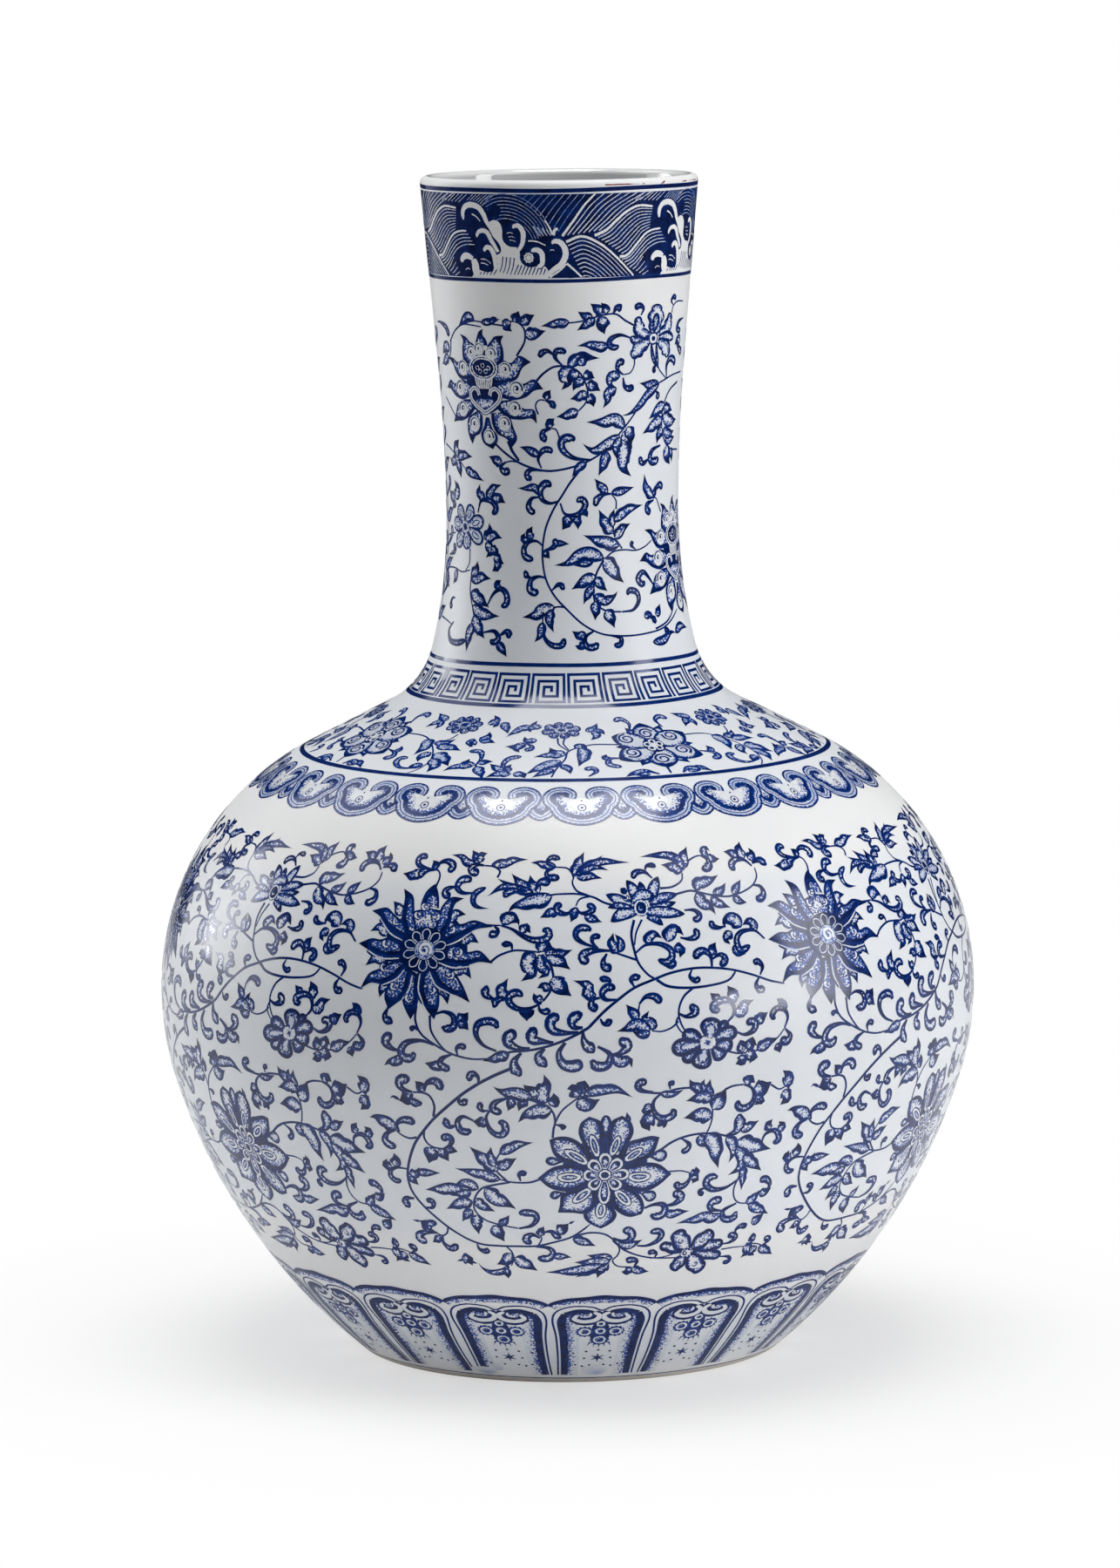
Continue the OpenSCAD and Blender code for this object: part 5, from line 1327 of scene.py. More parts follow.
def draw_hanger(sheet):
    """Flower seen from the side, with a bud over its round middle."""
    wide = np.radians(NECK_REACH)
    for half, points in paths(in_degrees(NECK_HANGER, NECK_REACH)):
        sheet.stroke("petal", half, points, line=0.7, shade=1.8, wash=0.1, layer=1, columns=6, lean=0.4,
                     lobes=LEAF_LOBES if half > NECK_LOBED_PETAL else 0)
    x, y = NECK_HANGER_CENTRE[0] * wide, NECK_HANGER_CENTRE[1]
    sheet.stroke("petal", 2.0, (x, y + 2.4, x + 0.9, y + 5.4, x + 1.2, y + 9), line=1.0, shade=1.8,
                 wash=0.3, layer=2)
    sheet.stroke("oval", 2.4, (x - 2.5, y, x, y, x + 2.5, y), line=0.6, shade=0.2, wash=0.0, layer=3)
    sheet.disc(x, y, 1.1, 1.0, 0.9, 0.2, layer=4)


def draw_daisy(sheet, x, y, rx, ry, count):
    """Round flower: blunt petals at even angles, a line inside each, and a dotted middle."""
    for k in range(count):
        a = FULL_TURN * (k + 0.3) / count
        way = np.array([rx * np.cos(a), ry * np.sin(a)])
        start = np.array([x, y])
        half = 2.5 * np.sqrt(rx * ry) / count
        points = (start + 0.3 * way, start + 0.65 * way, start + way)
        sheet.stroke("petal", half, points, line=0.7, shade=1.3, wash=0.35, layer=1 + k % 2)
        sheet.stroke("oval", 0.42 * half, (start + 0.45 * way, start + 0.62 * way, start + 0.8 * way),
                     line=0.3, shade=0.6, wash=0.25, layer=3)
    sheet.disc(x, y, 0.34 * rx, 0.34 * ry, 0.2 * ry, 0.8, wash=0.25, layer=4)
    sheet.ring(x, y, 0.26 * rx, 0.26 * ry, 0.3, line=0.08, layer=5)


# Shoulder scroll: one strip of the print. Half-width in millimetres, then x in degrees round the
# vase from the left end of the strip and y in millimetres up the outline.
SHOULDER_REACH = 72.0
SHOULDER_START = -18.0
# Outline in millimetres and pale wash of its leaves and curls
SHOULDER_LINE, SHOULDER_WASH = 0.55, 0.4
# Where each strip starts and how much it is stretched: two strips in front and two at the back
SHOULDER_STRIPS = ((-101.0, 1.0), (-18.0, 1.0), (65.0, 97.0 / 83.0), (162.0, 97.0 / 83.0))
# Two daisies: middle and radii, with x and its radius in degrees, and the number of petals
SHOULDER_DAISIES = ((-1.0, 135.6, 6.0, 5.2, 8), (51.0, 137.4, 6.2, 5.6, 9))

SHOULDER_STEMS = (
    (0.45, 14, 126, 8, 126.6, 4, 125.2, 0.8, 122.6, 0, 118, -2, 112, -3, 106.8),
    (0.4, 34, 129.5, 40, 129.2, 44, 127, 48, 121.5, 50, 115, 49, 109.5, 47, 106.4),
    (0.4, -2, 131, -1.6, 127, 0.8, 123), (0.4, 0, 131, -0.4, 127.4, 1, 123.4),
    (0.4, 51.5, 131.5, 50, 128, 46.5, 126), (0.5, 23.2, 113, 23.2, 107), (0.4, 62, 114, 64, 109, 65, 106),
)

SHOULDER_CURLS = (
    (1.1, 19, 134, 20, 138.6, 18, 141.6, 15.7, 140.2), (1.1, 30, 135, 29.5, 139.6, 32, 141.6, 34.3, 140),
    (1.0, 14.6, 117.4, 10.8, 117.6, 10.2, 114.2, 12.8, 112.2),
    (1.1, 34.6, 119, 37.8, 117.4, 38.2, 114.8, 36.2, 113.4), (1.2, 20.5, 107, 17.5, 109.4, 14.6, 107.4),
    (1.2, 26, 107, 28, 109.6, 30.6, 108.2),
    (1.0, 48.4, 109.8, 44, 109.2, 41.4, 112, 41.4, 114.7, 43.4, 115.2),
    (1.0, 62.2, 113.6, 62.6, 118, 61.4, 121.8, 58.4, 121.8),
    (1.0, -12.4, 109, -14.3, 114, -13.4, 118.2, -10.6, 119.6),
    (1.0, 5, 107.2, 6.8, 110, 6, 112.2, 4.3, 111.2),
    (1.0, -10.6, 127.6, -8.8, 126, -8.8, 124.2, -10.4, 123.6), (1.0, 58.4, 124.6, 56.4, 127, 58, 129),
)

SHOULDER_LEAVES = (
    (1.0, 10.6, 117.2, 9.6, 118.6, 10.2, 120.4), (1.0, 37, 118, 38.2, 119.4, 37.6, 121.8),
    (1.7, 3.6, 124.6, 4.8, 121, 3, 113.2), (1.6, 0.2, 120.4, -2.6, 122, -4, 125.2),
    (1.3, -0.6, 119.6, -4, 120.4, -7.8, 119.2), (1.7, -1, 117, -5, 113.4, -8.8, 108.6),
    (1.2, -2.6, 112, -5, 109.4, -7.2, 106.8), (1.1, -1.2, 114.4, 0.6, 112.4, 1.2, 108.8),
    (1.2, 2.4, 124.6, 4.4, 126, 5.8, 124), (1.2, -7, 137.4, -9.6, 138.4, -8.8, 141.8),
    (1.4, -10, 138, -13.4, 136.2, -16.7, 131.2), (1.0, -9.4, 137.8, -10.4, 136.2, -10, 134.4),
    (1.2, 6, 135, 8.6, 136.4, 10.2, 139.8), (1.2, 8.2, 135.2, 9, 132, 7, 129.2),
    (1.0, 9.2, 135.6, 10.6, 134.4, 11.4, 132.4), (1.2, -7.6, 129.6, -10.4, 129.2, -11.4, 131.8),
    (1.4, -11, 128, -12.4, 125.6, -15.8, 125.4), (1.3, -11.4, 127, -12.4, 124, -11.4, 122),
    (1.8, 43, 127.2, 45, 123.4, 44, 117.2), (1.3, 46.6, 125.4, 50, 126, 52.2, 128.8),
    (1.6, 48.2, 123.4, 52, 123.6, 56.2, 121.8), (2.0, 49.6, 119.4, 53, 116.4, 55.8, 112.2),
    (1.6, 50, 116, 52.2, 112.4, 51.6, 107.6), (1.4, 48.4, 119.6, 46.6, 116.6, 47, 113.4),
    (1.2, 49.2, 112, 47, 110.8, 46, 108.6), (1.4, 62, 113.8, 59.6, 114, 59.8, 117.4),
    (1.3, 61.4, 113.2, 57.4, 112, 55.2, 109), (1.3, 62.6, 113, 63.8, 110, 65.4, 105.8),
    (1.2, 62.4, 114.6, 64.2, 115.8, 66, 116.2), (1.2, -13.8, 110.4, -15.6, 112.4, -17.6, 114.8),
    (1.1, -12.2, 110.4, -13.2, 112.2, -12.4, 114.8), (1.4, -11.8, 108.8, -14.8, 108.6, -17.2, 106.4),
    (1.3, -11.4, 109.2, -9.4, 108.4, -8.6, 106.4), (1.4, 59.4, 128, 61, 131, 60.8, 134.2),
    (1.1, 59.6, 128, 62, 128.4, 64.2, 127.4), (1.3, 59, 127.6, 57.6, 126.4, 57.8, 124.2),
    (1.3, 43.4, 139.6, 40.4, 140.6, 37, 143), (1.3, 42.4, 139, 39.8, 137.2, 37.8, 134),
    (1.1, 41.2, 138.6, 42.4, 136.2, 41.8, 133.4), (1.4, 58.4, 139, 60.8, 141, 59, 144.2),
    (1.1, 60.2, 140.4, 61.4, 138.6, 60.8, 136.6), (1.4, 63, 140, 64.8, 137.6, 66.6, 133.2),
    (1.3, 27.4, 107.2, 30.6, 109.2, 33.4, 106.2), (1.2, 18.4, 106.8, 15.4, 108.2, 12.8, 106.2),
)

# Big flower of the shoulder: its middle, then the tip of each petal and the middle of its spiral
SHOULDER_FLOWER = (23.5, 124.5)
SHOULDER_PETALS = (23.5, 138.5, 23.5, 131.8, 13, 131, 17, 129.2, 35, 131, 30, 129.6, 13, 116.5, 16.8, 120.6,
                   34.6, 116.3, 30.3, 120.6, 23.5, 110.5, 23.5, 116)
SHOULDER_SEPALS = (13, 124.5, 35, 124, 17.5, 112.5, 29.5, 112.5, 18, 136.2, 29.5, 136.6)


def draw_shoulder_flower(sheet):
    """Big flower: six round petals with a point, a white spiral in each and a small flower inside."""
    wide = np.array([np.radians(SHOULDER_REACH), 1.0])
    centre = np.array(SHOULDER_FLOWER) * wide
    for tip in np.reshape(SHOULDER_SEPALS, (-1, 2)) * wide:
        sheet.stroke("leaf", 2.6, (centre + 0.45 * (tip - centre), centre + 0.75 * (tip - centre), tip),
                     line=0.9, shade=1.0, wash=0.3, tip=1.8, layer=1)
    sheet.disc(*centre, 9.5, 8.5, 12.0, 0.4, layer=1, spokes=28)
    for i, (tip, curl) in enumerate(np.reshape(SHOULDER_PETALS, (-1, 2, 2)) * wide):
        reach = tip - centre
        sheet.stroke("flame", 5.2, (centre + 0.12 * reach, centre + 0.55 * reach, tip), line=1.0, shade=1.7,
                     wash=0.2, tip=2.0, layer=2 + i % 2, columns=8)
        sheet.spiral(*curl, 3.0, 0.9, turns=1.5, start=70 * i, form="stem", **WHITE, wash=0.1, layer=4)
        sheet.spiral(*curl, 3.0, 0.45, turns=1.6, start=70 * i + 20, form="stem", line=SOLID, layer=5)
    sheet.disc(*centre, 3.8, 4.4, 6.0, 0.3, layer=5)
    for k in range(5):
        a = FULL_TURN * (k + 0.25) / 5
        sheet.ring(centre[0] + 2.2 * np.cos(a), centre[1] + 2.1 * np.sin(a), 1.0, 1.2, 0.42, line=0.0,
                   wash=0.02, layer=6)
    sheet.disc(*centre, 0.9, 1.1, -1.0, 0.2, layer=7, spokes=12)


def draw_shoulder_strip(sheet, stretch):
    """One strip of the shoulder's scroll, moved to start at 0 and stretched along x."""
    wide = np.radians(SHOULDER_REACH)
    draw_vines(sheet, in_degrees(SHOULDER_STEMS, SHOULDER_REACH))
    draw_curls(sheet, in_degrees(SHOULDER_CURLS, SHOULDER_REACH), SHOULDER_LINE, SHOULDER_WASH)
    draw_leaves(sheet, in_degrees(SHOULDER_LEAVES, SHOULDER_REACH), SHOULDER_LINE, SHOULDER_WASH)
    draw_shoulder_flower(sheet)
    for x, y, rx, ry, count in SHOULDER_DAISIES:
        draw_daisy(sheet, x * wide, y, rx * wide, ry, count)
    for grid in sheet.grids:
        grid[..., 0] = (grid[..., 0] - SHOULDER_START * wide) * stretch


# Ring lines: length along the outline from the widest line, and half of the line, in millimetres,
# and the places on the path of a whole ring
RING_PLACES = 73
WAVE_LINES = ((332.3, 0.75), (300.7, 0.65))
FRET_LINES = ((165.0, 0.7), (149.1, 0.85))
SHOULDER_LINES = ((105.5, 0.95),)
FOOT_LINES = ((-148.4, 0.3),)
# Smears of ink above the foot: middle in degrees and millimetres along, and both radii
FOOT_SMEARS = ((5.5, -143.2, 5.4, 3.4), (-22.0, -144.4, 6.0, 2.4), (-18.5, -141.5, 3.0, 2.2))
SMEAR_STEPS = 6

# Fret: one square spiral, in millimetres from its middle, and its place round and along
FRET_REACH = 52.0
FRET_REPEATS = 25
FRET_START = 8.0
FRET_HEIGHT = 156.4
FRET_HALF = 0.52
FRET_PATH = ((-5.7, -5.4), (-5.7, 5.4), (5.7, 5.4), (5.7, -5.4), (-3.5, -5.4), (-3.5, 3.0), (3.4, 3.0),
             (3.4, -3.0), (-1.4, -3.0), (-1.4, 0.8), (1.3, 0.8), (1.3, -0.6))

# Lappets: ribbon down the left side of one and round the tip of the one behind, in millimetres
# from the middle and along the outline
LAPPET_REACH = 105.0
LAPPET_REPEATS = 24
LAPPET_START = 3.0
LAPPET_RIBBON = 1.75
LAPPET_SIDE = ((-3.6, 95.4), (-3.1, 97.4), (-4.8, 99.2), (-7.8, 99.6), (-10.6, 98.4), (-12.0, 95.8),
               (-11.4, 93.0), (-9.6, 91.0), (-8.8, 89.0), (-7.0, 86.6), (-3.8, 84.8), (0.0, 84.0))
LAPPET_BETWEEN = ((9.9, 90.2), (11.2, 87.8), (13.75, 86.2), (16.3, 87.8), (17.6, 90.2))

# Petal panels round the foot: x in degrees from the middle of one, y along the outline
PANEL_REACH = 90.0
PANEL_REPEATS = 18
PANEL_START = 5.8
PANEL_CREST = ((-10.0, -104.3), (-9.0, -102.8), (-6.5, -101.2), (-3.0, -100.6), (0.0, -99.9))
PANEL_ARCH = ((-9.2, -146.0), (-8.9, -135.0), (-8.9, -122.0), (-9.4, -112.0), (-8.4, -107.0),
              (-5.5, -104.6), (-2.0, -105.0), (0.0, -106.8))
PANEL_BAND = ((-7.9, -146.0), (-7.6, -135.0), (-7.6, -122.0), (-7.9, -113.0), (-7.0, -108.6),
              (-4.6, -106.9), (-2.2, -107.3), (-1.2, -109.2), (-2.0, -110.6))
PANEL_VOLUTE = ((-4.6, -109.2), (-5.2, -111.3), (-3.4, -112.8), (-1.2, -112.0), (-0.4, -109.6),
                (-1.5, -107.8))
PANEL_RINGS = ((0.0, -114.2, 1.3), (-3.1, -118.6, 1.9), (3.1, -118.6, 1.9), (0.0, -118.3, 1.6),
               (0.0, -123.4, 2.1))
# Spikes round a ring, and the star under the rings: its middle in millimetres, and its rays
PANEL_SPIKES = 12
PANEL_STAR = (0, -134.5)
PANEL_RAYS = 6
PANEL_DOTS = ((-5.0, -139.0), (-3.4, -140.0), (-1.7, -139.3), (1.7, -139.3), (3.4, -140.0), (5.0, -139.0),
              (-2.6, -130.5), (2.6, -130.5), (0.0, -129.7), (-3.0, -134.8), (3.0, -134.8), (-5.5, -131.5),
              (5.5, -131.5))

# Wave band: x in millimetres round the neck, y along the outline; white strokes on a blue ground
WAVE_REACH = 49.5
WAVE_REPEATS = 4
WAVE_LOW, WAVE_HIGH = 301.5, 330.9
# Parallel lines: ink that dims them, and the share of their listed half-width that is drawn
WAVE_DIM = 0.28
WAVE_LINE_SHARE = 0.8
# Curling crests: half-width and path from the root to the tip
WAVE_CURLS = (
    (0.85, -26.4, 319.6, -27.6, 321.6, -28.7, 324, -30.7, 326.2, -33.8, 327, -36.6, 326.3, -38, 324.2,
     -37.8, 321.6),
    (0.75, -15, 311.4, -13.7, 313.6, -13.2, 316, -13.4, 318, -14.8, 319.8, -16.4, 319.8, -17, 318.9),
    (0.7, -23.2, 310.6, -24.6, 312.8, -26, 314.9, -27.1, 317, -28.8, 318, -30.8, 317.7, -31.9, 316.5, -31.9,
     315.6),
    (0.8, -24.6, 304.4, -24.7, 307.4, -25.2, 310, -26.4, 311.8, -27.8, 312.2, -28.8, 311.6, -29, 310.6),
    (1.35, -32.8, 301.9, -33.5, 304.2, -33.7, 306.2, -34.6, 307.8),
    (0.95, -34.6, 308, -36.4, 308.8, -38.4, 308.9, -39.9, 308, -40.2, 306.6),
    (0.8, -8, 305.4, -6.6, 306.4, -6.3, 308.4, -6.6, 310.2, -7.8, 311.3, -9.3, 311.4, -10.4, 310.8),
    (0.9, -4.6, 302.6, -2, 304.6, 0.4, 306.2, 1.9, 308.6, 2.1, 311, 1.1, 313.2, -0.6, 314.4, -2.2, 314.3,
     -2.6, 313.4),
)
# White body of the foam: its left and right edge, from the foot to the top
WAVE_BODY = (-25, 303.9, -24.6, 307, -24.3, 309.3, -22.7, 310, -22, 311.2, -22.4, 313, -23.6, 314.6, -25,
             316, -26.3, 318.3, -27.1, 320, -26.3, 321, -25.2, 321.6, -24.4, 321.8)
WAVE_BODY_RIGHT = (-8.5, 304.6, -13, 306.5, -14.3, 308.5, -14.8, 310.5, -14.6, 312, -17, 312.4, -19, 312.8,
                   -20.6, 313.9, -21.3, 315.5, -21.2, 318, -21.6, 320, -22.8, 321.4, -24.4, 321.8)
# White foot of the foam: its lower and upper edge, from left to right
WAVE_FOOT = (-35.6, 301.5, -4.2, 301.5)
WAVE_FOOT_TOP = (-35.2, 302, -33, 304.2, -30.6, 303.8, -28.4, 303.4, -26, 303.9, -24.4, 306, -20, 308, -15,
                 307, -12.8, 305.9, -10.8, 305.4, -8.6, 305.6, -6.2, 306, -4.4, 304.4, -4.2, 302)
# Dark hollows in the foam and behind it: middle and radii
WAVE_HOLLOWS = ((-17.6, 315.9, 3.5, 3.5), (-28.5, 307.4, 3.9, 3.9), (-10.7, 308.9, 4.1, 3.6),
                (-2.1, 309.9, 3.7, 4.2), (-37.3, 305, 2.3, 3.2))
WAVE_GAPS = ((-33, 323.6, 3.9, 2.8), (-29.4, 315.2, 2.4, 2.6), (4, 303.4, 4.4, 2), (-24, 325, 2.6, 2.4))
# Ball of spray: its middle and radius, and the number of its spikes
WAVE_BALL = (-11.4, 308.7, 1.75)
WAVE_SPIKES = 9
# Families of white lines: how many, half-width, wash, then the first and the last line
WAVE_FAMILIES = (
    # hill beside the foam
    (10, 0.3, 0.1, (2.4, 314.2, 8, 316, 14, 313.8, 20, 309.6, 29, 301.6),
     (8.6, 302, 9.4, 302.3, 10, 302.2, 11, 302, 12, 301.6)),
    # first and second swell
    (9, 0.3, 0.1, (12.8, 316.2, 17, 318, 21, 321.3, 25, 324.3, 30, 326.2, 36.5, 325.7),
     (23.5, 309.6, 26, 311, 28, 313, 30, 315, 32, 317, 35.5, 318.5)),
    (5, 0.32, 0.1, (22.7, 308.5, 26, 309.2, 30, 313, 33.5, 316.2, 37, 317.5, 41, 317.8),
     (27, 304.6, 30, 306.6, 33, 309.5, 36, 311.6, 40, 312.9, 44.5, 313)),
    (4, 0.28, 0.1, (28.5, 304, 30, 305, 31.5, 306.6, 33, 308.4),
     (33, 301.8, 34, 302.3, 35, 302.8, 36, 303.2)),
    # slanting lines above the hill and the foam
    (8, 0.32, 0.1, (1, 316.2, 5, 321.5, 9, 327, 13, 331), (14.4, 318, 18.5, 321, 25, 326, 36, 331)),
    (9, 0.2, 0.5, (-13.5, 329, -11.8, 330.2, -10.4, 331.1), (-0.4, 317.8, 4, 324.4, 9.6, 331.1)),
    (6, 0.24, 0.2, (28.5, 328.2, 30.6, 329.6, 33, 330.9), (38, 327.8, 40.2, 329.2, 42.6, 330.9)),
    (7, 0.22, 0.3, (-35.5, 328.6, -34, 329.7, -32.4, 330.8), (-29, 326.8, -26.6, 328.8, -23.5, 330.8)),
    # arch over the foam
    (8, 0.22, 0.45, (-29, 328.3, -24, 330.5, -19, 330.9, -13.5, 329.6, -8.5, 326.2, -5, 322, -2.8, 317.2),
     (-23.6, 321.6, -22, 322.2, -19.5, 322.4, -16.5, 321.8, -13.5, 320.2, -11, 317.6, -9.4, 314.6)),
    (4, 0.34, 0.15, (-9.4, 319.8, -8.4, 318, -7.2, 316.2), (-4.6, 318.6, -3.9, 317.4, -3, 316.4)),
)
# Families whose first line is drawn once more, and the half-width that it then has
WAVE_CRESTS = ((0, 0.5), (1, 0.55), (2, 0.5), (4, 0.5))
# Single white lines: half-width and path
WAVE_STROKES = (
    (0.7, -2.4, 316.6, -1.6, 318.4, -0.4, 318.8), (0.4, -2.6, 317, -3.8, 319.6, -5.4, 322),
    (0.3, -11.4, 314.6, -8.5, 314.4, -5, 313), (0.45, 2.6, 306.6, 5.2, 304.4, 8.2, 301.7),
    (0.4, -3.8, 301.8, 0, 304.2, 2.6, 306.6), (0.3, -33.6, 323.8, -31.6, 322.8, -30, 321.2),
    (0.2, -30.8, 308, -28.6, 307.8, -26.4, 306.4), (0.2, -31, 306.6, -29.4, 306.5, -27.6, 305.8),
    (0.16, -19.4, 317.2, -18.2, 317.5, -17, 317.1), (0.16, -18.8, 315.9, -17.6, 316.1, -16.2, 315.6),
    (0.2, -18.4, 314.9, -17.2, 314.7, -16, 314.2), (0.2, -38.6, 304, -37.4, 304.6, -36, 304.2),
    (0.2, -3.4, 311.2, -2.6, 311.5, -1.8, 311),
)
# Dark hatching of the foot: how many, then the first and the last line
WAVE_HATCH = ((4, -21.4, 309, -22, 305.6, -23.1, 303.4, -16.9, 308.6, -17.6, 305.2, -18.8, 302.5),
              (9, -15.4, 306.2, -16.4, 304.2, -17.3, 302.5, -5.3, 304.8, -5.6, 303.8, -6.2, 302.6),
              (5, -31, 303.4, -31.4, 302.9, -31.8, 302.4, -23.9, 304.8, -24.8, 303.6, -25.8, 302.4))


def mirrored(points):
    """The left half of a path and its mirror image, as one path."""
    left = np.asarray(points, float)
    right = left[::-1] * (-1, 1)
    return np.concatenate([left, right[1:] if abs(left[-1, 0]) < TINY else right])


def degrees_to_sheet(points, reach):
    """Points with x in degrees, as points on the sheet in millimetres."""
    return np.asarray(points, float) * (np.radians(reach), 1.0)


def draw_ring_lines(sheet, lines):
    """Lines right round the vase that waver a little, as those drawn on a wheel do: two sines of the
    angle are added to the height."""
    x = np.linspace(-np.pi, np.pi, RING_PLACES)
    for along, half in lines:
        y = along + 0.22 * np.sin(2 * x + along) + 0.12 * np.sin(5 * x + 2 * along)
        sheet.stroke("band", half, np.stack([x * sheet.reach, y], -1), line=SOLID, columns=2)


def draw_fret(sheet):
    """One square spiral of straight lines."""
    path = np.asarray(FRET_PATH) + (0.0, FRET_HEIGHT)
    for a, b in zip(path, path[1:]):
        over = FRET_HALF * (b - a) / np.linalg.norm(b - a)
        sheet.stroke("band", FRET_HALF, (a - over, b + over), line=SOLID, layer=1, columns=2)


def draw_lappet(sheet):
    """Cloud-shaped lappet: a pale ribbon with outlines and a vein round a white ground with a
    dark edge, and the tip of a second lappet behind the gap to the next."""
    half = LAPPET_RIBBON
    sheet.fringe(5.0, LAPPET_BETWEEN[::-1], 3.0, wash=0.2, layer=0, line=half + 1.0)
    sheet.stroke("band", half, LAPPET_BETWEEN, line=0.6, shade=0.7, wash=0.42, layer=1)
    sheet.stroke("band", 0.2, LAPPET_BETWEEN, line=SOLID, layer=2, columns=2)
    whole = mirrored(LAPPET_SIDE)
    sheet.stroke("oval", 6.4, ((0, 84.4), (0, 90), (0, 95.2)), **WHITE, wash=0.03, layer=2, columns=8)
    sheet.fringe(5.6, whole[::-1], 3.4, wash=0.1, layer=3, line=half + 1.0)
    sheet.stroke("band", half, whole, line=0.6, shade=0.7, wash=0.42, layer=4)
    sheet.stroke("band", 0.2, whole, line=SOLID, layer=5, columns=2)
    sheet.ring(0, 90.6, 1.35, 1.5, 0.2, line=SOLID, layer=4)
    sheet.disc(0, 90.6, 0.55, 0.6, 0.7, 0.2, layer=4, spokes=10)
    sheet.disc(0, 94.0, 0.4, 0.4, 0.6, 0.2, layer=4, spokes=10)


def draw_panel(sheet):
    """Petal panel: a scalloped crest, a thin arch, a thick band with a ragged, dotted inside,
    white volutes on dark, a club of rings, a star and dots."""
    wide = np.radians(PANEL_REACH)
    crest = degrees_to_sheet(mirrored(PANEL_CREST), PANEL_REACH)
    sheet.stroke("ribbon", 0.95, crest, line=SOLID, layer=2, columns=2)
    sheet.fringe(3.4, crest, 2.8, wash=0.08, layer=1, line=0.8)
    sheet.stroke("oval", 0.9, ((-2.4 * wide, -102.4), (0, -101.9), (2.4 * wide, -102.4)), line=0.2,
                 shade=1.3, wash=0.3, layer=1)
    arch = degrees_to_sheet(mirrored(PANEL_ARCH), PANEL_REACH)
    sheet.stroke("band", 0.34, arch, line=SOLID, layer=2, columns=2)
    for hand in (-1, 1):
        band = degrees_to_sheet(PANEL_BAND, PANEL_REACH) * (hand, 1)
        sheet.stroke("band", 1.05, band[:5], line=SOLID, layer=2, columns=4)
        sheet.stroke("stem", 0.85, band[4:], line=SOLID, layer=2, columns=4)
        side = band[:7][::-1] if hand < 0 else band[:7]
        sheet.fringe(5.4, side, 3.4, wash=0.08, layer=1, line=1.6)
        volute = degrees_to_sheet(PANEL_VOLUTE, PANEL_REACH) * (hand, 1)
        sheet.stroke("ribbon", 2.2, volute, line=SOLID, layer=2, columns=4, lobes=9)
        sheet.stroke("ribbon", 0.95, volute, **WHITE, wash=0.03, layer=4)
    sheet.stroke("petal", 3.2, ((0, -111.5), (0, -117), (0, -126.4)), line=SOLID, layer=2, columns=6)
    for x, y, size in PANEL_RINGS:
        a = np.linspace(0, FULL_TURN, 4 * PANEL_SPIKES + 1)
        far = np.outer([0.02, 1], (size + 0.95) * (1 + 0.1 * np.cos(PANEL_SPIKES * a)))
        sheet.grid(x * wide + far * np.cos(a), y + far * np.sin(a), 0.0, SOLID, 0.2, 0.0, 2)
        sheet.ring(x * wide, y, 0.85 * size, 0.85 * size, 0.42, line=0.0, layer=4)
        sheet.ring(x * wide - 0.2, y, 0.4 * size, 0.4 * size, 0.16, line=0.0, layer=4, start=60, sweep=150)
    for k in range(-2, 3):
        hair = (1.5 * k, -125.4 + 0.35 * abs(k)), (1.3 * (1.5 * k), -128.2 + 0.6 * abs(k))
        sheet.stroke("wisp", 0.35, hair, line=SOLID, layer=2, columns=2)
    for k in range(PANEL_RAYS):
        a = FULL_TURN * k / PANEL_RAYS + np.pi / 2
        way = np.array([np.cos(a), np.sin(a)])
        ray = (PANEL_STAR, PANEL_STAR + 1.3 * way, PANEL_STAR + 2.6 * way)
        sheet.stroke("wisp", 0.6, ray, line=SOLID, layer=2, columns=2)
    for x, y in PANEL_DOTS:
        sheet.disc(x * wide, y, 0.5, 0.5, 0.9, 0.2, layer=2, spokes=10)


def draw_smears(sheet):
    """Soft smears of ink: discs that shrink and darken step by step."""
    for angle, along, rx, ry in FOOT_SMEARS:
        for k in range(SMEAR_STEPS):
            left = 1 - 0.8 * k / SMEAR_STEPS
            sheet.disc(np.radians(angle) * PANEL_REACH + 0.25 * k, along - 0.3 * k, rx * left, ry * left,
                       -1.0, 0.2, wash=0.05 + 0.08 * k, layer=3 + k, spokes=24)


def draw_white(sheet, half, points, layer=1, form="stem", wash=0.05):
    """A stroke that leaves the white of the porcelain in a blue ground."""
    sheet.stroke(form, half, points, **WHITE, wash=wash, layer=layer, columns=2)


def between(count, first, last):
    """Paths that pass from the first to the last in equal shares."""
    first, last = np.reshape(first, (-1, 2)).astype(float), np.reshape(last, (-1, 2))
    return [first + (last - first) * k / (count - 1) for k in range(count)]


def draw_wave_ground(sheet):
    """Solid blue ground of the waves, right round the neck."""
    x = np.linspace(-np.pi, np.pi, RING_PLACES) * WAVE_REACH
    middle = np.full_like(x, (WAVE_LOW + WAVE_HIGH) / 2)
    half = (WAVE_HIGH - WAVE_LOW) / 2
    sheet.stroke("band", half, np.stack([x, middle], -1), line=SOLID, layer=0, columns=12)


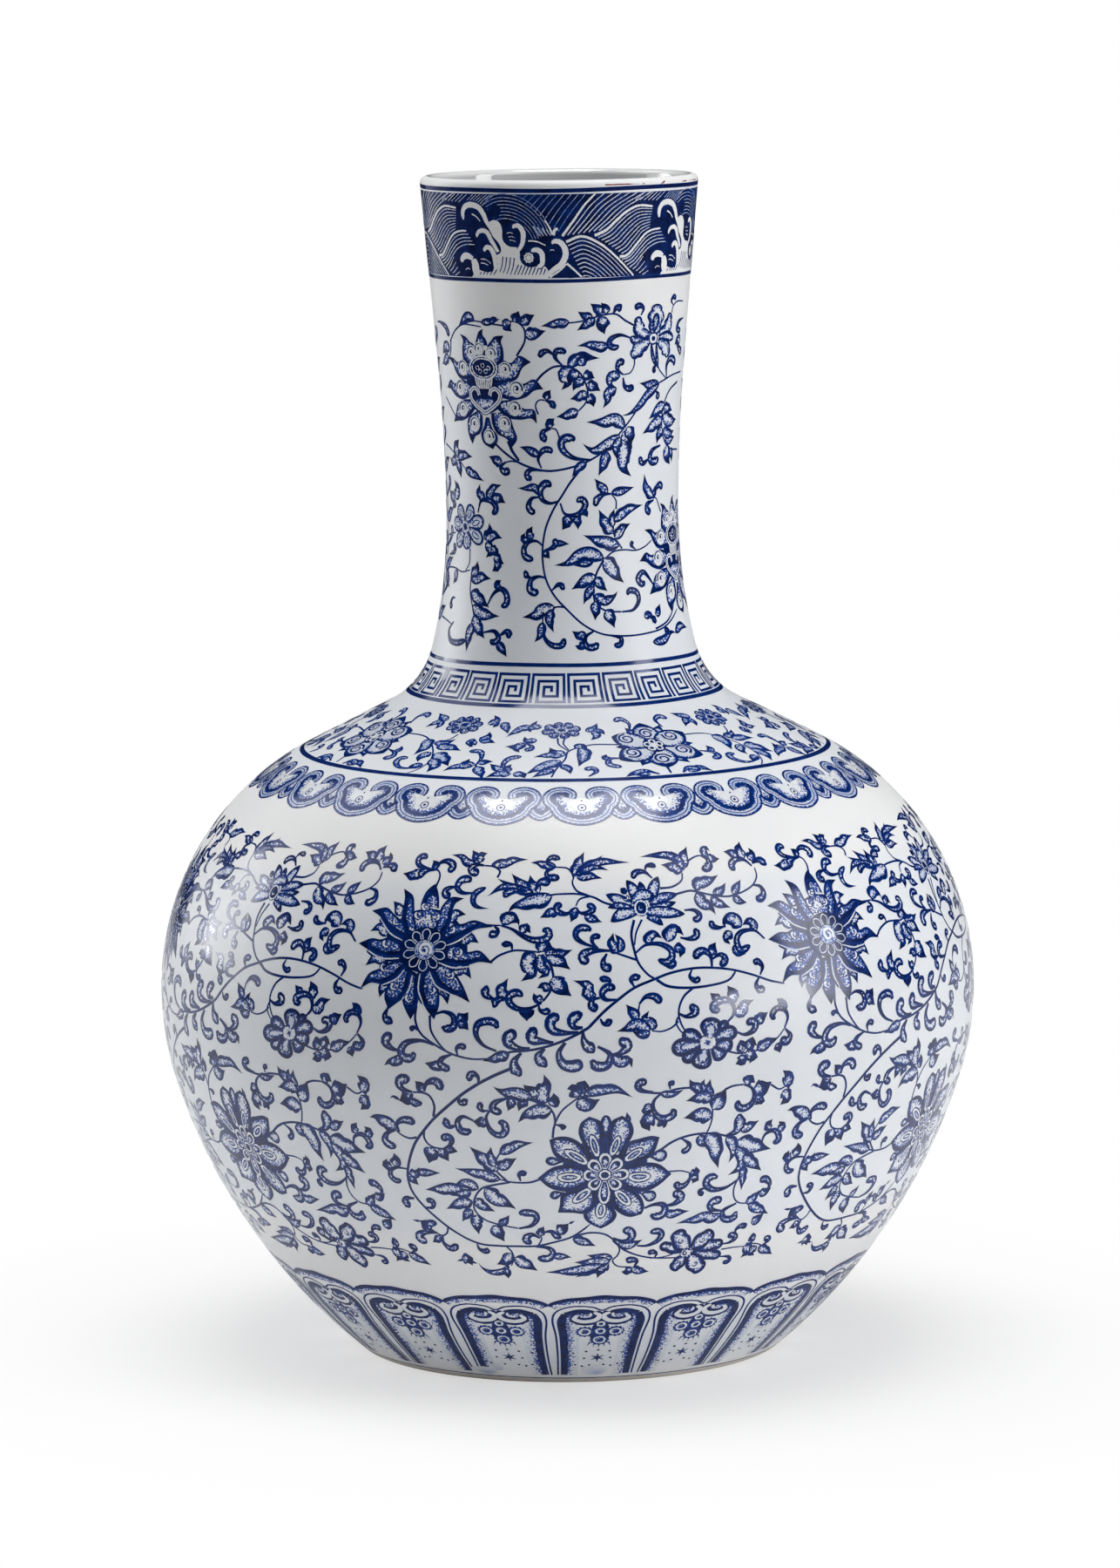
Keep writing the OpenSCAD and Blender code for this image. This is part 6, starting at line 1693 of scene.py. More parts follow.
def draw_waves(sheet):
    """Waves and foam: families of parallel white lines on the blue ground, and over them the white
    body of the foam with hatching, dark hollows and curling crests."""
    for count, half, wash, first, last in WAVE_FAMILIES:
        for line in between(count, first, last):
            draw_white(sheet, WAVE_LINE_SHARE * half, line, wash=wash + WAVE_DIM)
    for x, y, rx, ry in WAVE_GAPS:
        sheet.disc(x, y, rx, ry, SOLID, 0.2, layer=2)
    for first, second in ((WAVE_FOOT, WAVE_FOOT_TOP), (WAVE_BODY, WAVE_BODY_RIGHT)):
        sheet.patch(*places(first, second), layer=3, white=True)
    for count, *values in WAVE_HATCH:
        for line in between(count, values[:6], values[6:]):
            sheet.stroke("stem", 0.24, line, line=SOLID, layer=4, columns=2)
    for x, y, rx, ry in WAVE_HOLLOWS:
        sheet.disc(x, y, rx, ry, SOLID, 0.2, layer=4)
    for half, points in paths(WAVE_CURLS):
        sheet.stroke("foam", half + 0.4, points, line=SOLID, layer=3, columns=2)
        sheet.stroke("foam", half, points, **WHITE, wash=0.03, layer=5, columns=4)
    for family, half in WAVE_CRESTS:
        draw_white(sheet, half, WAVE_FAMILIES[family][3], layer=5)
    for half, points in paths(WAVE_STROKES):
        draw_white(sheet, half, points, layer=5)
    x, y, radius = WAVE_BALL
    sheet.disc(x, y, radius, radius, -1.0, 0.2, wash=0.05, layer=5)
    for a in turns(WAVE_SPIKES):
        way = np.array([np.cos(a), np.sin(a)])
        draw_white(sheet, 0.3, ((x, y) + 0.8 * radius * way, (x, y) + 1.25 * radius * way), layer=5,
                   form="wisp")
        sheet.disc(*(x, y) + 0.62 * radius * way, 0.26, 0.22, SOLID, 0.2, layer=6, spokes=8)


# Lights: the way to each from the vase as azimuth (0 towards the camera) and height in degrees,
# its distance, width and height in metres, and its power in watts
SOFT_LIGHTS = (
    ("Left softbox", -124.0, 4.0, 2.3, 1.75, 0.65, 5.0),
    ("Left side softbox", -118.0, 14.0, 2.3, 0.7, 1.0, 11.5),
    ("Left low softbox", -100.0, 10.0, 2.3, 0.8, 0.8, 4.0),
    ("Left high softbox", -100.0, 50.0, 2.4, 1.2, 1.2, 6.5),
    ("Left back softbox", -130.0, 40.0, 2.4, 1.0, 1.0, 4.0),
    ("Right softbox", 75.0, 17.0, 2.3, 0.7, 1.5, 17.0),
    ("Right high softbox", 60.0, 50.0, 2.4, 1.0, 1.0, 6.0),
    ("Right low softbox", 55.0, 4.0, 2.3, 1.2, 0.3, 11.0),
    ("Top softbox", 0.0, 90.0, 2.5, 1.5, 1.5, 50.0),
)
# Place that the lights point at, in metres
LIGHT_AIM = (0.0, 0.0, 0.2)
# Card of light on the floor round the foot: its height and width in metres, and watts
CARD_HEIGHT = 0.0006
CARD_WIDTH = 0.5
CARD_POWER = 0.1
# Light that the white background gives, as a share of what the camera sees of it
WORLD_STRENGTH = 0.01
# Floor: its width in metres, the waves of its grain in a metre and their strength and, as the
# camera sees it, the share of white near the vase and far from it, with the two distances in metres
FLOOR_SIZE = 60.0
FLOOR_GRAIN = (3.0, 0.05)
FLOOR_LIFT = (0.58, 1.0)
FLOOR_REACH = (0.1, 0.28)
WHITE_PAINT = (1.0, 1.0, 1.0, 1.0)
BLACK_PAINT = (0.0, 0.0, 0.0, 1.0)

# Glaze: its roughness and shine, the waves of a fine grain in a metre and what that adds to the
# roughness, and the waves, depth in metres and strength of its relief
GLAZE_ROUGHNESS = 0.38
GLAZE_SHINE = 0.3
GRAIN = (90.0, 0.05)
RELIEF = (380.0, 0.00003, 0.3)
# Faint clouds in the glaze: waves in a metre, detail, and the noise where they start and are full
CLOUDS = (16.0, 3.0, 0.35, 0.7)
# Heights between which ink has bled into the glaze, in metres, the length over which that fades, and
# the share of its colour that is left in a cloud
VEILS = ((0.004, 0.034), (0.058, 0.188), (0.205, 0.372))
VEIL_EDGE = 0.006
VEIL_SHADE = 0.95
# Bare clay: height of its edge on the foot, how ragged that is and how soft, in metres, its
# roughness, the share of its colour in the dark grains, and the waves of edge and grain in a metre
CLAY_TOP = 0.0016
CLAY_RAGGED = 0.0012
CLAY_EDGE = 0.0005
CLAY_ROUGHNESS = 0.8
CLAY_SHADE = 0.8
CLAY_WAVES = 220.0
CLAY_GRAIN = 600.0
# Slip: its roughness, the share of the clay's colour in the dark grains, the waves of those in a
# metre and their detail, and the depth in metres and strength of its relief
SLIP_ROUGHNESS = 0.75
SLIP_SHADE = 0.75
SLIP_GRAIN = (900.0, 3.0)
SLIP_RELIEF = (0.0002, 0.5)
# Glossy bore of the neck: mid-wall radius at the lip, its height, its flare and the half-width of
# its edge in metres, then the roughness that it takes off and its shine
BORE_RADIUS = 0.0468
BORE_TOP = 0.419
BORE_FLARE = 0.12
BORE_EDGE = 0.0005
BORE_POLISH = 0.35
BORE_SHINE = 0.9
# Brown marks on the lip: angles in degrees where each starts and ends, height where it starts,
# rise per radian and half of its width in metres
LIP_MARKS = (
    (19.0, 41.0, 0.4182, 0.0, 0.00024),
    (60.0, 87.0, 0.4181, 0.0, 0.00022),
    (41.5, 49.0, 0.4158, 0.022, 0.0003),
)
# Gaps worn in them: waves in a metre, detail, and the noise where a mark starts and is full
LIP_WEAR = (420.0, 2.0, 0.44, 0.56)

# Kinds of print: share of the lighter blue in solid ink, and shine of the glaze over it. The
# shoulder and its borders have less ink, and the glaze of the belly and the foot shines more.
INKS = {"Blue print": (0.0, 0.05), "Pale blue print": (0.2, 0.5), "Belly blue print": (0.05, 0.5)}
INK_ROUGHNESS = 0.12
# Outline of solid ink: how ragged and how soft it is, and the width of the thinner, bluer ink along
# the edge of a stroke, in millimetres
INK_RAGGED = 0.5
INK_EDGE = 0.2
BLEED = 0.4
# Dots behind an outline: cells in a metre, then, as shares of a cell, the radius of the smallest
# dot, what is added to it at the outline, and its soft edge, and how many cells have one there
DOT_CELLS = 1500.0
DOT_SIZE = 0.24
DOT_GROWTH = 0.45
DOT_EDGE = 0.16
DOT_CHANCE = 1.35
# Shortest reach of the dots, in millimetres
DOT_REACH = 0.05
# Patches of thicker and thinner ink: waves in a metre, detail, and the noise where they start and
# are full
PATCHES = (260.0, 3.0, 0.3, 0.75)
# What a patch adds to the wash and the share without one, the lighter blue that a patch and the edge
# of a stroke give to solid ink, and the middle blue that a patch gives to the dots
WASH_PATCH = (0.8, 0.6)
SOLID_PATCH = 0.35
SOLID_RIM = 0.5
DOT_PATCH = 0.2

# Sockets of the shader by short names
SOCKETS = {
    "colour": "Base Color", "roughness": "Roughness", "shine": "Specular IOR Level",
    "glow": "Emission Color", "glow_strength": "Emission Strength",
}
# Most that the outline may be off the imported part, in metres
FIT = 0.0008


def paint(colour_value, share=1.0):
    """A colour, or a darker share of it, with its alpha."""
    return (*(share * c for c in colour_value), 1.0)


class Nodes:
    """A material's node tree, with short ways to add and link its nodes."""

    def __init__(self, name):
        self.material = bpy.data.materials.new(name)
        self.material.use_nodes = True
        self.tree = self.material.node_tree
        self.shader = self.tree.nodes["Principled BSDF"]
        self.place = self.add("ShaderNodeTexCoord").outputs["Object"]

    def add(self, kind, **settings):
        """A node with its settings."""
        node = self.tree.nodes.new(kind)
        for key, value in settings.items():
            setattr(node, key, value)
        return node

    def put(self, socket, value):
        """Links an output to a socket, or sets a constant on it."""
        if isinstance(value, bpy.types.NodeSocket):
            self.tree.links.new(value, socket)
        else:
            socket.default_value = value

    def shade(self, **values):
        """Hands values to the shader, by the names of its sockets."""
        for key, value in values.items():
            self.put(self.shader.inputs[SOCKETS[key]], value)
        return self.material

    def math(self, operation, a, b=0.0, clamp=False):
        """Arithmetic on two values."""
        node = self.add("ShaderNodeMath", operation=operation, use_clamp=clamp)
        self.put(node.inputs[0], a)
        self.put(node.inputs[1], b)
        return node.outputs[0]

    def scaled(self, value, scale, base):
        """A value times a scale, plus a base."""
        return self.math("ADD", self.math("MULTIPLY", value, scale), base)

    def noise(self, scale, detail=2.0):
        """Noise in the object's own coordinates, with so many waves in a metre."""
        node = self.add("ShaderNodeTexNoise")
        self.put(node.inputs["Vector"], self.place)
        self.put(node.inputs["Scale"], scale)
        self.put(node.inputs["Detail"], detail)
        return node.outputs["Fac"]

    def mix(self, share, a, b):
        """A mix of two colours."""
        node = self.add("ShaderNodeMix", data_type="RGBA")
        self.put(node.inputs["Factor"], share)
        self.put(node.inputs[6], a)
        self.put(node.inputs[7], b)
        return node.outputs[2]

    def span(self, value, low, high):
        """0 at the low end of a range and 1 at its high end, clamped."""
        node = self.add("ShaderNodeMapRange", clamp=True)
        self.put(node.inputs["Value"], value)
        self.put(node.inputs["From Min"], low)
        self.put(node.inputs["From Max"], high)
        return node.outputs["Result"]

    def clouds(self, scale, detail, low, high):
        """Noise that grows from 0 to 1 over a part of its range."""
        return self.span(self.noise(scale, detail), low, high)

    def parts(self, vector):
        """The three parts of a vector."""
        node = self.add("ShaderNodeSeparateXYZ")
        self.put(node.inputs[0], vector)
        return [node.outputs[key] for key in "XYZ"]

    def radius(self):
        """Distance from the vase's axis, in metres."""
        flat = self.add("ShaderNodeVectorMath", operation="MULTIPLY")
        self.put(flat.inputs[0], self.place)
        self.put(flat.inputs[1], (1.0, 1.0, 0.0))
        out = self.add("ShaderNodeVectorMath", operation="LENGTH")
        self.put(out.inputs[0], flat.outputs[0])
        return out.outputs["Value"]

    def bump(self, height, distance, strength):
        """Fine relief on the surface."""
        node = self.add("ShaderNodeBump")
        self.put(node.inputs["Height"], height)
        self.put(node.inputs["Distance"], distance)
        self.put(node.inputs["Strength"], strength)
        self.put(self.shader.inputs["Normal"], node.outputs["Normal"])

    def glaze(self, colours):
        """Colour of the glazed porcelain: faint clouds, and a blue veil where the scrolls are printed."""
        clouds = self.clouds(*CLOUDS)
        plain = self.mix(clouds, paint(colours.porcelain), paint(colours.porcelain_shade))
        veiled = self.mix(clouds, paint(colours.veiled), paint(colours.veiled, VEIL_SHADE))
        height = self.parts(self.place)[2]
        veil = 0.0
        for low, high in VEILS:
            rise = self.span(height, low, low + VEIL_EDGE)
            fall = self.span(height, high, high - VEIL_EDGE)
            veil = self.math("ADD", self.math("MULTIPLY", rise, fall), veil, clamp=True)
        return self.mix(veil, plain, veiled)

    def glaze_roughness(self, base):
        """Roughness with a fine grain; the relief of the glaze goes to the shader."""
        self.bump(self.noise(RELIEF[0]), *RELIEF[1:])
        return self.scaled(self.noise(GRAIN[0]), GRAIN[1], base)


def bore_share(n, height):
    """1 on the inside of the neck and 0 outside it: the sides of a cone in the middle of its wall."""
    middle = n.scaled(n.math("SUBTRACT", height, BORE_TOP), BORE_FLARE, BORE_RADIUS)
    return n.span(n.math("SUBTRACT", n.radius(), middle), BORE_EDGE, -BORE_EDGE)


def lip_marks(n, x, y, height):
    """1 on the brown marks of the lip: narrow bands along it, each between two angles."""
    angle_value = n.math("ARCTAN2", x, n.math("MULTIPLY", y, -1.0))
    marks = 0.0
    for first, last, start, rise, half in LIP_MARKS:
        along = n.math("SUBTRACT", angle_value, float(np.radians(first)))
        off = n.math("SUBTRACT", height, n.scaled(along, rise, start))
        mark = n.math("LESS_THAN", n.math("ABSOLUTE", off), half)
        mark = n.math("MULTIPLY", mark, n.math("GREATER_THAN", along, 0.0))
        mark = n.math("MULTIPLY", mark, n.math("LESS_THAN", along, float(np.radians(last - first))))
        marks = n.math("ADD", mark, marks, clamp=True)
    return marks


def porcelain_material(colours):
    """Glazed porcelain, with bare clay on the ring that it stands on and worn brown marks on the lip."""
    n = Nodes("Porcelain")
    x, y, height = n.parts(n.place)
    ragged = n.math("MULTIPLY", n.noise(CLAY_WAVES), CLAY_RAGGED)
    bare = n.span(n.math("SUBTRACT", height, ragged), CLAY_TOP, CLAY_TOP - CLAY_EDGE)
    clay = n.mix(n.noise(CLAY_GRAIN), paint(colours.clay), paint(colours.clay, CLAY_SHADE))
    bore = bore_share(n, height)
    polish = n.math("MULTIPLY", bore, BORE_POLISH)
    rough = n.math("SUBTRACT", n.glaze_roughness(GLAZE_ROUGHNESS), polish)
    worn = n.math("MULTIPLY", n.clouds(*LIP_WEAR), n.math("SUBTRACT", 1.0, bore))
    marks = n.math("MULTIPLY", lip_marks(n, x, y, height), worn)
    skin = n.mix(marks, n.glaze(colours), paint(colours.stain))
    return n.shade(colour=n.mix(bare, skin, clay),
                   roughness=n.math("MAXIMUM", n.math("MULTIPLY", bare, CLAY_ROUGHNESS), rough),
                   shine=n.scaled(bore, BORE_SHINE - GLAZE_SHINE, GLAZE_SHINE))


def slip_material(colours):
    """Fired slip: matt clay with a fine grain."""
    n = Nodes("Slip")
    grain = n.noise(*SLIP_GRAIN)
    n.bump(grain, *SLIP_RELIEF)
    clay = n.mix(grain, paint(colours.clay), paint(colours.clay, SLIP_SHADE))
    return n.shade(colour=clay, roughness=SLIP_ROUGHNESS)


def ink_material(colours, kind):
    """Print under the glaze. The stroke attribute gives the distance from the edge, the width
    of the solid outline and the reach of the dots behind it; wash is the pale tint inside."""
    thin, shine = INKS[kind]
    n = Nodes(kind)
    edge, line, reach = n.parts(n.add("ShaderNodeAttribute", attribute_name="stroke").outputs["Vector"])
    wash = n.add("ShaderNodeAttribute", attribute_name="wash").outputs["Fac"]
    ragged = n.math("MULTIPLY", n.math("SUBTRACT", n.noise(DOT_CELLS), 0.5), INK_RAGGED)
    depth = n.math("SUBTRACT", n.math("ADD", edge, ragged), line)
    solid = n.math("SUBTRACT", 0.5, n.math("DIVIDE", depth, INK_EDGE), clamp=True)
    reach = n.math("MAXIMUM", reach, DOT_REACH)
    near = n.math("SUBTRACT", 1.0, n.math("DIVIDE", depth, reach), clamp=True)
    cells = n.add("ShaderNodeTexVoronoi")
    n.put(cells.inputs["Vector"], n.place)
    n.put(cells.inputs["Scale"], DOT_CELLS)
    inside = n.math("SUBTRACT", n.scaled(near, DOT_GROWTH, DOT_SIZE), cells.outputs["Distance"])
    dots = n.math("ADD", n.math("DIVIDE", inside, DOT_EDGE), 0.5, clamp=True)
    chance = n.parts(cells.outputs["Color"])[0]
    dots = n.math("MULTIPLY", dots, n.math("GREATER_THAN", n.math("MULTIPLY", near, DOT_CHANCE), chance))
    patchy = n.clouds(*PATCHES)
    tint = n.math("MULTIPLY", wash, n.scaled(patchy, *WASH_PATCH), clamp=True)
    pale = n.mix(tint, n.glaze(colours), paint(colours.blue))
    rim = n.math("SUBTRACT", 1.0, n.math("DIVIDE", n.math("ABSOLUTE", edge), BLEED), clamp=True)
    clear = n.math("ADD", n.math("MULTIPLY", patchy, SOLID_PATCH), n.math("MULTIPLY", rim, SOLID_RIM))
    clear = n.math("ADD", clear, thin, clamp=True)
    deep = n.mix(clear, paint(colours.navy), paint(colours.cobalt))
    dot = n.mix(n.math("MULTIPLY", patchy, DOT_PATCH), paint(colours.cobalt), paint(colours.blue))
    return n.shade(colour=n.mix(solid, n.mix(dots, pale, dot), deep),
                   roughness=n.glaze_roughness(INK_ROUGHNESS), shine=shine)


def floor_material(colours):
    """Matt floor; for the camera its colour gives way to white, more so far from the vase."""
    n = Nodes("Floor")
    bare = n.mix(n.math("MULTIPLY", n.noise(FLOOR_GRAIN[0]), FLOOR_GRAIN[1]), paint(colours.floor),
                 WHITE_PAINT)
    seen = n.add("ShaderNodeLightPath").outputs["Is Camera Ray"]
    far = n.span(n.radius(), *FLOOR_REACH)
    lift = n.math("MULTIPLY", seen, n.scaled(far, FLOOR_LIFT[1] - FLOOR_LIFT[0], FLOOR_LIFT[0]))
    return n.shade(colour=n.mix(lift, bare, BLACK_PAINT), roughness=1.0, shine=0.0,
                   glow=WHITE_PAINT, glow_strength=lift)


def material(kind, colours):
    """The material of a kind, made the first time that it is asked for."""
    found = bpy.data.materials.get(kind)
    if found:
        return found
    if kind in INKS:
        return ink_material(colours, kind)
    return {"Porcelain": porcelain_material, "Slip": slip_material}[kind](colours)


def add_piece(context, name, mesh, kind, slot, *nodes):
    """Puts a mesh in the scene as a piece that stands for CAD nodes."""
    mesh.materials.append(material(kind, context.scene.vase_colours))
    piece = bpy.data.objects.new(name, mesh)
    context.scene.collection.objects.link(piece)
    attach(piece, "root")
    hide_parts(*nodes)


def add_print(context, name, node, reach, offsets, kind, *draws):
    """Makes one piece of the print: each draw, a function with its values, adds to a drawing, which
    is then wrapped round the vase at each of the angles in offsets."""
    sheet = Sheet(reach)
    for draw, *values in draws:
        draw(sheet, *values)
    mesh = sheet.mesh(name, Outline(context.scene.vase_sizes), offsets)
    add_piece(context, name, mesh, kind, "blue_print", node)


def turns(repeats, start=0.0):
    """Angles of the repeats of a print."""
    return np.radians(start) + FULL_TURN * np.arange(repeats) / repeats


def neck_runs(o):
    """Section of the neck: up the outside, round the lip, down the bore and along the joint."""
    root, slip, wall = o.sizes["neck_root_lean"], o.slip_turn["neck"], o.sizes["neck_wall"]
    inside = back_run(chain_run([arc_part(o.neck_low, root + slip, 0.0), o.neck_high], -wall))
    return [chain_run([arc_part(o.neck_low, root + slip / 2, 0.0), o.neck_high, o.lip]),
            line_run(arc_end(o.lip), inside[0][0]), inside,
            *faceted(joint_step(o.neck_low, root + slip / 2, root + slip, wall)[::-1])]


def upper_body_runs(o):
    """Section of the upper body: shoulder and neck root between two joints."""
    root, lean, wall = o.sizes["neck_root_lean"], o.sizes["shoulder_lean"], o.sizes["body_wall"]
    belly, neck = o.slip_turn["belly"], o.slip_turn["neck"]
    joint = arc_part(o.neck_low, root, root + neck / 2)
    return [chain_run([arc_part(o.upper_globe, belly / 2, lean), o.neck_root, joint]),
            *faceted(joint_step(o.neck_low, root + neck / 2, root, wall)),
            back_run(chain_run([arc_part(o.upper_globe, belly, lean), o.neck_root], -wall)),
            *faceted(joint_step(o.upper_globe, belly / 2, belly, wall)[::-1])]


def lower_body_runs(o):
    """Section of the lower body: from the foot joint up over the widest line."""
    turn, wall = o.sizes["lower_globe_turn"], o.sizes["body_wall"]
    belly, foot, low = o.slip_turn["belly"], o.slip_turn["foot"], o.foot_joint
    globe = arc_part(o.lower_globe, -turn, 0.0)
    joint = arc_part(o.upper_globe, 0.0, belly / 2)
    return [chain_run([arc_part(o.tuck, low + foot / 2, -turn), globe, joint]),
            *faceted(joint_step(o.upper_globe, belly / 2, 0.0, wall)),
            back_run(chain_run([arc_part(o.tuck, low + foot, -turn), globe], -wall)),
            *faceted(joint_step(o.tuck, low + foot / 2, low + foot, wall)[::-1])]


def foot_runs(o):
    """Section of the foot: recess, bare ring, outside up to the joint, and the floor inside."""
    s, wall = o.sizes, o.sizes["body_wall"]
    low, foot = o.foot_joint, o.slip_turn["foot"]
    ring = o.foot_edge[0][0]
    ring_in = ring - s["foot_ring_w"]
    under = [(0.0, s["recess_h"]), (ring_in - s["foot_ring_draft"], s["recess_h"]), (ring_in, 0.0),
             (ring, 0.0)]
    edge = arc_part(o.foot_edge, -np.pi / 2, o.tuck[3])
    inside = back_run(arc_run(arc_part(o.tuck, o.floor_lean, low), -wall))
    return [*faceted(under), chain_run([edge, arc_part(o.tuck, o.tuck[3], low + foot / 2)]),
            *faceted(joint_step(o.tuck, low + foot / 2, low, wall)), inside,
            line_run(inside[0][-1], (0.0, o.floor_top))]


def slip_runs(o, arc, start, turn):
    """Section of a ring of slip: what fills a joint behind the glaze, with a bead inside."""
    arc = arc_part(arc, start, start + turn)
    outside = arc_run(arc, -GLAZE_DEPTH)
    inside = back_run(arc_run(arc, -o.sizes["body_wall"] - o.sizes["slip_bead"]))
    return [outside, line_run(outside[0][-1], inside[0][0]), inside, line_run(inside[0][-1], outside[0][0])]


def check_fit(o):
    """Stops the script where the outline isn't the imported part's."""
    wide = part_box("lower_body")[1].x
    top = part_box("neck")[1].z
    if abs(wide - o.sizes["belly_r"] * MM) > FIT or abs(top - o.sizes["overall_h"] * MM) > FIT:
        raise RuntimeError(f"the outline is off the packed part, which is {wide} wide and {top} high")


class VASE_OT_walls(bpy.types.Operator):
    """Make the neck, the upper body, the lower body and the foot"""
    bl_idname = "vase.walls"
    bl_label = "Glazed walls"

    def execute(self, context):
        o = Outline(context.scene.vase_sizes)
        check_fit(o)
        for name, node, runs, slot in (
            ("neck_wall", "neck", neck_runs, "porcelain"),
            ("upper_body_wall", "upper_body", upper_body_runs, "porcelain"),
            ("lower_body_wall", "lower_body", lower_body_runs, "porcelain"),
            ("foot_wall", "foot", foot_runs, "foot_clay"),
        ):
            add_piece(context, name, lathe(name, runs(o)), "Porcelain", slot, node)
        return {"FINISHED"}


class VASE_OT_slips(bpy.types.Operator):
    """Make the three rings of slip that join the walls"""
    bl_idname = "vase.slips"
    bl_label = "Slip joints"

    def execute(self, context):
        o = Outline(context.scene.vase_sizes)
        for key, arc, start in (
            ("neck", o.neck_low, o.sizes["neck_root_lean"]),
            ("belly", o.upper_globe, 0.0),
            ("foot", o.tuck, o.foot_joint),
        ):
            name = f"{key}_slip_ring"
            mesh = lathe(name, slip_runs(o, arc, start, o.slip_turn[key]))
            add_piece(context, name, mesh, "Slip", "slip", f"{key}_slip_joint")
        return {"FINISHED"}


class VASE_OT_wave_print(bpy.types.Operator):
    """Make the band of waves under the lip"""
    bl_idname = "vase.wave_print"
    bl_label = "Wave band"

    def execute(self, context):
        add_print(context, "wave_ground_print", "wave_transfer", WAVE_REACH, turns(1), "Blue print",
                  (draw_wave_ground,), (draw_ring_lines, WAVE_LINES))
        add_print(context, "wave_foam_print", "wave_transfer", WAVE_REACH, turns(WAVE_REPEATS),
                  "Blue print", (draw_waves,))
        return {"FINISHED"}


class VASE_OT_neck_print(bpy.types.Operator):
    """Make the lotus scroll of the neck"""
    bl_idname = "vase.neck_print"
    bl_label = "Neck scroll"

    def execute(self, context):
        place = "neck_scroll_transfer", NECK_REACH, turns(NECK_REPEATS), "Blue print"
        add_print(context, "neck_vine_print", *place,
                  (draw_vines, in_degrees(NECK_STEMS, NECK_REACH)),
                  (draw_curls, in_degrees(NECK_CURLS, NECK_REACH)),
                  (draw_leaves, in_degrees(NECK_LEAVES, NECK_REACH)), (draw_side_vine,))
        lotuses = [(draw_neck_lotus, shift) for shift in NECK_LOTUS_SHIFTS]
        add_print(context, "neck_flower_print", *place, *lotuses, (draw_hanger,), (draw_small_neck_flower,))
        return {"FINISHED"}


class VASE_OT_fret_print(bpy.types.Operator):
    """Make the square fret round the root of the neck"""
    bl_idname = "vase.fret_print"
    bl_label = "Fret"

    def execute(self, context):
        add_print(context, "fret_print", "fret_transfer", FRET_REACH, turns(FRET_REPEATS, FRET_START),
                  "Pale blue print", (draw_fret,))
        add_print(context, "fret_line_print", "fret_transfer", FRET_REACH, turns(1), "Pale blue print",
                  (draw_ring_lines, FRET_LINES))
        return {"FINISHED"}


class VASE_OT_shoulder_print(bpy.types.Operator):
    """Make the scroll of flowers on the shoulder"""
    bl_idname = "vase.shoulder_print"
    bl_label = "Shoulder scroll"

    def execute(self, context):
        place = "shoulder_scroll_transfer", SHOULDER_REACH
        for i, (start, stretch) in enumerate(SHOULDER_STRIPS):
            add_print(context, f"shoulder_print_{i + 1}", *place, np.radians([start]), "Pale blue print",
                      (draw_shoulder_strip, stretch))
        add_print(context, "shoulder_line_print", *place, turns(1), "Pale blue print",
                  (draw_ring_lines, SHOULDER_LINES))
        return {"FINISHED"}


class VASE_OT_lappet_print(bpy.types.Operator):
    """Make the ring of lappets below the shoulder"""
    bl_idname = "vase.lappet_print"
    bl_label = "Lappets"

    def execute(self, context):
        add_print(context, "lappet_print", "lappet_transfer", LAPPET_REACH,
                  turns(LAPPET_REPEATS, LAPPET_START), "Pale blue print", (draw_lappet,))
        return {"FINISHED"}


class VASE_OT_belly_print(bpy.types.Operator):
    """Make the lotus scroll of the belly"""
    bl_idname = "vase.belly_print"
    bl_label = "Belly scroll"

    def execute(self, context):
        for name, *draws in (
            ("belly_vine_print", (draw_vines, BELLY_STEMS)),
            ("belly_curl_print", (draw_curls, BELLY_CURLS)),
            ("belly_leaf_print", (draw_leaves, BELLY_LEAVES)),
            ("belly_flower_print", (draw_flame_flower,), (draw_half_lotus,), (draw_rosette,),
             (draw_great_flower,), (draw_small_flower,)),
        ):
            add_print(context, name, "belly_scroll_transfer", BELLY_REACH, turns(BELLY_REPEATS),
                      "Belly blue print", *draws)
        return {"FINISHED"}


class VASE_OT_panel_print(bpy.types.Operator):
    """Make the ring of petal panels round the foot"""
    bl_idname = "vase.panel_print"
    bl_label = "Petal panels"

    def execute(self, context):
        add_print(context, "panel_print", "petal_transfer", PANEL_REACH, turns(PANEL_REPEATS, PANEL_START),
                  "Belly blue print", (draw_panel,))
        add_print(context, "foot_line_print", "petal_transfer", PANEL_REACH, turns(1), "Belly blue print",
                  (draw_ring_lines, FOOT_LINES), (draw_smears,))
        return {"FINISHED"}


def add_floor(scene):
    """Lays the studio's floor under the vase."""
    half = FLOOR_SIZE / 2
    mesh = bpy.data.meshes.new("Floor")
    corners = [(-half, -half, 0), (half, -half, 0), (half, half, 0), (-half, half, 0)]
    mesh.from_pydata(corners, [], [(0, 1, 2, 3)])
    mesh.materials.append(floor_material(scene.vase_colours))
    floor = bpy.data.objects.new("Floor", mesh)
    scene.collection.objects.link(floor)


def add_light(scene, name, shape, wide, tall, power):
    """Adds an area light, which its caller then places."""
    data = bpy.data.lights.new(name, "AREA")
    data.shape = shape
    data.size = wide
    data.size_y = tall
    data.energy = power
    light = bpy.data.objects.new(name, data)
    scene.collection.objects.link(light)
    return light


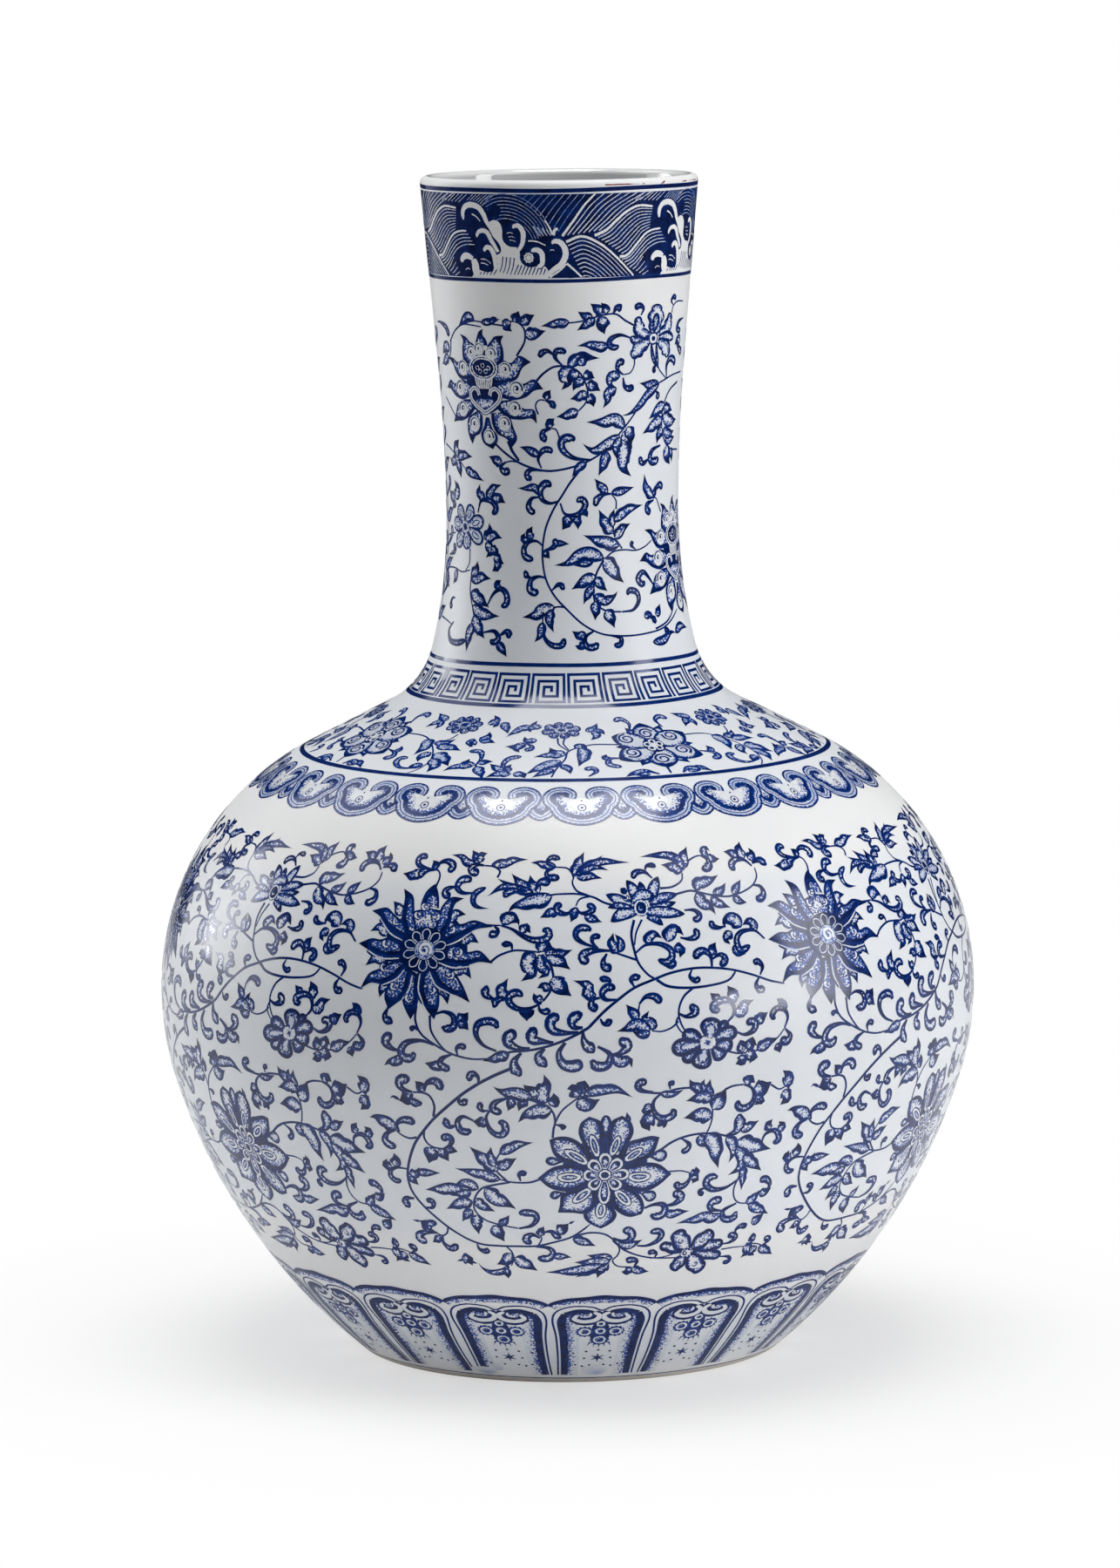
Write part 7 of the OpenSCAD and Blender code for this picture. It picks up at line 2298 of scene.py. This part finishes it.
def add_lights(scene):
    """Sets the softboxes round the vase, and the card of light on the floor."""
    for name, azimuth, height, distance, wide, tall, power in SOFT_LIGHTS:
        round_, up = np.radians(azimuth), np.radians(height)
        way = Vector((np.sin(round_) * np.cos(up), -np.cos(round_) * np.cos(up), np.sin(up)))
        light = add_light(scene, name, "RECTANGLE", wide, tall, power)
        light.location = Vector(LIGHT_AIM) + distance * way
        light.rotation_euler = way.to_track_quat("Z", "Y").to_euler()
    card = add_light(scene, "Floor card", "DISK", CARD_WIDTH, CARD_WIDTH, CARD_POWER)
    card.location = (0.0, 0.0, CARD_HEIGHT)
    card.rotation_euler = (np.pi, 0.0, 0.0)
    card.visible_camera = False
    card.visible_glossy = False


def add_world(scene):
    """Makes the background white for the camera and almost dark for everything else."""
    world = bpy.data.worlds.new("Studio")
    world.use_nodes = True
    nodes, links = world.node_tree.nodes, world.node_tree.links
    nodes["Background"].inputs["Color"].default_value = WHITE_PAINT
    strength = nodes.new("ShaderNodeMath")
    strength.operation = "MAXIMUM"
    strength.inputs[1].default_value = WORLD_STRENGTH
    links.new(nodes.new("ShaderNodeLightPath").outputs["Is Camera Ray"], strength.inputs[0])
    links.new(strength.outputs[0], nodes["Background"].inputs["Strength"])
    scene.world = world


def add_camera(scene):
    """Sets the photograph's camera: it looks ahead by pitch and yaw and is rolled about that way."""
    pitch, yaw, roll = (np.radians(a) for a in (CAMERA_PITCH, CAMERA_YAW, CAMERA_ROLL))
    ahead = Vector((-np.sin(yaw) * np.cos(pitch), np.cos(yaw) * np.cos(pitch), -np.sin(pitch)))
    right = Vector((np.cos(yaw), np.sin(yaw), 0.0))
    up = right.cross(ahead)
    data = bpy.data.cameras.new("Camera")
    data.sensor_fit = "VERTICAL"
    data.sensor_height = SENSOR
    data.lens = LENS
    data.clip_end = 2 * FLOOR_SIZE
    camera = bpy.data.objects.new("Camera", data)
    axes = (right * np.cos(roll) - up * np.sin(roll), right * np.sin(roll) + up * np.cos(roll), -ahead)
    camera.matrix_world = Matrix.Translation(CAMERA_PLACE) @ Matrix(axes).transposed().to_4x4()
    scene.collection.objects.link(camera)
    scene.camera = camera


class VASE_OT_stage(bpy.types.Operator):
    """Set the floor, the lights and the camera of the photograph"""
    bl_idname = "vase.stage"
    bl_label = "Studio"

    def execute(self, context):
        for add in (add_floor, add_lights, add_world, add_camera):
            add(context.scene)
        context.scene.view_settings.view_transform = "Standard"
        return {"FINISHED"}


OPERATORS = (VASE_OT_walls, VASE_OT_slips, VASE_OT_wave_print, VASE_OT_neck_print, VASE_OT_fret_print,
             VASE_OT_shoulder_print, VASE_OT_lappet_print, VASE_OT_belly_print, VASE_OT_panel_print,
             VASE_OT_stage)


class VASE_PT_sidebar(bpy.types.Panel):
    """Sizes, colours and makers of the vase"""
    bl_idname = "VASE_PT_sidebar"
    bl_label = "Porcelain vase"
    bl_space_type = "VIEW_3D"
    bl_region_type = "UI"
    bl_category = "Vase"

    def draw(self, context):
        for operator in OPERATORS:
            self.layout.operator(operator.bl_idname)
        for group in (context.scene.vase_sizes, context.scene.vase_colours):
            column = self.layout.column()
            for key in type(group).__annotations__:
                column.prop(group, key)


CLASSES = (VaseSizes, VaseColours, *OPERATORS, VASE_PT_sidebar)


def register():
    """Adds the classes and the scene's settings."""
    for cls in CLASSES:
        bpy.utils.register_class(cls)
    bpy.types.Scene.vase_sizes = PointerProperty(type=VaseSizes)
    bpy.types.Scene.vase_colours = PointerProperty(type=VaseColours)


def unregister():
    """Takes them out again."""
    del bpy.types.Scene.vase_colours
    del bpy.types.Scene.vase_sizes
    for cls in reversed(CLASSES):
        bpy.utils.unregister_class(cls)


def main():
    """Builds the vase and its studio."""
    register()
    for operator in OPERATORS:
        group, name = operator.bl_idname.split(".")
        if getattr(getattr(bpy.ops, group), name)() != {"FINISHED"}:
            raise RuntimeError(f"{operator.bl_idname} didn't finish")


if __name__ == "__main__":
    main()
